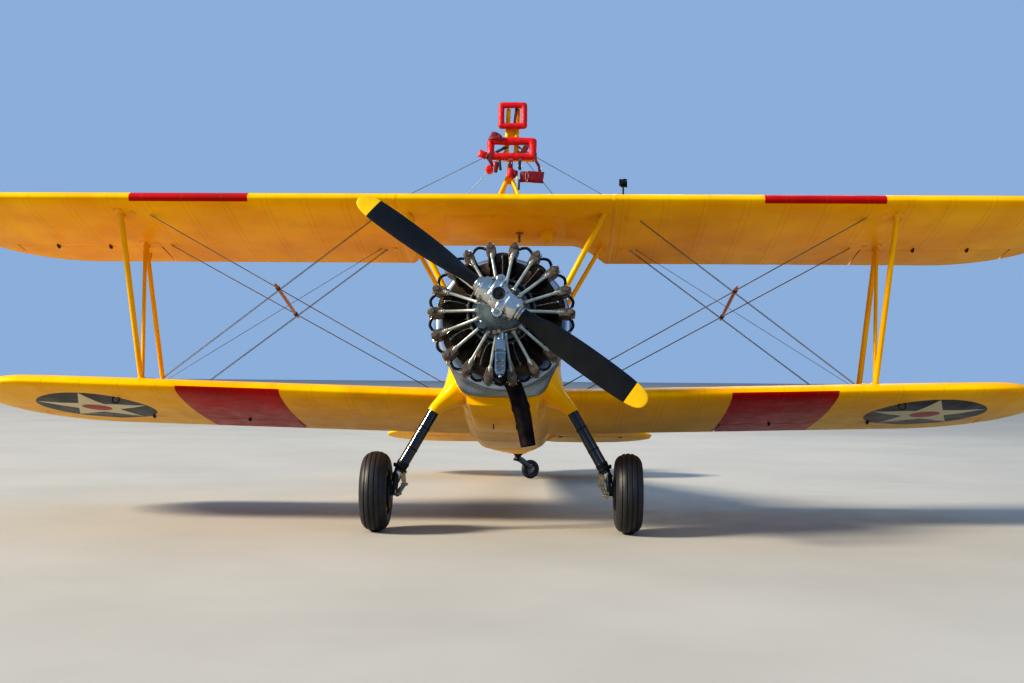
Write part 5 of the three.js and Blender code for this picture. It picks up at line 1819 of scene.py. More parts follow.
piece(
    "engine_crankcase",
    {
        "engine grey enamel": at_engine(case_shapes),
        "spun aluminium": at_engine([sump, sump_neck, drain]),
        "cadmium plate": at_engine(
            [*flange_bolts, *thrust_bolts, *sump_bolts, *oil_valve, oil_pipe]
        ),
    },
    "airframe", ["engine_nose_case"], crease=30,
)
print("engine triangles:", sum(TRIANGLES.values()))

# %% [markdown]
# ## Exhaust
#
# A collector ring behind the cylinders gathers nine outlets, and one pipe leads down past the
# belly. It is thin steel that has been red hot many times, dark brown in clouds.

# %% Collector ring and tail pipe
COLLECTOR = {"y": -0.415, "radius": 0.43, "tube": 0.042}
RING_STEPS = 108
collector_angles = 2 * np.pi * np.arange(RING_STEPS) / RING_STEPS
swell = 1 + 0.05 * np.cos(9 * collector_angles)
collector_path = np.stack(
    [
        COLLECTOR["radius"] * np.sin(collector_angles), np.full(RING_STEPS, COLLECTOR["y"]),
        THRUST + COLLECTOR["radius"] * np.cos(collector_angles),
    ],
    -1,
)
collector_tube = oval(2 * COLLECTOR["tube"], 2 * COLLECTOR["tube"], 20)
collector = sweep(collector_path, collector_tube, Y, closed=True, scale=swell)
outlet_path = spline(
    [(0.052, 0.122, 0.44), (0.05, 0.15, 0.442), (0.045, 0.175, 0.436), (0.04, 0.195, 0.43)], 5
)
outlets = around_engine(
    [
        sweep(outlet_path, oval(0.06, 0.06, 16), X),
        lathe(
            [(0.0, 0.128), (0.039, 0.128), (0.041, 0.132), (0.041, 0.142), (0.0, 0.142)], 20,
            (0.052, 0, 0.44),
        ),
    ]
)
joints = [
    sweep(collector_path[[i - 1, i, i + 1]], oval(0.094, 0.094, 20), Y)
    for i in range(6, RING_STEPS, 12)
]
PIPE = np.array(
    [
        (0.0, -0.415, 0.97), (0.03, -0.432, 0.93), (0.088, -0.438, 0.86), (0.135, -0.434, 0.74),
        (0.172, -0.425, 0.6), (0.196, -0.41, 0.48), (0.218, -0.4, 0.365),
    ]
)
pipe_path = spline(PIPE, 8)
pipe_swell = np.interp(np.arange(len(pipe_path)), (0, 9, 28, 48), (0.72, 0.98, 1.06, 0.92))
wall = open_pipe(pipe_path, 0.065, 0.005, 14, scale=pipe_swell)
pipe_bands = [
    sweep(pipe_path[k:k + 3], oval(0.139, 0.139, 28) * pipe_swell[k], Y) for k in (10, 27)
]
piece(
    "exhaust_system",
    {"burnt exhaust steel": [collector, *outlets, wall, *joints, *pipe_bands]}, "airframe",
    ["exhaust"], crease=30,
)
print("pipe end at", pipe_path[-1])

# %% [markdown]
# ## Propeller
#
# The hub is a steel barrel with a socket for each blade. Its pitch is set by oil pressure in the
# short cylinder in front, against two counterweight arms beside the sockets. A blade is a forged
# aluminium wing that turns into a round shank: along its length the chord, the thickness and the
# angle all change smoothly, so each is a smooth curve through a few stations, and one cambered
# section is scaled and turned at every station. Both blades are painted black with yellow tips.

# %% The blades
HUB = np.array([0.0, -1.11, THRUST])
BLADE_TURNS = [-math.radians(144 - 90 + 180 * k) for k in (0, 1)]
STATION_TABLE = np.array([
    # distance, chord, thickness, pitch in degrees
    (0.1954, 0.104, 0.1, 44), (0.225, 0.104, 0.098, 44), (0.27, 0.118, 0.086, 42),
    (0.33, 0.142, 0.067, 39), (0.4, 0.168, 0.053, 36), (0.5, 0.19, 0.042, 32),
    (0.62, 0.204, 0.034, 28), (0.76, 0.209, 0.028, 24), (0.9, 0.208, 0.024, 21),
    (1.05, 0.202, 0.019, 18), (1.18, 0.19, 0.016, 16), (1.27, 0.168, 0.013, 15),
    (1.318, 0.135, 0.011, 14), (1.344, 0.095, 0.009, 14), (1.356, 0.055, 0.007, 14),
    (1.36, 0.018, 0.004, 14),
])
YELLOW_FROM = 1.215


def blade_rings(distances, sides=40):
    """Sections with a flat rear face and a cambered front one, round at the shank."""
    rows = smooth_table(STATION_TABLE, distances)
    angles = 2 * np.pi * np.arange(sides) / sides
    roundness = np.clip((rows[:, 2] / rows[:, 1] - 0.2) / 0.6, 0, 1)[:, None]
    along = -np.cos(angles)[None]
    u = (1 + along) / 2
    front = 1.6 * np.sqrt(u) * (1 - u) ** 0.9 + 0.02
    round_half = np.sqrt(np.clip(1 - along**2, 0, 1))
    ahead = np.sin(angles)[None] < 0
    camber = np.where(ahead, -front, 0.22 * front)
    oval_half = np.where(ahead, -round_half, round_half) * 0.5
    across = camber * (1 - roundness) + oval_half * roundness
    wide, deep = along * rows[:, 1:2] / 2, across * rows[:, 2:3]
    pitch = np.radians(rows[:, 3:4])
    x = wide * np.cos(pitch) - deep * np.sin(pitch)
    y = wide * np.sin(pitch) + deep * np.cos(pitch)
    return np.stack([x, y, np.broadcast_to(rows[:, :1], x.shape)], -1)


low_rows = np.concatenate([np.linspace(0.1954, 0.42, 16), np.linspace(0.44, YELLOW_FROM, 26)])
tip_rows = np.concatenate(
    [np.linspace(YELLOW_FROM, 1.3, 7), 1.36 - 0.06 * np.linspace(0.95, 0.004, 14) ** 2]
)
boot = lathe(
    [(0.054, 0.1954), (0.058, 0.198), (0.058, 0.212), (0.0535, 0.216)], 40, axis=Z, closed=True
)
for k, angle in enumerate(BLADE_TURNS):
    shank, tip, ring = (
        moved(shape, lambda p, a=angle: turn(p, Y, a) + HUB)
        for shape in (
            grid(blade_rings(low_rows), around=True, ends="first"),
            grid(blade_rings(tip_rows), around=True, ends="last"), boot,
        )
    )
    piece(
        f"propeller_blade_skin_{k + 1}",
        {"propeller black": [shank], "tip yellow": [tip], "satin steel": [ring]}, "propeller",
        [f"propeller_blade_{k + 1}"], crease=50,
    )
print("blade rows:", len(low_rows) + len(tip_rows))

# %% The hub, its cylinder and its counterweights
HUB_ROWS = [
    (0.0, -0.076), (0.06, -0.076), (0.066, -0.073), (0.085, -0.062), (0.098, -0.045),
    (0.105, -0.015), (0.105, 0.015), (0.1, 0.04), (0.09, 0.057), (0.074, 0.066), (0.072, 0.07),
    (0.072, 0.1055), (0.0, 0.1055),
]
SOCKET_ROWS = [
    (0.0, 0.02), (0.094, 0.02), (0.095, 0.06), (0.0935, 0.098), (0.0975, 0.102), (0.0985, 0.107),
    (0.0985, 0.146), (0.0975, 0.151), (0.094, 0.154), (0.09, 0.17), (0.08, 0.178), (0.068, 0.181),
    (0.067, 0.192), (0.064, 0.195), (0.0, 0.195),
]
CYLINDER_ROWS = [
    (0.0, -0.07), (0.06, -0.07), (0.064, -0.078), (0.064, -0.088), (0.056, -0.094), (0.055, -0.128),
    (0.0585, -0.132), (0.0585, -0.143), (0.055, -0.148), (0.0495, -0.149), (0.0485, -0.1435),
    (0.0, -0.1435),
]
CAP_ROWS = [
    (0.0, -0.153), (0.018, -0.153), (0.02, -0.1505), (0.0215, -0.147), (0.038, -0.1475),
    (0.044, -0.15), (0.0475, -0.147), (0.0475, -0.14), (0.0, -0.14),
]
barrel_shape = lathe(HUB_ROWS, 64)
socket = lathe(SOCKET_ROWS, 56, axis=Z)
seam = slab(
    [(-0.0012, 0.03), (0.0012, 0.03), (0.0012, 0.175), (-0.0012, 0.175)], 0.17, (0, 0, 0), Y, Z
)
arm_path = spline(
    [(-0.03, -0.078, 0.046), (0.02, -0.092, 0.05), (0.07, -0.088, 0.057), (0.108, -0.074, 0.063)], 6
)
arm = sweep(arm_path, oval(0.074, 0.044, 24, 2.6), Z, scale=np.linspace(1.05, 0.9, len(arm_path)))
weight = lathe(
    [
        (0.0, -0.1), (0.03, -0.1), (0.037, -0.095), (0.039, -0.086), (0.039, -0.034),
        (0.036, -0.03), (0.0, -0.03),
    ],
    28, (0.112, 0, 0.064),
)
lever = sweep(
    spline(
        [(0.088, -0.06, 0.05), (0.1, -0.04, 0.03), (0.094, -0.02, 0.0), (0.07, -0.02, -0.012)], 5
    ),
    oval(0.03, 0.022, 14), Y,
)
CLAMP_Z = 0.119
clamp_bolts = [rod((x, -0.05, CLAMP_Z), (x, 0.05, CLAMP_Z), 0.011, 8) for x in (-0.092, 0.092)]
clamp_nuts = [
    bolt((x, y, CLAMP_Z), (0, y, 0), 0.0115, 0.012) for x in (-0.092, 0.092) for y in (-0.05, 0.05)
]
clamp_lugs = [block((0.03, 0.07, 0.026), (x, 0, CLAMP_Z)) for x in (-0.09, 0.09)]
front_bolts = [
    bolt(polar(a, 0.0735, -0.074), -Y, 0.0062, 0.009) for a in 2 * np.pi * (np.arange(8) + 0.5) / 8
]
weight_bolts = [bolt((0.112, -0.1, 0.064), -Y, 0.012, 0.008)]


def on_hub(shapes, turns=BLADE_TURNS):
    """Copies at both blades, moved to the hub."""
    return [moved(copies(shape, turns, Y, (0, 0, 0)), lambda p: p + HUB) for shape in shapes]


piece(
    "propeller_hub_assembly",
    {
        "polished steel": on_hub([socket, arm, weight, lever, *clamp_lugs]) + on_hub(
            [barrel_shape, lathe(CYLINDER_ROWS, 56)], [0]
        ),
        "cadmium plate": on_hub(
            [*clamp_bolts, *clamp_nuts, *weight_bolts]
        ) + on_hub(front_bolts, [0]),
        "instrument black": on_hub([lathe(CAP_ROWS, 48)], [0]), "black rubber": on_hub([seam]),
    },
    "propeller", ["propeller_hub"], crease=32,
)
print("hub made, triangles:", TRIANGLES["propeller_hub_assembly"])

# %% [markdown]
# ## Landing gear
#
# Each leg leaves the belly in a sheet-metal fairing that spreads into the body in a hollow
# curve. A section wider and wider towards the body gives that curve. Below it a glossy tube
# hides the oil strut, with a black cap at its end. The bright piston comes out of the cap and
# carries the axle, and folding links behind it keep the wheel from turning sideways.

# %% Measures of a leg
LEG_TOP, LEG_END = np.array([0.572, 0, 0.712]), np.array([0.838, 0, 0.232])
LEG_LONG = float(np.linalg.norm(LEG_END - LEG_TOP))
LEG_AXIS = (LEG_END - LEG_TOP) / LEG_LONG
AXLE = AXLE_RISE * np.array([0, -math.sin(LEAN), math.cos(LEAN)])
FAIRING = [
    # across, aft, up, chord, thickness
    (0.235, 0.16, 1.10, 0.70, 0.62), (0.300, 0.14, 1.015, 0.62, 0.44),
    (0.356, 0.115, 0.95, 0.52, 0.315), (0.410, 0.085, 0.885, 0.40, 0.225),
    (0.462, 0.055, 0.833, 0.27, 0.165), (0.516, 0.025, 0.782, 0.175, 0.122),
    (0.556, 0.004, 0.738, 0.126, 0.104), (0.572, 0, 0.712, 0.116, 0.101),
]
SCISSOR = [
    # across, aft, up, half width of its pin, radius of its pin
    (0.824, 0.046, 0.208, 0.030, 0.012), (0.808, 0.078, 0.112, 0.022, 0.013),
    (0.860, 0.048, 0.030, 0.028, 0.012),
]
BRAKE_LINE = [
    (0.528, 0.060, 0.79), (0.600, 0.062, 0.67), (0.700, 0.056, 0.49), (0.790, 0.060, 0.33),
    (0.824, 0.085, 0.24), (0.852, 0.095, 0.15), (0.878, 0.070, 0.09), (0.905, 0.050, 0.06),
]
print("leg length", round(LEG_LONG, 3))

# %% Legs, pistons and folding links


def plate(a, b, wide_a, wide_b, thick):
    """A flat tapered link with round ends, its width across the aeroplane."""
    a, b = np.asarray(a), np.asarray(b)
    along = unit(b - a)
    across = unit(X - (X @ along) * along)
    long = np.linalg.norm(b - a)
    turned = np.linspace(-math.pi / 2, math.pi / 2, 9)
    far = np.stack([wide_b / 2 * np.sin(turned), long + wide_b / 2 * np.cos(turned)], -1)
    near = -np.stack([wide_a / 2 * np.sin(turned), wide_a / 2 * np.cos(turned)], -1)
    return slab(np.concatenate([near, far]), thick, a, across, along)


def band(radius, wide, thick, centre, axis, sides=40):
    """A clamp or trim band round a tube: a rectangle turned about the tube's axis."""
    inner, outer = radius, radius + thick
    profile = [(inner, -wide / 2), (outer, -wide / 2), (outer, wide / 2), (inner, wide / 2)]
    return lathe(profile, sides, centre, axis, closed=True)


def screw(radius, centre, axis, sides=7):
    """A flat round screw head."""
    return lathe(
        [(0, 0), (radius, 0), (radius * 0.85, radius * 0.4), (0, radius * 0.5)], sides, centre, axis
    )


def folding_links():
    """Two plates that meet at a knee, with a pin and two nuts at each of the three joints."""
    (top, knee, foot), pins = (np.array(row[:3]) for row in SCISSOR), []
    links = [plate(top, knee, 0.050, 0.030, 0.011), plate(knee, foot, 0.030, 0.048, 0.011)]
    for x, y, z, half, radius in SCISSOR:
        pins.append(rod((x - half, y, z), (x + half, y, z), radius, 14))
        pins += [
            rod((x + s * half, y, z), (x + s * (half + 0.008), y, z), 0.0085, 6) for s in (1, -1)
        ]
    return links + pins


for side, sign in SIDES:
    table = spline(np.array(FAIRING), 5)
    fairing = sweep(table[:, :3], oval(1, 1, 40, 2.15), Y, scale=table[:, 3:])
    trim_band = band(0.0475, 0.012, 0.005, LEG_TOP + LEG_AXIS * 0.002, LEG_AXIS)
    spokes = [
        math.cos(a) * Y + math.sin(a) * np.cross(LEG_AXIS, Y)
        for a in 2 * np.pi * np.arange(10) / 10
    ]
    screws = [screw(0.004, LEG_TOP - LEG_AXIS * 0.016 + 0.0505 * spoke, spoke) for spoke in spokes]
    piece(
        f"gear_fairing_skin_{side}",
        {
            "yellow enamel": flipped([fairing, trim_band], sign),
            "satin steel": flipped(screws, sign),
        },
        "airframe", [f"gear_fairing_{side}"],
    )
    tube = lathe(
        [(0, 0.004), (0.047, 0.004), (0.047, LEG_LONG - 0.052), (0, LEG_LONG - 0.052)], 48, LEG_TOP,
        LEG_AXIS,
    )
    cap_profile = [
        (0, -0.062), (0.0492, -0.062), (0.0515, -0.058), (0.0515, -0.040), (0.0485, -0.036),
        (0.0485, -0.012), (0.0525, -0.009), (0.0525, 0.0), (0.046, 0.008), (0.040, 0.011),
        (0, 0.011),
    ]
    cap = lathe(cap_profile, 40, LEG_END, LEG_AXIS)
    lugs = [
        block(
            (0.05, 0.034, 0.044), LEG_END - LEG_AXIS * 0.02 + (-0.012, 0.052, 0.004),
            (X, Y, LEG_AXIS),
        ),
        block((0.02, 0.02, 0.03), LEG_END - LEG_AXIS * 0.02 + (0.055, 0, 0.014)),
    ]
    piece(
        f"gear_leg_tube_{side}",
        {"navy gloss enamel": flipped([tube], sign), "black enamel": flipped([cap, *lugs], sign)},
        "airframe", [f"gear_leg_{side}"], bevel=0.0008,
    )
    piston = rod(LEG_END, LEG_END + LEG_AXIS * 0.075, 0.034, 32)
    gaiter = band(0.034, 0.014, 0.0045, LEG_END + LEG_AXIS * 0.02, LEG_AXIS)
    fork_path = [
        (0.866, AXLE[1] * 0.3, 0.195), (0.873, AXLE[1] * 0.6, 0.15), (0.88, AXLE[1], 0.09),
        (0.884, AXLE[1], 0.018),
    ]
    fork_size = np.interp(np.arange(19), [0, 5, 12, 18], [0.72, 0.95, 1.05, 0.85])
    fork = sweep(spline(fork_path, 6), oval(0.084, 0.056, 24, 3.0), Y, scale=fork_size)
    axle_profile = [
        (0, 0.862), (0.036, 0.862), (0.036, 0.9), (0.028, 0.905), (0.028, 1.085), (0.02, 1.089),
        (0, 1.089),
    ]
    axle = lathe(axle_profile, 28, AXLE, X)
    brake_line = sweep(spline(BRAKE_LINE, 9), oval(0.011, 0.011, 10), X)
    clamps = [
        band(0.0475, 0.012, 0.002, LEG_TOP + LEG_AXIS * reach, LEG_AXIS) for reach in (0.16, 0.36)
    ]
    # The backing plate is black enamel so that it stands for the shade inside the wheel: painted
    # shade.
    backing_profile = [
        (0.036, 0.905), (0.12, 0.907), (0.138, 0.914), (0.138, 0.93), (0.13, 0.93), (0.036, 0.93)
    ]
    backing = lathe(backing_profile, 40, AXLE, X, closed=True)
    caliper = block((0.034, 0.05, 0.085), AXLE + (0.906, -0.075, 0.035))
    hose_end = rod(AXLE + (0.885, -0.075, 0.06), AXLE + (0.925, -0.075, 0.06), 0.012, 6)
    piece(
        f"axle_parts_{side}",
        {
            "polished steel": flipped([piston, axle, hose_end], sign),
            "cadmium plate": flipped(folding_links(), sign),
            "black enamel": flipped([fork, gaiter, *clamps, backing, caliper], sign),
            "black rubber": flipped([brake_line], sign),
        },
        "airframe", [f"axle_{side}"], bevel=0.0008,
    )

# %% [markdown]
# ### Wheels and tyres
#
# A ribbed aircraft tyre has a few grooves round its crown and none across it. Its section is
# nearly an ellipse; a groove lowers the radius where it runs, as a smooth step on both sides.
# The shoulders carry short moulded slots. The hub is a cast wheel with a deep dish, lightening
# holes and a hub cap.

# %% Tyres and wheels
GROOVES = ((-0.058, 0.0036), (-0.021, 0.0036), (0.021, 0.0036), (0.058, 0.0036))
RIM = [
    (0.165, -0.086), (0.157, -0.086), (0.153, -0.078), (0.146, -0.05), (0.132, -0.032),
    (0.12, -0.024), (0.118, 0.0), (0.13, 0.02), (0.146, 0.052), (0.153, 0.078), (0.157, 0.086),
    (0.165, 0.086), (0.1655, 0.08), (0.1655, -0.08),
]
DISH = [
    (0.124, 0.012), (0.1, 0.03), (0.075, 0.036), (0.062, 0.05), (0.058, 0.064), (0.0285, 0.064),
    (0.0285, -0.06), (0.07, -0.06), (0.078, -0.03), (0.12, -0.02),
]


def tyre(radius, bead, half, bead_half, grooves, deep, slots, sides, squash=2.1, steps=100):
    """Radius = middle + height |sin|^e, width = half |cos|^e, less the grooves and the slots."""
    angles = np.linspace(-0.52, math.pi + 0.52, steps)
    middle = bead + (radius - bead) * 0.42
    high = np.abs(np.sin(angles)) ** (2 / squash) * np.sign(np.sin(angles))
    wide = half * np.sign(np.cos(angles)) * np.abs(np.cos(angles)) ** (2 / squash)
    r = np.maximum(middle + (radius - middle) * high, bead)
    near_bead = np.sign(wide) * np.minimum(np.abs(wide), bead_half + (r - bead) * 0.7)
    wide = np.where(r <= bead + 0.02, near_bead, wide)
    cut = sum(deep * np.clip((w - np.abs(wide - x)) / 0.0018 + 1, 0, 1) for x, w in grooves)
    r = r - np.where(high > 0.4, cut, 0)
    turns = 2 * np.pi * np.arange(sides) / sides
    slot = np.clip(np.sin(turns * slots) * 4 - 2.4, 0, 1)[:, None]
    shoulder = np.clip(1 - np.abs(np.abs(wide) - 0.86 * half) / (0.08 * half), 0, 1) * (high > 0.3)
    r = r[None] - 0.45 * deep * slot * shoulder[None]
    x = np.broadcast_to(wide, r.shape)
    points = np.stack([x, r * np.cos(turns)[:, None], r * np.sin(turns)[:, None]], -1)
    return grid(points, around=True, ring=True)


for side, sign in SIDES:
    onto = lambda shapes: [
        mirrored(moved(shape, lambda p: p + AXLE + (WHEEL_X, 0, 0)), sign) for shape in shapes
    ]
    rubber = tyre(0.325, 0.1652, 0.110, 0.078, GROOVES, 0.0062, 44, 220)
    piece(
        f"main_tyre_{side}", {"tyre rubber": onto([rubber])}, f"wheel_{side}",
        [f"tyre_{side}"], crease=30,
    )
    rim, dish = lathe(RIM, 64, axis=X, closed=True), lathe(DISH, 64, axis=X, closed=True)
    cap = lathe(
        [(0, 0.062), (0.054, 0.062), (0.056, 0.07), (0.05, 0.082), (0.03, 0.09), (0, 0.093)], 40,
        axis=X,
    )
    wheel_bolt = lathe(
        [(0, 0), (0.0085, 0), (0.0085, 0.007), (0.005, 0.010), (0, 0.010)], 6, (0.033, 0.088, 0), X
    )
    hole = lathe(
        [(0.009, 0), (0.0135, 0), (0.0125, 0.003), (0.0095, 0.003)], 20, (0.0295, 0.105, 0), X,
        closed=True,
    )
    bolts = copies(wheel_bolt, 2 * np.pi * np.arange(8) / 8, X, (0, 0, 0))
    holes = copies(hole, 2 * np.pi * (np.arange(8) + 0.5) / 8, X, (0, 0, 0))
    valve = rod((0.045, 0.135, 0.03), (0.085, 0.128, 0.03), 0.0045, 8)
    piece(
        f"wheel_hub_parts_{side}",
        {
            "yellow enamel": onto([rim, dish, cap]), "cadmium plate": onto([bolts]),
            "black enamel": onto([holes, valve]),
        },
        f"wheel_{side}", [f"wheel_hub_{side}"], bevel=0.0006,
    )

# %% [markdown]
# ### Tail wheel
#
# A small solid-looking tyre turns in a fork, and the fork turns under a short post at the stern.
# It was left swung to one side by the last turn on the ground. These shapes are written in the
# caster's own upright axes, with the post's foot on the floor as their origin. Two horns on the
# post take the springs that steer it.

# %% Tail wheel and its fork
POST = np.array(JOINTS["tail_wheel_swivel"]["pos_m"]) * (1, 1, 0)
TRAIL, SMALL = 0.165, JOINTS["tail_wheel_spin"]["pos_m"][2]
SWING = -math.asin(JOINTS["tail_wheel_spin"]["pos_m"][0] / TRAIL)
CROWN, CROWN_TOP, POST_TOP = 0.222, 0.2655, 0.44
SMALL_HUB = [
    (0.0105, -0.034), (0.026, -0.034), (0.029, -0.03), (0.032, -0.012), (0.045, -0.012),
    (0.051, -0.022), (0.0558, -0.028), (0.0558, 0.028), (0.051, 0.022), (0.045, 0.012),
    (0.032, 0.012), (0.029, 0.03), (0.026, 0.034), (0.0105, 0.034),
]


def casting(shapes):
    """Caster axes to the parked aeroplane: the swing about Z, then the post's place."""
    return [moved(shape, lambda p: turn(p, Z, SWING) + POST) for shape in shapes]


small_tyre = tyre(
    SMALL, 0.0561, 0.034, 0.026, ((-0.011, 0.0015), (0.011, 0.0015)), 0.0025, 40, 120, 2.4, 60
)
small_tyre = moved(small_tyre, lambda p: p + (0, TRAIL, SMALL))
piece(
    "tail_tyre", {"tyre rubber": casting([small_tyre])}, "tail_wheel",
    ["tail_wheel_tyre"], lean=False,
)
hub = lathe(SMALL_HUB, 40, (0, TRAIL, SMALL), X, closed=True)
hub_bolt = lathe(
    [(0, -0.017), (0.005, -0.017), (0.005, 0.017), (0, 0.017)], 6, (0, TRAIL, SMALL + 0.039), X
)
hub_bolts = copies(hub_bolt, 2 * np.pi * np.arange(6) / 6, X, (0, TRAIL, SMALL))
piece(
    "tail_hub", {"satin steel": casting([hub]), "black enamel": casting([hub_bolts])},
    "tail_wheel", ["tail_wheel_hub"], lean=False,
)
arms = []
for s in (1, -1):
    path = bezier(
        [
            (s * 0.05, -0.005, 0.246), (s * 0.053, 0.03, 0.240), (s * 0.053, 0.11, 0.19),
            (s * 0.052, TRAIL, SMALL),
        ],
        12,
    )
    arm_size = np.stack([np.full(12, 0.011), np.linspace(0.066, 0.036, 12)], -1)
    arms.append(sweep(path, oval(1, 1, 20, 3.0), X, scale=arm_size))
crown_profile = [
    (0, CROWN), (0.052, CROWN), (0.058, CROWN + 0.006), (0.058, CROWN + 0.018),
    (0.046, CROWN + 0.027), (0.042, CROWN + 0.038), (0.042, CROWN_TOP), (0, CROWN_TOP),
]
crown = lathe(crown_profile, 36, axis=Z)
axle = rod((-0.066, TRAIL, SMALL), (0.066, TRAIL, SMALL), 0.0098, 16)
nuts = [rod((s * 0.058, TRAIL, SMALL), (s * 0.069, TRAIL, SMALL), 0.017, 6) for s in (1, -1)]
piece(
    "tail_fork_parts",
    {
        "engine grey enamel": casting(arms), "black enamel": casting([crown]),
        "cadmium plate": casting([axle, *nuts]),
    },
    "tail_caster", ["tail_wheel_fork"], bevel=0.0006, lean=False,
)

# %% The post over the tail wheel, its horns and its springs
post_profile = [
    (0, CROWN_TOP + 0.002), (0.036, CROWN_TOP + 0.002), (0.038, 0.275), (0.038, 0.300),
    (0.031, 0.307), (0.0298, 0.315), (0.0298, POST_TOP), (0, POST_TOP),
]
post = lathe(post_profile, 32, POST, Z)
brace = [
    sweep(
        np.array([(dx, -0.02, 0.293), (dx * 1.5, -0.33, POST_TOP)]) + POST,
        teardrop(0.044, 0.02, 20), X,
    )
    for dx in (-0.03, 0.03)
]
coil_axis = unit(np.array([0, -0.30, 0.16]))
coil_t = np.linspace(0, 1, 150)[:, None]
coil_turns = 2 * np.pi * 11 * coil_t
coil_round = 0.017 * (np.cos(coil_turns) * X + np.sin(coil_turns) * np.cross(coil_axis, X))
coil = POST + (0, -0.03, 0.330) + coil_t * 0.15 * coil_axis + coil_round
boot = lathe(
    [(0.0302, 0), (0.036, 0.0), (0.04, 0.04), (0.046, 0.08), (0.0302, 0.08)], 24,
    POST + (0, 0, 0.32), Z, closed=True,
)
horns = [
    sweep(
        bezier([(0, -0.02, 0.318), (s * 0.045, -0.02, 0.326), (s * 0.09, -0.02, 0.352)], 8) + POST,
        oval(0.012, 0.02, 12), Y,
    )
    for s in (1, -1)
]
piece(
    "tail_post_parts",
    {
        "black enamel": [post, *brace, *horns],
        "satin steel": [sweep(coil, oval(0.005, 0.005, 8), Y)], "black rubber": [boot],
    },
    "airframe", ["tail_wheel_strut"], lean=False,
)

# %% [markdown]
# ## Struts and wires
#
# Streamlined struts hold the wings apart. Each is a teardrop section between two pinned ends:
# it narrows there, and sits in a plate that follows the wing's skin. The steel wires are flat
# too, and end in threaded barrels and forks. Where they cross, a wooden rod keeps them from
# beating against each other. The small rods behind pull the upper aileron with the lower one.

# %% Struts between the wings
SPARS = {"front": 0.216, "rear": 0.959}
STRUT_TOP, STRUT_FOOT = 3.287, 3.176
COLLARS_AT = (0.055, 0.945)
UNDER_UPPER, OVER_LOWER = -1, 1


def in_wing(level, x, y, z=0.02):
    """A place given in a wing's own axes."""
    return wing_place(np.array([x, y, z]), WINGS[level], 1)


def strut(a, b, chord, thick, ends=0.62):
    """A streamlined bar that narrows over its last tenth."""
    share = np.array([0, 0.015, 0.03, 0.06, 0.1, 0.5, 0.9, 0.94, 0.97, 0.985, 1.0])
    size = np.interp(share, [0, 0.03, 0.11, 0.89, 0.97, 1], [ends, ends, 1, 1, ends, ends])
    return sweep(
        np.asarray(a) + (np.asarray(b) - a) * share[:, None], teardrop(chord, thick, 32), Y,
        scale=size,
    )


def collar(a, b, share, chord, thick, long=0.045):
    """A clamp round a strut."""
    along = unit(np.subtract(b, a))
    middle = np.asarray(a) + np.subtract(b, a) * share
    path = middle + np.linspace(-long / 2, long / 2, 4)[:, None] * along
    return sweep(path, teardrop(chord, thick, 32), Y, scale=[0.96, 1, 1, 0.96])


def skin_plate(level, sign, x, y, wide, long, high=0.006):
    """An oval plate that follows a wing's skin, a few millimetres proud."""
    rings = []
    for size, lift in ((1.0, -0.004), (1.0, high * 0.7), (0.93, high), (0.5, high), (0.1, high)):
        outline = oval(wide * size, long * size, 32, 3.0) + (x, y)
        z = skin_height(outline[:, 0], outline[:, 1], sign, WINGS[level]["tip"]) + sign * lift
        rings.append(wing_place(np.column_stack([outline, z]), WINGS[level], 1))
    return grid(np.stack(rings), around=True, ends=True)


def bolt_head(place, axis, size=0.008, tall=0.007):
    """A six-sided head with a domed top."""
    return lathe(
        [(0, -0.002), (size, -0.002), (size, tall * 0.7), (size * 0.8, tall), (0, tall)], 6, place,
        unit(np.asarray(axis, float)),
    )


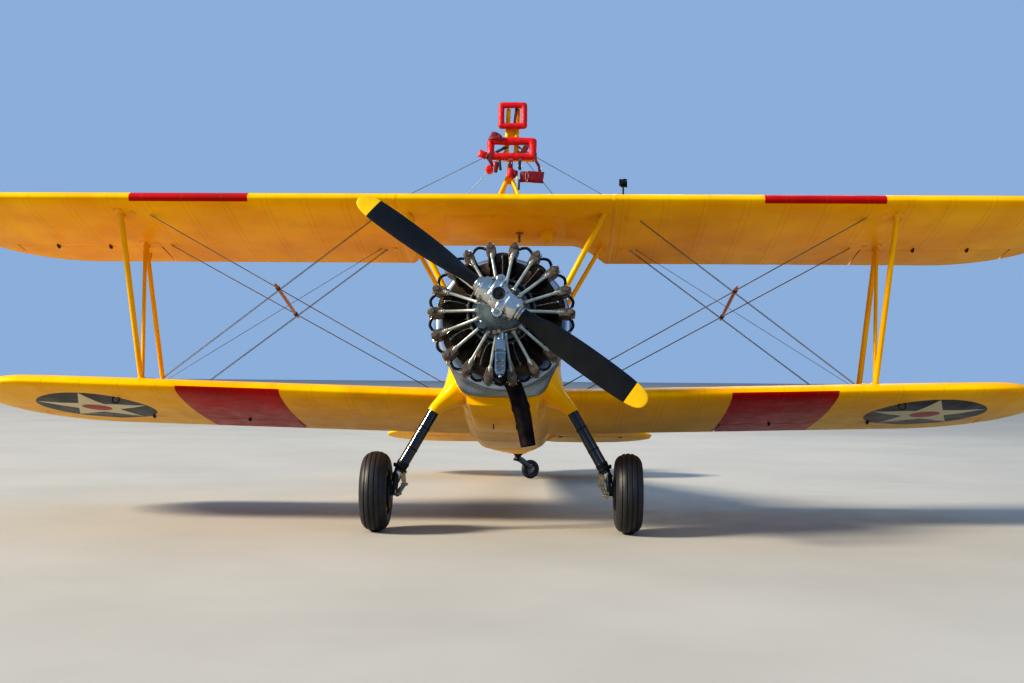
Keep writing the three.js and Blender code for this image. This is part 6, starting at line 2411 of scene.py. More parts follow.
for side, sign in SIDES:
    tops = {row: in_wing("upper", STRUT_TOP, y) for row, y in SPARS.items()}
    feet = {row: in_wing("lower", STRUT_FOOT, y) for row, y in SPARS.items()}
    bars = [
        strut(feet["front"], tops["front"], 0.096, 0.042),
        strut(feet["rear"], tops["rear"], 0.084, 0.038),
        strut(feet["front"], tops["rear"], 0.064, 0.03),
    ]
    collars = [
        collar(feet[row], tops[row], share, 0.09 if row == "front" else 0.08, 0.044)
        for row in SPARS
        for share in COLLARS_AT
    ]
    plates = [skin_plate("upper", UNDER_UPPER, STRUT_TOP, y, 0.075, 0.16) for y in SPARS.values()]
    plates += [skin_plate("lower", OVER_LOWER, STRUT_FOOT, y, 0.075, 0.16) for y in SPARS.values()]
    heads = []
    for row, y in SPARS.items():
        for level, x, skin, ends in (
            ("upper", STRUT_TOP, UNDER_UPPER, tops), ("lower", STRUT_FOOT, OVER_LOWER, feet)
        ):
            for dx, dy in ((0.024, 0.055), (-0.024, 0.055), (0.024, -0.055), (-0.024, -0.055)):
                z = float(
                    skin_height(
                        np.array([x + dx]), np.array([y + dy]), skin, WINGS[level]["tip"]
                    )[0]
                ) + skin * 0.005
                heads.append(
                    bolt_head(in_wing(level, x + dx, y + dy, z), (0, 0, skin), 0.007, 0.006)
                )
    for row in SPARS:
        for share in COLLARS_AT:
            spot = feet[row] + (tops[row] - feet[row]) * share
            heads += [
                bolt_head(spot + (s * 0.021, dy, 0), (s, 0, 0), 0.006, 0.006)
                for s in (1, -1)
                for dy in (-0.012, 0.016)
            ]
    piece(
        f"interplane_strut_set_{side}",
        {
            "yellow enamel": flipped([*bars, *collars, *plates], sign),
            "cadmium plate": flipped(heads, sign),
        },
        "airframe", [f"interplane_struts_{side}"],
    )
    for row, top, foot, chord, thick in (
        ("front", (0.866, -0.184, 2.44), (0.38, -0.06, 1.5), 0.072, 0.044),
        ("rear", (0.866, 0.6, 2.38), (0.372, 0.62, 1.5), 0.06, 0.036),
    ):
        low, high = np.array(foot), np.array(top)
        clamps = [
            collar(low, high, share, chord * 1.12, thick * 1.16, long)
            for share, long in ((0.86, 0.05), (0.9, 0.012), (0.1, 0.05))
        ]
        bolts = [
            bolt_head(
                low + (high - low) * 0.86 + (s * thick * 0.55, dy, 0), (s, 0, 0), 0.007, 0.009
            )
            for s in (1, -1)
            for dy in (-0.014, 0.018)
        ]
        shoe = lathe(
            [(0, -0.03), (0.05, -0.03), (0.056, -0.01), (0.045, 0.012), (0.03, 0.03), (0, 0.03)],
            28, low + (high - low) * 0.018, unit(high - low),
        )
        piece(
            f"cabane_strut_{row}_dressed_{side}",
            {
                "yellow enamel": flipped(
                    [strut(low, high, chord, thick, 0.8), *clamps, shoe], sign
                ),
                "cadmium plate": flipped(bolts, sign),
            },
            "airframe", [f"cabane_strut_{row}_{side}"],
        )
print("strut length", round(float(np.linalg.norm(tops["front"] - feet["front"])), 3))

# %% Wires, their ends, the crossing rods and the aileron rods
def wire(a, b, size=(0.0105, 0.005)):
    """A flat wire with a threaded barrel and a fork at each end, as one group of shapes."""
    a, b = np.asarray(a), np.asarray(b)
    along = unit(b - a)
    barrel = [
        (0, 0.02), (0.0065, 0.02), (0.0075, 0.03), (0.0075, 0.095), (0.0045, 0.11), (0.0045, 0.15),
        (0, 0.15),
    ]
    ends = [lathe(barrel, 12, spot, way) for spot, way in ((a, along), (b, -along))]
    forks = [
        block(
            (0.014, 0.022, 0.05), spot + way * 0.012,
            (np.cross(Y, way) / np.linalg.norm(np.cross(Y, way)), Y, way),
        )
        for spot, way in ((a, along), (b, -along))
    ]
    return sweep(np.stack([a, b]), oval(*size, 10), Y), [*ends, *forks]


def crossing(p, q, r, s):
    """Where two lines cross, seen from the front, as a point of the first."""
    t = ((r[0] - p[0]) * (s[2] - r[2]) - (r[2] - p[2]) * (s[0] - r[0])) / (
        (q[0] - p[0]) * (s[2] - r[2]) - (q[2] - p[2]) * (s[0] - r[0])
    )
    return p + (q - p) * t


UPPER_IN, UPPER_OUT = 1.03, STRUT_TOP - 0.11
BELLY_AT = {"front": 0.43, "rear": 1.18}
FLYING_AT = {"front": SPARS["front"] + 0.02, "rear": SPARS["rear"] + 0.01}
LANDING_AT = {"front": SPARS["front"] + 0.1, "rear": SPARS["rear"] + 0.13}
flying = {
    row: (np.array([0.4, BELLY_AT[row], 0.96]), in_wing("upper", UPPER_OUT, FLYING_AT[row]))
    for row in SPARS
}
landing = {
    row: (
        in_wing("upper", UPPER_IN, LANDING_AT[row]),
        in_wing("lower", STRUT_FOOT, y) - (0.06, 0, 0),
    )
    for row, y in SPARS.items()
}
for side, sign in SIDES:
    wires, ends = [], []
    for a, b in (*flying.values(), *landing.values()):
        for dy in (-0.012, 0.012):
            line, tips = wire(a + (0, dy, 0), b + (0, dy, 0), (0.0085, 0.0045))
            wires.append(line)
            ends += tips
    line, tips = wire(
        landing["rear"][0] + (0.05, 0, 0), landing["front"][1] + (0, 0.05, 0.0), (0.006, 0.004)
    )
    wires.append(line)
    ends += tips
    front, rear = (crossing(*flying[row], *landing[row]) for row in SPARS)
    stick = [front + (rear - front) * t for t in (-0.14, -0.1, 0.5, 1.1, 1.14)]
    rod_shape = sweep(np.array(stick), oval(0.032, 0.032, 20), X, scale=[0.5, 0.86, 1, 0.86, 0.5])
    clips = [
        lathe(
            [(0.0162, -0.02), (0.019, -0.018), (0.019, 0.018), (0.0162, 0.02)], 20, spot,
            unit(rear - front), closed=True,
        )
        for spot in (front, rear)
    ]
    eyes = [skin_plate("upper", UNDER_UPPER, UPPER_IN, y, 0.05, 0.09) for y in LANDING_AT.values()]
    eyes += [skin_plate("upper", UNDER_UPPER, UPPER_OUT, y, 0.05, 0.08) for y in FLYING_AT.values()]
    eyes += [
        skin_plate("lower", OVER_LOWER, STRUT_FOOT - 0.075, y, 0.06, 0.08) for y in SPARS.values()
    ]
    piece(
        f"wire_set_{side}",
        {
            "stainless wire": flipped(wires, sign),
            "cadmium plate": flipped(ends, sign),
            "varnished wood": [mirrored(rod_shape, sign)],
            "black enamel": flipped(clips, sign),
            "yellow enamel": flipped(eyes, sign),
        },
        "airframe", [f"rigging_{side}"],
    )
    step = LINK["lug"] / 2 + 0.009 + 0.006
    low, high = (
        wing_place(
            np.array([LINK_AT[level][0] + step, HINGE + LINK["behind"], LINK_AT[level][1]]),
            WINGS[level], 1,
        )
        for level in ("lower", "upper")
    )
    along = unit(high - low)
    tube = sweep(
        low + (high - low) * np.array([0.02, 0.05, 0.08, 0.9, 0.93, 0.975])[:, None],
        oval(0.018, 0.018, 16), Y, scale=[0.5, 0.55, 1, 1, 0.55, 0.5],
    )
    eyes = [
        lathe(
            [
                (0, -0.0045), (0.009, -0.0045), (0.0105, -0.002), (0.0105, 0.002), (0.009, 0.0045),
                (0, 0.0045),
            ],
            20, spot, X,
        )
        for spot in (low, high)
    ]
    shanks = [rod(low, low + along * 0.06, 0.0045), rod(high, high - along * 0.06, 0.0045)]
    piece(
        f"aileron_rod_{side}",
        {
            "yellow enamel": [mirrored(tube, sign)],
            "cadmium plate": flipped([*eyes, *shanks], sign),
        },
        f"aileron_link_{side}", [f"aileron_link_{side}"],
    )
print("wires cross at", front.round(3), rear.round(3))

# %% [markdown]
# Small fittings stand on the wings: hinge brackets under the ailerons, tie-down rings under the
# outer wing, and a little camera on a stalk.

# %% Small fittings on the wings
TIE_X, TIE_Y, lower_tip = 3.42, 0.28, WINGS["lower"]["tip"]
for side, sign in SIDES:
    rings, brackets = [], []
    spot = in_wing(
        "lower", TIE_X, TIE_Y,
        float(skin_height(np.array([TIE_X]), np.array([TIE_Y]), -1, lower_tip)[0]) - 0.022,
    )
    circle = 2 * np.pi * np.arange(28) / 28
    rings.append(
        sweep(
            spot + 0.03 * (np.cos(circle)[:, None] * X + np.sin(circle)[:, None] * Z),
            oval(0.011, 0.011, 10), Y, closed=True,
        )
    )
    rings.append(rod(spot + (0, 0, 0.02), spot + (0, 0, 0.045), 0.008))
    for level, spots in (("upper", (3.62, 4.1)), ("lower", (2.4, 3.3))):
        for x in spots:
            skin = [
                skin_height(np.array([x]), np.array([y]), -1, WINGS[level]["tip"])[0] - 0.002
                for y in (1.0, 1.055)
            ]
            outline = np.array(
                [
                    (0.985, skin[0] + 0.004), (1.062, skin[1] + 0.004), (1.062, skin[1] - 0.016),
                    (1.045, skin[1] - 0.024), (1.02, skin[1] - 0.022),
                ]
            )
            shape = slab(outline, 0.014, (x, 0, 0), Y, Z)
            brackets.append(moved(shape, lambda p, level=level: wing_place(p, WINGS[level], 1)))
    piece(
        f"wing_fittings_{side}", {"black enamel": flipped([*rings, *brackets], sign)},
        "airframe", bevel=0.001,
    )
body = block((0.068, 0.046, 0.047), (1.01, 0.118, 2.765))
lens = lathe(
    [
        (0, 0), (0.019, 0), (0.021, 0.004), (0.021, 0.012), (0.016, 0.014), (0.014, 0.009),
        (0, 0.008),
    ],
    28, (1.022, 0.096, 2.768), -Y,
)
stalk = [
    rod((1.01, 0.12, 2.45), (1.01, 0.12, 2.745), 0.0085, 16),
    lathe(
        [(0, 0), (0.034, 0), (0.036, 0.006), (0.02, 0.014), (0.012, 0.03), (0, 0.03)], 28,
        (1.01, 0.12, 2.5075), Z,
    ),
]
knuckle = [
    rod((0.988, 0.12, 2.735), (1.032, 0.12, 2.735), 0.011, 16),
    rod((1.032, 0.12, 2.735), (1.045, 0.12, 2.735), 0.014, 6),
]
glass = lathe(
    [(0, 0.0085), (0.0135, 0.0085), (0.011, 0.0115), (0, 0.0125)], 24, (1.022, 0.096, 2.768), -Y
)
piece(
    "wing_camera_parts",
    {"black enamel": [body, lens, *stalk, *knuckle], "navy gloss enamel": [glass]}, "airframe",
    ["wing_camera"], bevel=0.0015,
)

# %% [markdown]
# ## Tail surfaces
#
# Fin, rudder, tailplane and elevator are flat steel frames with fabric on both sides. Along the
# span, each is a row of chord lines between a front and a rear curve. Its half thickness rises
# from the front edge as a quarter circle, sqrt(1 - (1 - d)^2), and falls the same way at the
# rear, with a slight pull between ribs. Pockets are cut for the hinge brackets.

# %% Fabric-covered surfaces
TAIL_PITCH = 0.26
TAILPLANE_Z = 1.45


def rounding(distance, length):
    """Rise from an edge along a quarter circle."""
    return np.sqrt(np.clip(1 - (1 - np.clip(distance / length, 0, 1)) ** 2, 0, 1))


def tail_skin(span, front, rear, thick, radii, taper, onto, end_round=0.04, cols=40):
    """Both sides of a surface: (span, chord place, height) put on the aeroplane by onto."""
    u = (1 - np.cos(np.pi * np.linspace(0, 1, cols))) / 2
    y = front[:, None] + (rear - front)[:, None] * u
    half = thick / 2 * rounding(
        y - front[:, None], radii[0]
    ) * rounding(rear[:, None] - y, radii[1])
    half = half * (1 - taper * (y - y.min()) / np.ptp(y))
    inner, outer = np.abs(span - span[0])[:, None], np.abs(span[-1] - span)[:, None]
    half = half * rounding(inner + 0.002, end_round) * rounding(outer, end_round)
    inside = np.clip((y - front[:, None]) / 0.08, 0, 1) * np.clip((rear[:, None] - y) / 0.08, 0, 1)
    half = half - 0.0028 * np.sin(np.pi * span[:, None] / TAIL_PITCH) ** 2 * inside
    along = np.broadcast_to(span[:, None], y.shape)
    over = np.stack([along, y, half], -1)
    under = np.stack([along, y, -half], -1)
    rows = np.concatenate([over, under[:, -2:0:-1]], 1)
    uv = np.concatenate([np.stack([along, y], -1), np.stack([along, -y], -1)[:, -2:0:-1]], 1)
    return grid(onto(rows), around=True, ends=True, uv=uv)


def upright(p):
    """Span upwards, chord aft, height across."""
    return np.stack([p[..., 2], p[..., 1], p[..., 0]], -1)


def curve_at(keys, *stretches):
    """Reads a curve made of Bezier stretches at the given keys (its second column)."""
    line = np.concatenate([bezier(stretch, 24) for stretch in stretches])
    order = np.argsort(line[:, 1], kind="stable")
    return np.interp(keys, line[order, 1], line[order, 0])


z = np.linspace(1.481, 2.2385, 64)
fin_front = curve_at(
    z, [(5.02, 1.48), (5.02, 1.54)], [(5.02, 1.54), (5.28, 1.62), (5.44, 1.9)],
    [(5.44, 1.9), (5.58, 2.19), (5.778, 2.24)],
)
fin_rear = np.where(z < 1.53, 5.69 + (z - 1.48) * 1.76, 5.778)
fin_skin = tail_skin(z, fin_front, fin_rear, 0.05, (0.06, 0.012), 0.1, upright, 0.02)
BRACKETS = {"fin": (1.6, 2.1), "stern": 1.275, "elevator": (0.52, 1.28)}
HINGE_Y = {"rudder": 5.83, "elevator": 5.735}


def bracket(place, arm, pin_axis):
    """A short arm with the hinge pin across its end."""
    return [
        block(arm[0], np.add(place, arm[1])),
        rod(
            np.subtract(place, np.multiply(pin_axis, 0.03)),
            np.add(place, np.multiply(pin_axis, 0.03)), 0.0058, 12,
        ),
    ]


FIN_ARM = ((0.024, 0.07, 0.016), (0, -0.026, 0))
fin_arms = sum((bracket((0, HINGE_Y["rudder"], h), FIN_ARM, Z) for h in BRACKETS["fin"]), [])
piece(
    "fin_skin", {"doped fabric, tail": [fin_skin], "cadmium plate": fin_arms}, "airframe",
    ["fin"],
)

z = np.linspace(1.211, 2.2765, 90)
top = bezier([(5.806, 2.255), (5.89, 2.305), (6.02, 2.26)], 40)
peak = int(np.argmax(top[:, 1]))
rudder_front = np.where(z < 2.255, 5.806, np.interp(z, top[:peak + 1, 1], top[:peak + 1, 0]))
falling = np.concatenate(
    [
        top[peak:], bezier([(6.02, 2.26), (6.32, 2.12), (6.44, 1.96), (6.44, 1.74)], 30),
        bezier([(6.44, 1.74), (6.44, 1.48), (6.31, 1.28), (5.99, 1.21)], 30),
    ]
)
rudder_rear = np.interp(z, falling[::-1, 1], falling[::-1, 0])
rudder_skin = mesh_object(
    "rudder_skin",
    {
        "doped fabric, tail": [
            tail_skin(z, rudder_front, rudder_rear, 0.052, (0.02, 0.03), 0.62, upright)
        ]
    },
)
pockets = [
    block((0.2, 0.088, 0.028), (0, HINGE_Y["rudder"] - 0.016, h))
    for h in (*BRACKETS["fin"], BRACKETS["stern"])
]
carve(rudder_skin, {"black enamel": pockets})
finished(rudder_skin, "rudder", ["rudder"])

for side, sign in SIDES:
    x = np.linspace(0.03, 1.6745, 110)
    front = curve_at(
        x, [(4.98, 0.02), (5.06, 0.14)], [(5.06, 0.14), (5.17, 1.345), (5.525, 1.565)],
        [(5.525, 1.565), (5.625, 1.655), (5.697, 1.675)],
    )
    plane = tail_skin(
        x, front, np.full_like(x, 5.697), 0.046, (0.06, 0.012), 0.1,
        lambda p: p + (0, 0, TAILPLANE_Z), 0.03,
    )
    arms = sum(
        (
            bracket(
                (sign * px, HINGE_Y["elevator"], TAILPLANE_Z),
                ((0.024, 0.058, 0.016), (0, -0.019, 0)), X,
            )
            for px in BRACKETS["elevator"]
        ),
        [],
    )
    piece(
        f"tailplane_skin_{side}",
        {"doped fabric, tail": [mirrored(plane, sign)], "cadmium plate": arms}, "airframe",
        [f"tailplane_{side}"],
    )

x = np.linspace(0.0845, 1.6745, 120)
rear = curve_at(
    x, [(0.03, 0.084), (0.3, 0.29)], [(0.3, 0.29), (0.43, 0.33), (0.5, 0.43)],
    [(0.5, 0.43), (0.54, 0.62), (0.53, 0.9), (0.5, 1.115)],
    [(0.5, 1.115), (0.43, 1.495), (0.17, 1.695), (-0.02, 1.675)],
)
half = tail_skin(
    x, np.full_like(x, -0.02), rear, 0.042, (0.018, 0.03), 0.6,
    lambda p: p + (0, HINGE_Y["elevator"], TAILPLANE_Z), 0.03,
)
for side, sign in SIDES:
    skin = mesh_object(f"elevator_skin_{side}", {"doped fabric, tail": [mirrored(half, sign)]})
    pockets = [
        block((0.036, 0.088, 0.2), (sign * px, HINGE_Y["elevator"] - 0.016, TAILPLANE_Z))
        for px in BRACKETS["elevator"]
    ]
    carve(skin, {"black enamel": pockets})
    finished(skin, "elevator", ["elevator"])
ends = [(s * 0.11, HINGE_Y["elevator"], TAILPLANE_Z) for s in (-1, 1)]
piece("elevator_tube", {"satin steel": [rod(*ends, 0.0168, 24)]}, "elevator")
print("rudder height", round(float(np.ptp(rudder_front) + np.ptp(z)), 3))

# %% Tail bracing
stays, ends = [], []
for _, sign in SIDES:
    for a, b in (
        ((0.022, 5.36, 1.83), (0.98, 5.36, 1.476)), ((0.022, 5.62, 2.02), (0.98, 5.62, 1.476))
    ):
        line, tips = wire((sign * a[0], *a[1:]), (sign * b[0], *b[1:]), (0.007, 0.004))
        stays.append(line)
        ends += tips
    for y, foot_y in ((5.3, 5.2), (5.62, 5.45)):
        low, high = np.array([sign * 0.07, foot_y, 1.17]), np.array([sign * 0.46, y, 1.435])
        stays.append(
            sweep(
                low + (high - low) * np.linspace(0, 1, 6)[:, None], teardrop(0.042, 0.018, 20), Y,
                scale=[0.6, 1, 1, 1, 1, 0.6],
            )
        )
stern = bracket(
    (0, HINGE_Y["rudder"], BRACKETS["stern"]), ((0.024, 0.14, 0.016), (0, -0.062, 0)), Z
)
piece(
    "tail_bracing",
    {
        "stainless wire": stays[:2] + stays[4:6], "yellow enamel": stays[2:4] + stays[6:],
        "cadmium plate": [*ends, *stern],
    },
    "airframe",
)

# %% [markdown]
# ## Frame for a standing rider
#
# A welded tube frame stands on the wing: four legs meet under one short column, and two posts
# with a web plate rise from the crossbar that carries the waist ring. Wires run out to the wing
# on both sides. The rings, flaps and straps are soft, so each has its own pass below.

# %% Masts, crossbar and stays
RIG_X, RIG_Y = 0.02, 0.3
APEX, BEAM, WAIST, HEAD = 2.872, 3.052, 3.127, 3.443
LEAN_OUT = 0.03


def rig(x, z, y=RIG_Y):
    """A place on the frame, which leans a little to the left going up."""
    return np.array([RIG_X + x + LEAN_OUT * max(z - APEX, 0), y, z])


def on_centre(x, y):
    """The centre section's top at a place seen from above."""
    share = (y - WINGS["upper"]["front"]) / CHORD
    return np.array([x, y, float(centre_point(np.array(x), np.array(share), 1)[2])])


def tube(a, b, radius, sides=20):
    """A straight tube with softly rounded ends."""
    share = np.array([0, 0.006, 0.02, 0.98, 0.994, 1.0])
    path = np.asarray(a) + (np.asarray(b) - a) * share[:, None]
    along = unit(np.subtract(b, a))
    return sweep(
        path, oval(2 * radius, 2 * radius, sides), Y if abs(along[1]) < 0.9 else X,
        scale=[0.86, 0.96, 1, 1, 0.96, 0.86],
    )


legs, feet = [], []
for x, y in ((-0.15, 0.06), (0.15, 0.06), (-0.15, 0.42), (0.15, 0.42)):
    foot = np.array([RIG_X + x, y, 2.455])
    legs.append(
        sweep(
            np.array(
                [rig(x * 0.07 - 0.008, APEX + 0.03), rig(x * 0.14 - 0.008, APEX - 0.01), foot]
            ),
            teardrop(0.044, 0.03, 24), Y,
        )
    )
    feet.append(
        lathe(
            [(0, -0.02), (0.04, -0.02), (0.042, 0.004), (0.03, 0.008), (0.022, 0.03), (0, 0.03)],
            24, on_centre(foot[0], y), Z,
        )
    )
column = tube(rig(-0.008, APEX - 0.03), rig(-0.006, BEAM), 0.0225)
posts = [tube(rig(s * 0.042, BEAM - 0.015), rig(s * 0.042, HEAD + 0.085), 0.0205) for s in (1, -1)]
gusset = slab(
    [(-0.055, -0.06), (0.045, -0.06), (0.018, 0.03), (-0.03, 0.03)], 0.008, rig(0, APEX), X, Z
)
web = slab(
    [(-0.03, 0.34), (0.03, 0.34), (0.03, 0.5), (-0.03, 0.5)], 0.008, rig(0, APEX - 0.02),
    unit(rig(1, APEX) - rig(0, APEX)), unit(rig(0, HEAD) - rig(0, APEX)),
)
crossbar = tube(rig(-0.205, BEAM + 0.012), rig(0.2, BEAM - 0.008), 0.0195)
plugs = [
    lathe(
        [(0, -0.004), (0.0175, -0.004), (0.0185, 0.0), (0.016, 0.004), (0, 0.004)], 20, rig(x, z), X
    )
    for x, z in ((-0.205, BEAM + 0.012), (0.2, BEAM - 0.008))
]
saddles = [block((0.052, 0.06, 0.03), rig(s * 0.042, BEAM)) for s in (1, -1)]
bolts = [
    bolt_head(rig(s * 0.042 + dx, BEAM + dz) - (0, 0.03, 0), (0, -1, 0), 0.006, 0.006)
    for s in (1, -1)
    for dx in (-0.014, 0.014)
    for dz in (-0.006, 0.008)
]
bolts += [
    bolt_head(rig(s * 0.042, z) - (0, 0.0205, 0), (0, -1, 0), 0.005, 0.005)
    for s in (1, -1)
    for z in (3.1, 3.22, 3.3, 3.42)
]
stays, stay_ends, pads = [], [], []
for x, z, ax, ay in (
    (-0.045, 3.172, -1.2, 0.3), (0.045, 3.174, 1.1, 0.3), (-0.045, 3.13, -0.64, 0.56),
    (0.045, 3.145, 0.61, 0.56),
):
    anchor = on_centre(RIG_X + ax, ay)
    line, tips = wire(rig(x, z), anchor + (0, 0, 0.05), (0.0055, 0.0055))
    stays.append(line)
    stay_ends += tips
    stay_ends.append(block((0.03, 0.008, 0.06), anchor + (0, 0, 0.03)))
    pads.append(
        lathe(
            [(0, -0.02), (0.034, -0.02), (0.035, 0.002), (0.03, 0.006), (0, 0.006)], 24, anchor, Z
        )
    )
    if ay < 0.5:
        pads.append(
            slab(
                [(-0.036, -0.02), (0.036, -0.02), (0.032, 0.02), (0.008, 0.036), (-0.026, 0.024)],
                0.05, anchor, X * np.sign(ax), Z,
            )
        )
piece(
    "rider_frame",
    {
        "yellow enamel": [*legs, *feet, column, *posts, gusset, web, crossbar, *saddles, *pads],
        "stainless wire": stays, "cadmium plate": [*stay_ends, *bolts], "black rubber": plugs,
    },
    "airframe", ["rig_mast"], bevel=0.0008,
)
print("frame height over the wing", round(HEAD + 0.125 - 2.5, 3))

# %% [markdown]
# ### Padded rings
#
# Each ring is foam tube in coated fabric. Its section angle s moves the outline between a
# smaller and a larger rounded rectangle, which keeps the corners square without folding. Then
# the cover is blown up a little: the shape is remeshed to even squares, and the Cloth modifier
# presses it outwards with more fabric than it needs, so it creases. A limit on how far a point
# may move keeps it in its place.

# %% Soft pads
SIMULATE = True


def puffed(made, limit, voxel=0.005, pressure=4.0, spare=-0.08):
    """Blows a closed soft shape up with Cloth for twenty frames, and applies the result."""
    remesh = made.modifiers.new("even", "REMESH")
    remesh.mode = "VOXEL"
    remesh.voxel_size = voxel
    settled(made)
    if SIMULATE:
        count = len(made.data.vertices)
        before = np.empty(count * 3, np.float32)
        made.data.vertices.foreach_get("co", before)
        cloth = made.modifiers.new("cloth", "CLOTH")
        cloth.settings.use_pressure = True
        cloth.settings.uniform_pressure_force = pressure
        cloth.settings.shrink_min = spare
        cloth.settings.effector_weights.gravity = 0
        cloth.settings.quality = 6
        cloth.settings.bending_stiffness = 0.3
        for number in range(1, 21):
            bpy.context.scene.frame_set(number)
        settled(made)
        after = np.empty(count * 3, np.float32)
        made.data.vertices.foreach_get("co", after)
        step = (after - before).reshape(-1, 3)
        step -= step.mean(0)
        length = np.linalg.norm(step, axis=1, keepdims=True)
        step *= np.minimum(1, limit / np.maximum(length, 1e-9))
        made.data.vertices.foreach_set("co", (before.reshape(-1, 3) + step).ravel())
        bpy.context.scene.frame_set(1)
    smooth = made.modifiers.new("smooth", "SUBSURF")
    smooth.levels = smooth.render_levels = 1
    return made


def round_rect(half_x, half_z, corner, arc=9, side=9):
    """A rounded rectangle in X and Z with the same count of points whatever its size."""
    points = []
    for k, (sx, sz) in enumerate(((1, 1), (-1, 1), (-1, -1), (1, -1))):
        a = np.radians(90 * k + np.linspace(0, 90, arc))
        points.append(
            np.stack(
                [
                    sx * (half_x - corner) + corner * np.cos(a),
                    sz * (half_z - corner) + corner * np.sin(a),
                ],
                -1,
            )
        )
    outline = []
    for part, following in zip(points, points[1:] + points[:1]):
        gap = np.linspace(0, 1, side + 2)[1:-1, None]
        outline += [part, part[-1] + (following[0] - part[-1]) * gap]
    return np.concatenate(outline)


def soft_ring(centre, half_x, half_z, radius, corners, around=22, lumps=0.0):
    """Rounded rectangles whose half sizes grow by r cos s while the depth goes as r sin s."""
    s = 2 * np.pi * np.arange(around) / around
    rows = []
    for angle in s:
        grow, deep = radius * math.cos(angle), radius * math.sin(angle)
        corner = corners[0] + (corners[1] - corners[0]) * (1 + math.cos(angle)) / 2
        flat = round_rect(half_x + grow, half_z + grow, corner)
        rows.append(np.stack([flat[:, 0], np.full(len(flat), deep), flat[:, 1]], -1))
    points = np.stack(rows, 1)
    middle = points.mean(1, keepdims=True)
    along = np.arange(len(points))[:, None, None]
    points = middle + (points - middle) * (
        1 + lumps * np.sin(along * 0.55) + lumps * np.sin(along * 0.21 + 1)
    )
    return grid(points + centre, around=True, ring=True)


head_ring = mesh_object(
    "head_ring_pad",
    {
        "red coated fabric": [
            soft_ring(
                rig(0, HEAD + 0.002, RIG_Y - 0.0495), 0.099, 0.096, 0.0275, (0.005, 0.03),
                lumps=0.01,
            )
        ]
    },
)
finished(puffed(head_ring, 0.004), "airframe", ["rig_head_pad"], crease=60)
waist_ring = mesh_object(
    "waist_ring_pad",
    {
        "red coated fabric": [
            soft_ring(
                rig(0.005, WAIST, RIG_Y - 0.052), 0.182, 0.071, 0.032, (0.008, 0.045), lumps=0.06
            )
        ]
    },
)
finished(puffed(waist_ring, 0.006), "airframe", ["rig_waist_ring"], crease=60)

# %% [markdown]
# ### Hanging pads, flaps and straps
#
# Every loose piece is a cushion worked out from its corner points: a flat sheet between four
# edges, thickened as a pillow, sin(pi u)^0.4 sin(pi v)^0.4, and blown up in the same way. The
# straps are flat webbing carried along their paths.

# %% Cushions from four corners
HANG = np.array([0.01, 0.0, -0.02])


def cushion(corners, thick, sag=0.0, bend=0.0, size=26):
    """A pillow over a bilinear patch; sag lowers its lower edge, bend bulges it to the front."""
    a, b, c, d = (np.asarray(p, float) + HANG for p in corners)
    u, v = np.meshgrid(np.linspace(0, 1, size), np.linspace(0, 1, size), indexing="ij")
    u3, v3 = u[..., None], v[..., None]
    flat = (a * (1 - u3) + b * u3) * (1 - v3) + (d * (1 - u3) + c * u3) * v3
    normal = unit(np.cross(b - a, d - a))
    dome = np.sin(np.pi * u) ** 0.4 * np.sin(np.pi * v) ** 0.4
    flat = flat + (
        np.sin(np.pi * u) * v * sag
    )[..., None] * -Z + (np.sin(np.pi * u) * bend)[..., None] * normal
    front, back = (flat + normal * (s * thick / 2 * dome)[..., None] for s in (1, -1))
    edge = np.concatenate([front[0, :-1], front[:-1, -1], front[-1, :0:-1], front[:0:-1, 0]])
    return merged(
        [grid(front), grid(back), grid(np.stack([edge, edge + 1e-7 * normal]), around=True)]
    )


def strap(path, wide, thick=0.0035, facing=Y, steps=8):
    """Flat webbing whose face looks along the given direction."""
    line = spline(np.asarray(path) + HANG, steps)
    along = unit(np.gradient(line, axis=0))
    face = unit(facing - (along @ facing)[:, None] * along)
    across = np.cross(along, face)
    outline = oval(wide, thick, 12, 5.0)
    points = line[:, None] + outline[None, :, :1] * across[:, None] + outline[
        None, :, 1:
    ] * face[:, None]
    return grid(points, around=True, ends=True)


def wire_loop(centre, wide, high, count, section):
    """A thin closed ring, an ellipse in X and Z."""
    x, y, z = centre
    path = [
        (x + wide * math.cos(a), y, z + high * math.sin(a))
        for a in 2 * np.pi * np.arange(count) / count
    ]
    return sweep(np.array(path), section, Y, closed=True)


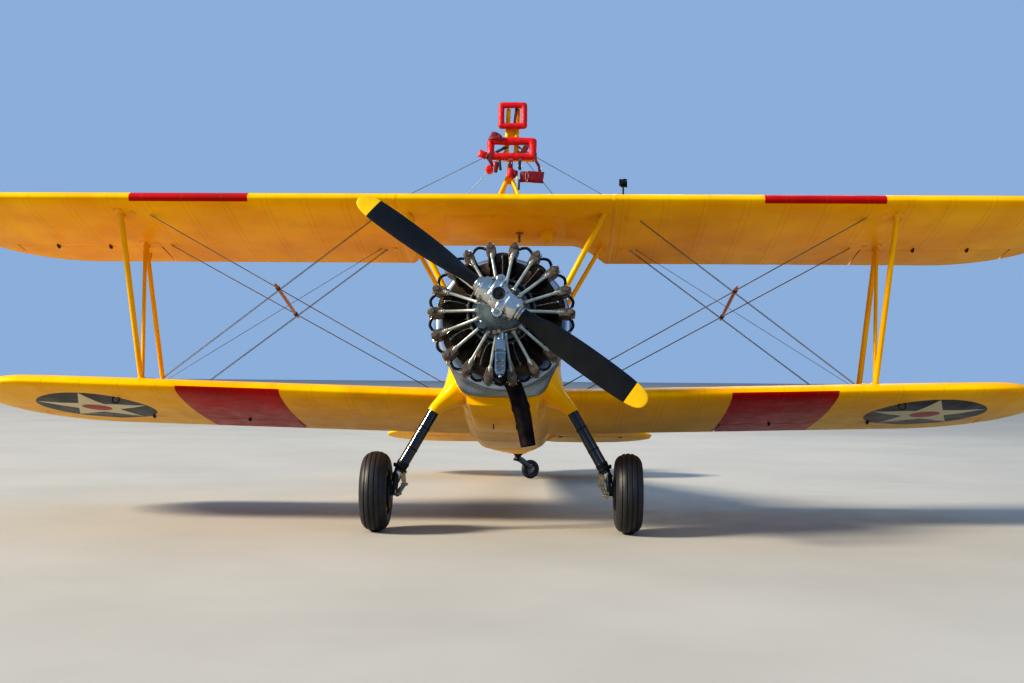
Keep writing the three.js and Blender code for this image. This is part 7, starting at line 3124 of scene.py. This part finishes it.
FRONT = RIG_Y - 0.115
loose = {
    "flap_pad": (
        "dark red coated fabric",
        [
            (-0.192, FRONT, 3.196), (-0.034, FRONT - 0.01, 3.178), (-0.07, FRONT + 0.03, 3.256),
            (-0.156, FRONT + 0.04, 3.298),
        ],
        0.024, 0, 0.02,
    ),
    "side_pad": (
        "red coated fabric",
        [
            (-0.282, FRONT + 0.03, 3.06), (-0.208, FRONT + 0.03, 3.032), (-0.19, FRONT + 0.03, 3.1),
            (-0.262, FRONT + 0.03, 3.13),
        ],
        0.028, 0, 0.004,
    ),
    "fold_pad": (
        "dark red coated fabric",
        [
            (-0.13, FRONT + 0.04, 2.915), (-0.105, FRONT + 0.04, 2.91),
            (-0.076, FRONT + 0.02, 3.005), (-0.146, FRONT + 0.02, 3.015),
        ],
        0.022, 0, 0.008,
    ),
    "wrap_pad": (
        "red coated fabric",
        [
            (-0.016, RIG_Y - 0.075, 2.868), (0.036, RIG_Y - 0.08, 2.862),
            (0.04, RIG_Y - 0.075, 2.952), (-0.008, RIG_Y - 0.07, 2.957),
        ],
        0.05, 0, 0.006,
    ),
    "knot_pad": (
        "dark red coated fabric",
        [
            (0.03, RIG_Y - 0.07, 2.86), (0.076, RIG_Y - 0.07, 2.875), (0.08, RIG_Y - 0.07, 2.93),
            (0.032, RIG_Y - 0.07, 2.945),
        ],
        0.044, 0, 0.004,
    ),
    "hanging_pad": (
        "dark red coated fabric",
        [
            (0.099, RIG_Y - 0.05, 2.832), (0.306, RIG_Y - 0.05, 2.822), (0.314, RIG_Y - 0.05, 2.93),
            (0.099, RIG_Y - 0.05, 2.936),
        ],
        0.046, -0.012, 0.0,
    ),
}
for name, (finish, corners, thick, sag, bend) in loose.items():
    pad = mesh_object(name, {finish: [cushion(corners, thick, sag, bend)]})
    replaced = ["rig_hanging_pad"] if name == "hanging_pad" else []
    finished(puffed(pad, 0.005, 0.004), "airframe", replaced, crease=60)
roll = lathe(
    [
        (0, -0.045), (0.02, -0.045), (0.029, -0.036), (0.033, -0.02), (0.033, 0.02), (0.029, 0.036),
        (0.02, 0.045), (0, 0.045),
    ],
    28, (-0.163, FRONT + 0.06, 2.929), Y,
)
roll = mesh_object("roll_pad", {"red coated fabric": [roll]})
finished(puffed(roll, 0.003, 0.004), "airframe", crease=60)

y_front = RIG_Y - 0.085
dark = [
    strap(
        [
            rig(-0.012, 3.06, y_front + 0.03), rig(-0.01, 3.03, y_front),
            rig(-0.008, 2.98, y_front), rig(-0.006, 2.93, y_front + 0.02),
        ],
        0.038,
    ),
    strap(
        [
            (-0.196, FRONT + 0.03, 3.06), (-0.168, FRONT + 0.025, 3.02),
            (-0.15, FRONT + 0.03, 2.985), (-0.17, FRONT + 0.05, 2.955),
        ],
        0.03,
    ),
    strap(
        [
            rig(0.205, 3.1, y_front + 0.01), rig(0.212, 3.03, y_front + 0.005),
            (0.262, y_front + 0.01, 2.98), (0.274, RIG_Y - 0.06, 2.925),
        ],
        0.025,
    ),
    strap(
        [rig(-0.19, 3.1, y_front), rig(-0.192, 3.05, y_front - 0.005), (-0.16, FRONT + 0.03, 3.0)],
        0.03,
    ),
]
dark += [
    strap(
        [
            rig(0.02, HEAD + 0.1, RIG_Y - 0.04), rig(0.014, HEAD + 0.03, RIG_Y - 0.045),
            rig(0.008, HEAD - 0.05, RIG_Y - 0.04),
        ],
        0.024,
    ),
    strap(
        [
            rig(0.125, WAIST + 0.07, RIG_Y - 0.06), rig(0.12, WAIST + 0.03, RIG_Y - 0.07),
            rig(0.09, WAIST - 0.03, RIG_Y - 0.06),
        ],
        0.05,
    ),
]
black = [
    strap(
        [
            rig(-0.045, WAIST + 0.045, RIG_Y - 0.03), rig(-0.09, WAIST + 0.01, RIG_Y - 0.06),
            rig(-0.14, WAIST - 0.02, RIG_Y - 0.06),
        ],
        0.016,
    ),
    strap(
        [
            rig(0.07, 3.06, y_front + 0.03), rig(0.074, 3.03, y_front), (0.094, y_front, 2.99),
            (0.098, y_front + 0.01, 2.94),
        ],
        0.026,
    ),
    strap(
        [
            (-0.08, FRONT + 0.02, 3.03), (-0.078, FRONT + 0.012, 2.98),
            (-0.072, FRONT + 0.014, 2.926),
        ],
        0.022,
    ),
    strap(
        [(0.094, RIG_Y - 0.078, 2.85), (0.092, RIG_Y - 0.085, 2.8), (0.09, RIG_Y - 0.08, 2.752)],
        0.016,
    ),
]
pale = [
    strap(
        [(0.078, RIG_Y - 0.08, 2.89), (0.07, RIG_Y - 0.088, 2.86), (0.074, RIG_Y - 0.082, 2.82)],
        0.02,
    ),
    wire_loop((0.17, RIG_Y - 0.078, 2.862), 0.012, 0.05, 28, oval(0.004, 0.003, 8)),
]
buckles = [
    wire_loop(spot, 0.016, 0.012, 20, oval(0.005, 0.004, 8))
    for spot in (
        (0.108, y_front - 0.004, 2.955), (0.278, y_front + 0.002, 2.935),
        (0.02, y_front - 0.004, 2.98),
    )
]
piece(
    "rider_straps",
    {
        "dark red webbing": dark, "black webbing": black, "pale webbing": pale,
        "satin steel": buckles,
    },
    "airframe",
)

# %% [markdown]
# ## Cockpits
#
# Each cockpit has a bucket seat with leather cushions and a belt, a black instrument panel, a
# control stick with a rubber gaiter, two rudder pedals, and frame tubes with wooden formers along
# its walls. All of it stands between the floor and the deck, so it is written from the cockpit's
# own front edge, and both cockpits share it.

# %% Windshields
SCREEN = {
    "half": 0.24, "bottom": 1.5, "top": 1.95, "lean": math.tan(math.radians(18.4)), "foot": -0.06
}


def screen_place(start, share, z, inset=0.0):
    """A three-sided bow with rounded corners, sheared back with height."""
    bow = spline(
        np.array(
            [
                (-0.24, 0.03), (-0.228, -0.012), (-0.19, -0.095), (-0.165, -0.118), (0, -0.12),
                (0.165, -0.118), (0.19, -0.095), (0.228, -0.012), (0.24, 0.03),
            ]
        ),
        8,
    )
    steps = np.linspace(0, 1, len(bow))
    x, y = (np.interp(share, steps, column) for column in bow.T)
    back = y + start + SCREEN["foot"] + (z - SCREEN["bottom"]) * SCREEN["lean"]
    return np.stack(np.broadcast_arrays(x * (1 - inset), back + inset * 0.25, z), -1)


for name, (start, _) in COCKPITS.items():
    share = np.linspace(0, 1, 65)
    low = deck_height(screen_place(start, share, np.array(1.7))[:, 0], start)
    top_z = SCREEN["top"] - 0.035 * np.abs(2 * share - 1) ** 3
    height = np.linspace(0, 1, 10)[:, None]
    z = (low - 0.004) * (1 - height) + (top_z - 0.008) * height
    outer, inner = (screen_place(start, share[None], z, inset) for inset in (0.0, 0.022))
    pane = [grid(np.concatenate([outer, inner[::-1]]), ring=True)]
    ends = [grid(np.stack([outer[:, k], inner[:, k]], 0)) for k in (0, -1)]
    frame_path = np.concatenate(
        [
            screen_place(start, np.zeros(8), np.linspace(low[0], top_z[0], 8), 0.01),
            screen_place(start, share[1:-1], top_z[1:-1], 0.01),
            screen_place(start, np.ones(8), np.linspace(top_z[-1], low[-1], 8), 0.01),
        ]
    )
    foot_path = screen_place(start, share, low + 0.004, 0.01)
    edging = [
        sweep(frame_path, oval(0.013, 0.013, 12), X), sweep(foot_path, oval(0.03, 0.012, 16, 3), Z)
    ]
    for k in (19, 45):
        upright_bar = screen_place(
            start, np.full(8, share[k]), np.linspace(low[k], top_z[k], 8), 0.01
        )
        edging.append(sweep(upright_bar, oval(0.013, 0.014, 10), X))
    beads = [
        bolt_head(
            screen_place(start, share[k], low[k] + 0.008, -0.01),
            unit(np.array([share[k] - 0.5, -0.5, 0.3])), 0.0045, 0.003,
        )
        for k in range(3, 62, 6)
    ]
    piece(
        f"windshield_pane_{name}", {"clear acrylic": pane + ends}, "airframe",
        [f"windshield_{name}"],
    )
    piece(
        f"windshield_frame_{name}", {"satin steel": edging, "cadmium plate": beads}, "airframe",
    )
print("windshield top at", SCREEN["top"])

# %% Seats, panels and controls
DIALS = [
    (-0.13, 0.05, 0.042), (-0.03, 0.055, 0.042), (0.07, 0.05, 0.042), (-0.08, -0.045, 0.036),
    (0.015, -0.045, 0.036), (0.105, -0.04, 0.03), (0.16, 0.03, 0.024), (-0.165, -0.03, 0.024),
]
PANEL_FACE = 0.0035


def dial(x, z, radius, y, tilt):
    """A bezel, a dished face, ten marks and a pointer."""
    centre = np.array([x, y, z])
    bezel = lathe(
        [
            (radius * 0.86, 0.0), (radius, 0.0), (radius, 0.008), (radius * 0.92, 0.011),
            (radius * 0.84, 0.006),
        ],
        32, centre, -Y, closed=True,
    )
    face = lathe(
        [(0, 0.002), (radius * 0.88, 0.002), (radius * 0.88, 0.0), (0, 0.0)], 32, centre, -Y
    )
    marks = []
    for k in range(10):
        a = 2 * math.pi * k / 10
        way = np.array([math.sin(a), 0, math.cos(a)])
        marks.append(
            block(
                (0.0025, 0.001, radius * 0.2), centre - Y * 0.0028 + way * radius * 0.68,
                (np.cross(Y, way), Y, way),
            )
        )
    way = np.array([math.sin(tilt), 0, math.cos(tilt)])
    hand = slab(
        [
            (-0.0025, -radius * 0.15), (0.0025, -radius * 0.15), (0.0006, radius * 0.62),
            (-0.0006, radius * 0.62),
        ],
        0.001, centre - Y * 0.0042, np.cross(Y, way), way,
    )
    return bezel, face, [*marks, hand]


def seat_cushion(centre, size, power=5.0):
    """A thick rounded pad: super-ellipse sections that shrink towards the top and the bottom."""
    levels = np.linspace(-1, 1, 14)
    width = (1 - np.abs(levels) ** 4) ** 0.25 * 0.12 + 0.88
    width[[0, -1]] *= 0.9
    rings = [
        np.column_stack(
            [oval(size[0] * w, size[1] * w, 48, power), np.full(48, size[2] / 2 * level)]
        )
        for w, level in zip(width, levels)
    ]
    return grid(np.stack(rings) + centre, around=True, ends=True)


for name, (start, end) in COCKPITS.items():
    back = end - 0.06
    shell_rows = []
    for y, z, half in (
        (start + 0.25, FLOOR + 0.27, 0.19), (start + 0.27, FLOOR + 0.25, 0.2),
        (back - 0.09, FLOOR + 0.225, 0.2), (back - 0.045, FLOOR + 0.25, 0.2),
        (back - 0.03, FLOOR + 0.3, 0.2), (back - 0.012, FLOOR + 0.5, 0.195),
        (back, FLOOR + 0.62, 0.17), (back + 0.003, FLOOR + 0.64, 0.14),
    ):
        lip = 0.16 if z < FLOOR + 0.3 else 0.12
        section = [
            (-half, lip), (-half, 0.03), (-half + 0.03, 0), (half - 0.03, 0), (half, 0.03),
            (half, lip),
        ]
        if z < FLOOR + 0.29:
            shell_rows.append([(x, y, z + up) for x, up in section])
        else:
            shell_rows.append([(x, y - up, z) for x, up in section])
    outer = np.array(shell_rows)
    inner = outer * (0.985, 1, 1) + (0, -0.004, 0.006)
    shell = grid(np.concatenate([outer, inner[::-1]]), ring=True)
    side_walls = [grid(np.stack([outer[:, k], inner[:, k]])) for k in (0, -1)]
    bearers = [
        rod((s * 0.15, start + 0.27, FLOOR + 0.004), (s * 0.15, start + 0.27, FLOOR + 0.25), 0.011)
        for s in (1, -1)
    ]
    bearers += [
        rod((s * 0.15, back - 0.05, FLOOR + 0.004), (s * 0.15, back - 0.05, FLOOR + 0.24), 0.011)
        for s in (1, -1)
    ]
    base = mesh_object(
        f"seat_cushion_{name}",
        {
            "brown leather": [
                seat_cushion((0, (start + back) / 2 + 0.085, FLOOR + 0.275), (0.345, 0.25, 0.07))
            ]
        },
    )
    finished(puffed(base, 0.006, 0.006, 3.0, -0.03), "airframe", crease=60)
    rest_shape = seat_cushion((0, 0, 0), (0.335, 0.27, 0.05))
    rest_shape = moved(
        rest_shape, lambda p: turn(p, X, math.radians(84)) + (0, back - 0.055, FLOOR + 0.46)
    )
    rest = mesh_object(f"seat_back_pad_{name}", {"brown leather": [rest_shape]})
    finished(puffed(rest, 0.006, 0.006, 3.0, -0.03), "airframe", crease=60)
    belts = [
        strap(
            [
                (s * 0.19, back - 0.08, FLOOR + 0.32), (s * 0.15, back - 0.16, FLOOR + 0.335),
                (s * 0.09, back - 0.21, FLOOR + 0.335), (s * 0.02, back - 0.225, FLOOR + 0.333),
            ],
            0.045, 0.004, Z,
        )
        for s in (1, -1)
    ]
    belts += [
        strap(
            [
                (s * 0.06, back - 0.02, FLOOR + 0.66), (s * 0.075, back - 0.065, FLOOR + 0.63),
                (s * 0.085, back - 0.095, FLOOR + 0.5), (s * 0.07, back - 0.13, FLOOR + 0.345),
            ],
            0.04, 0.004, Y,
        )
        for s in (1, -1)
    ]
    buckle = block((0.06, 0.05, 0.008), (0, back - 0.225, FLOOR + 0.337))
    piece(
        f"seat_frame_{name}",
        {
            "cockpit green primer": [shell, *side_walls], "black enamel": bearers,
            "pale webbing": belts, "satin steel": [buckle],
        },
        "airframe", [f"seat_{name}"],
    )
    panel_y = start + 0.02
    outline = [
        (-0.268, -0.17), (0.268, -0.17),
        *[
            (x, float(deck_height(np.array([x]), start)[0]) - 1.5 - 0.02)
            for x in np.linspace(0.268, -0.268, 15)
        ],
    ]
    board = slab(outline, 0.006, (0, panel_y, 1.5), X, Z)
    facing_aft = lambda shape: moved(
        shape, lambda p: p * (1, -1, 1) + (0, 2 * panel_y + 2 * PANEL_FACE, 0)
    )
    bezels, faces, marks = [], [], []
    for k, (x, z, radius) in enumerate(DIALS):
        bezel, face, lines = dial(x, 1.53 + z, radius, panel_y + PANEL_FACE, 0.8 * k - 2)
        bezels.append(facing_aft(bezel))
        faces.append(facing_aft(face))
        marks += [facing_aft(line) for line in lines]
    knobs = [
        lathe(
            [(0, 0), (0.004, 0), (0.004, 0.018), (0.011, 0.02), (0.011, 0.03), (0, 0.032)], 16,
            (x, panel_y + 0.003, 1.385), Y,
        )
        for x in (-0.16, -0.1, 0.1, 0.16)
    ]
    piece(
        f"instrument_panel_{name}",
        {"instrument black": [board, *faces, *knobs], "satin steel": bezels, "dial white": marks},
        "airframe",
    )
    stick_path = spline(
        [
            (0, start + 0.2, FLOOR + 0.01), (0, start + 0.2, FLOOR + 0.14),
            (0, start + 0.215, FLOOR + 0.3), (0, start + 0.235, FLOOR + 0.42),
        ],
        6,
    )
    stick = sweep(stick_path, oval(0.024, 0.024, 16), X)
    grip = lathe(
        [
            (0, 0), (0.014, 0), (0.018, 0.02), (0.016, 0.05), (0.019, 0.09), (0.017, 0.11),
            (0, 0.116),
        ],
        20, stick_path[-1] - (0, 0, 0.012), unit(np.array([0, 0.16, 1.0])),
    )
    gaiter = lathe(
        [
            (0.0, 0.001), (0.07, 0.001), (0.066, 0.012), (0.05, 0.02), (0.052, 0.028),
            (0.036, 0.036), (0.038, 0.044), (0.022, 0.052), (0.013, 0.075), (0, 0.075),
        ],
        28, (0, start + 0.2, FLOOR), Z,
    )
    pedals = [block((0.09, 0.016, 0.12), (s * 0.15, start + 0.06, FLOOR + 0.14)) for s in (1, -1)]
    pedals += [
        rod((s * 0.15, start + 0.06, FLOOR + 0.004), (s * 0.15, start + 0.06, FLOOR + 0.13), 0.009)
        for s in (1, -1)
    ]
    treads = [
        block((0.08, 0.004, 0.008), (s * 0.15, start + 0.07, FLOOR + 0.1 + 0.02 * k))
        for s in (1, -1)
        for k in range(5)
    ]
    rails = [
        rod(
            (s * (WELL_HALF - 0.014), start + 0.05, z),
            (s * (WELL_HALF - 0.014), end - 0.05, z + 0.02), 0.0115, 14,
        )
        for s in (1, -1)
        for z in (1.12, 1.42)
    ]
    rails += [
        rod(
            (s * (WELL_HALF - 0.014), y, 1.12), (s * (WELL_HALF - 0.014), y + 0.12, 1.42), 0.009, 12
        )
        for s in (1, -1)
        for y in (start + 0.15, start + 0.36)
    ]
    throttle_box = block((0.02, 0.14, 0.05), (WELL_HALF - 0.035, start + 0.26, 1.38))
    levers = [
        rod(
            (WELL_HALF - 0.04, start + 0.22 + 0.04 * k, 1.38),
            (WELL_HALF - 0.055, start + 0.2 + 0.04 * k, 1.46), 0.0045, 8,
        )
        for k in range(3)
    ]
    lever_knobs = [
        lathe(
            [(0, -0.012), (0.008, -0.01), (0.012, 0), (0.008, 0.01), (0, 0.012)], 16,
            (WELL_HALF - 0.055, start + 0.2 + 0.04 * k, 1.465), Z,
        )
        for k in range(3)
    ]
    boards = [
        block((0.1, end - start - 0.12, 0.008), (s * 0.12, (start + end) / 2, FLOOR + 0.006))
        for s in (1, -1)
    ]
    piece(
        f"cockpit_controls_{name}",
        {
            "black enamel": [stick, *pedals[:2], throttle_box, *lever_knobs],
            "black rubber": [grip, gaiter, *treads], "cockpit green primer": rails,
            "satin steel": [*pedals[2:], *levers], "varnished wood": boards,
        },
        "airframe", bevel=0.001,
    )
print("cockpit pieces done")

# %% Any solid that still shows gets its finish
REST = {
    "doped fabric, no ribs": (
        "fuselage", "centre_section", "fin", "rudder", "tailplane", "elevator",
    ),
    "spun aluminium": ("accessory_cowl",),
    "satin steel": ("propeller_hub", "axle", "tail_wheel_hub"),
    "stainless wire": ("rigging",),
    "burnt exhaust steel": ("exhaust",),
    "cylinder iron, heated": ("engine_cylinders",),
    "engine grey enamel": ("engine_nose_case",),
    "black enamel": ("tail_wheel_strut", "tail_wheel_fork", "wing_camera"),
    "navy gloss enamel": ("gear_leg",),
    "propeller black": ("propeller_blade",),
    "tyre rubber": ("tyre", "tail_wheel_tyre"),
    "brown leather": ("seat",),
    "clear acrylic": ("windshield",),
    "red coated fabric": ("rig_head_pad", "rig_waist_ring"),
    "dark red coated fabric": ("rig_hanging_pad",),
}
for name, node in frame["nodes"].items():
    finish = next((key for key, starts in REST.items() if name.startswith(starts)), "yellow enamel")
    node.data.materials.clear()
    node.data.materials.append(MATERIALS[finish])
print(len(frame["nodes"]), "solids dressed")

# %% [markdown]
# ## Triangles added
#
# The triangles that the pieces add are counted.

# %% Count the triangles
print("triangles added:", sum(TRIANGLES.values()))
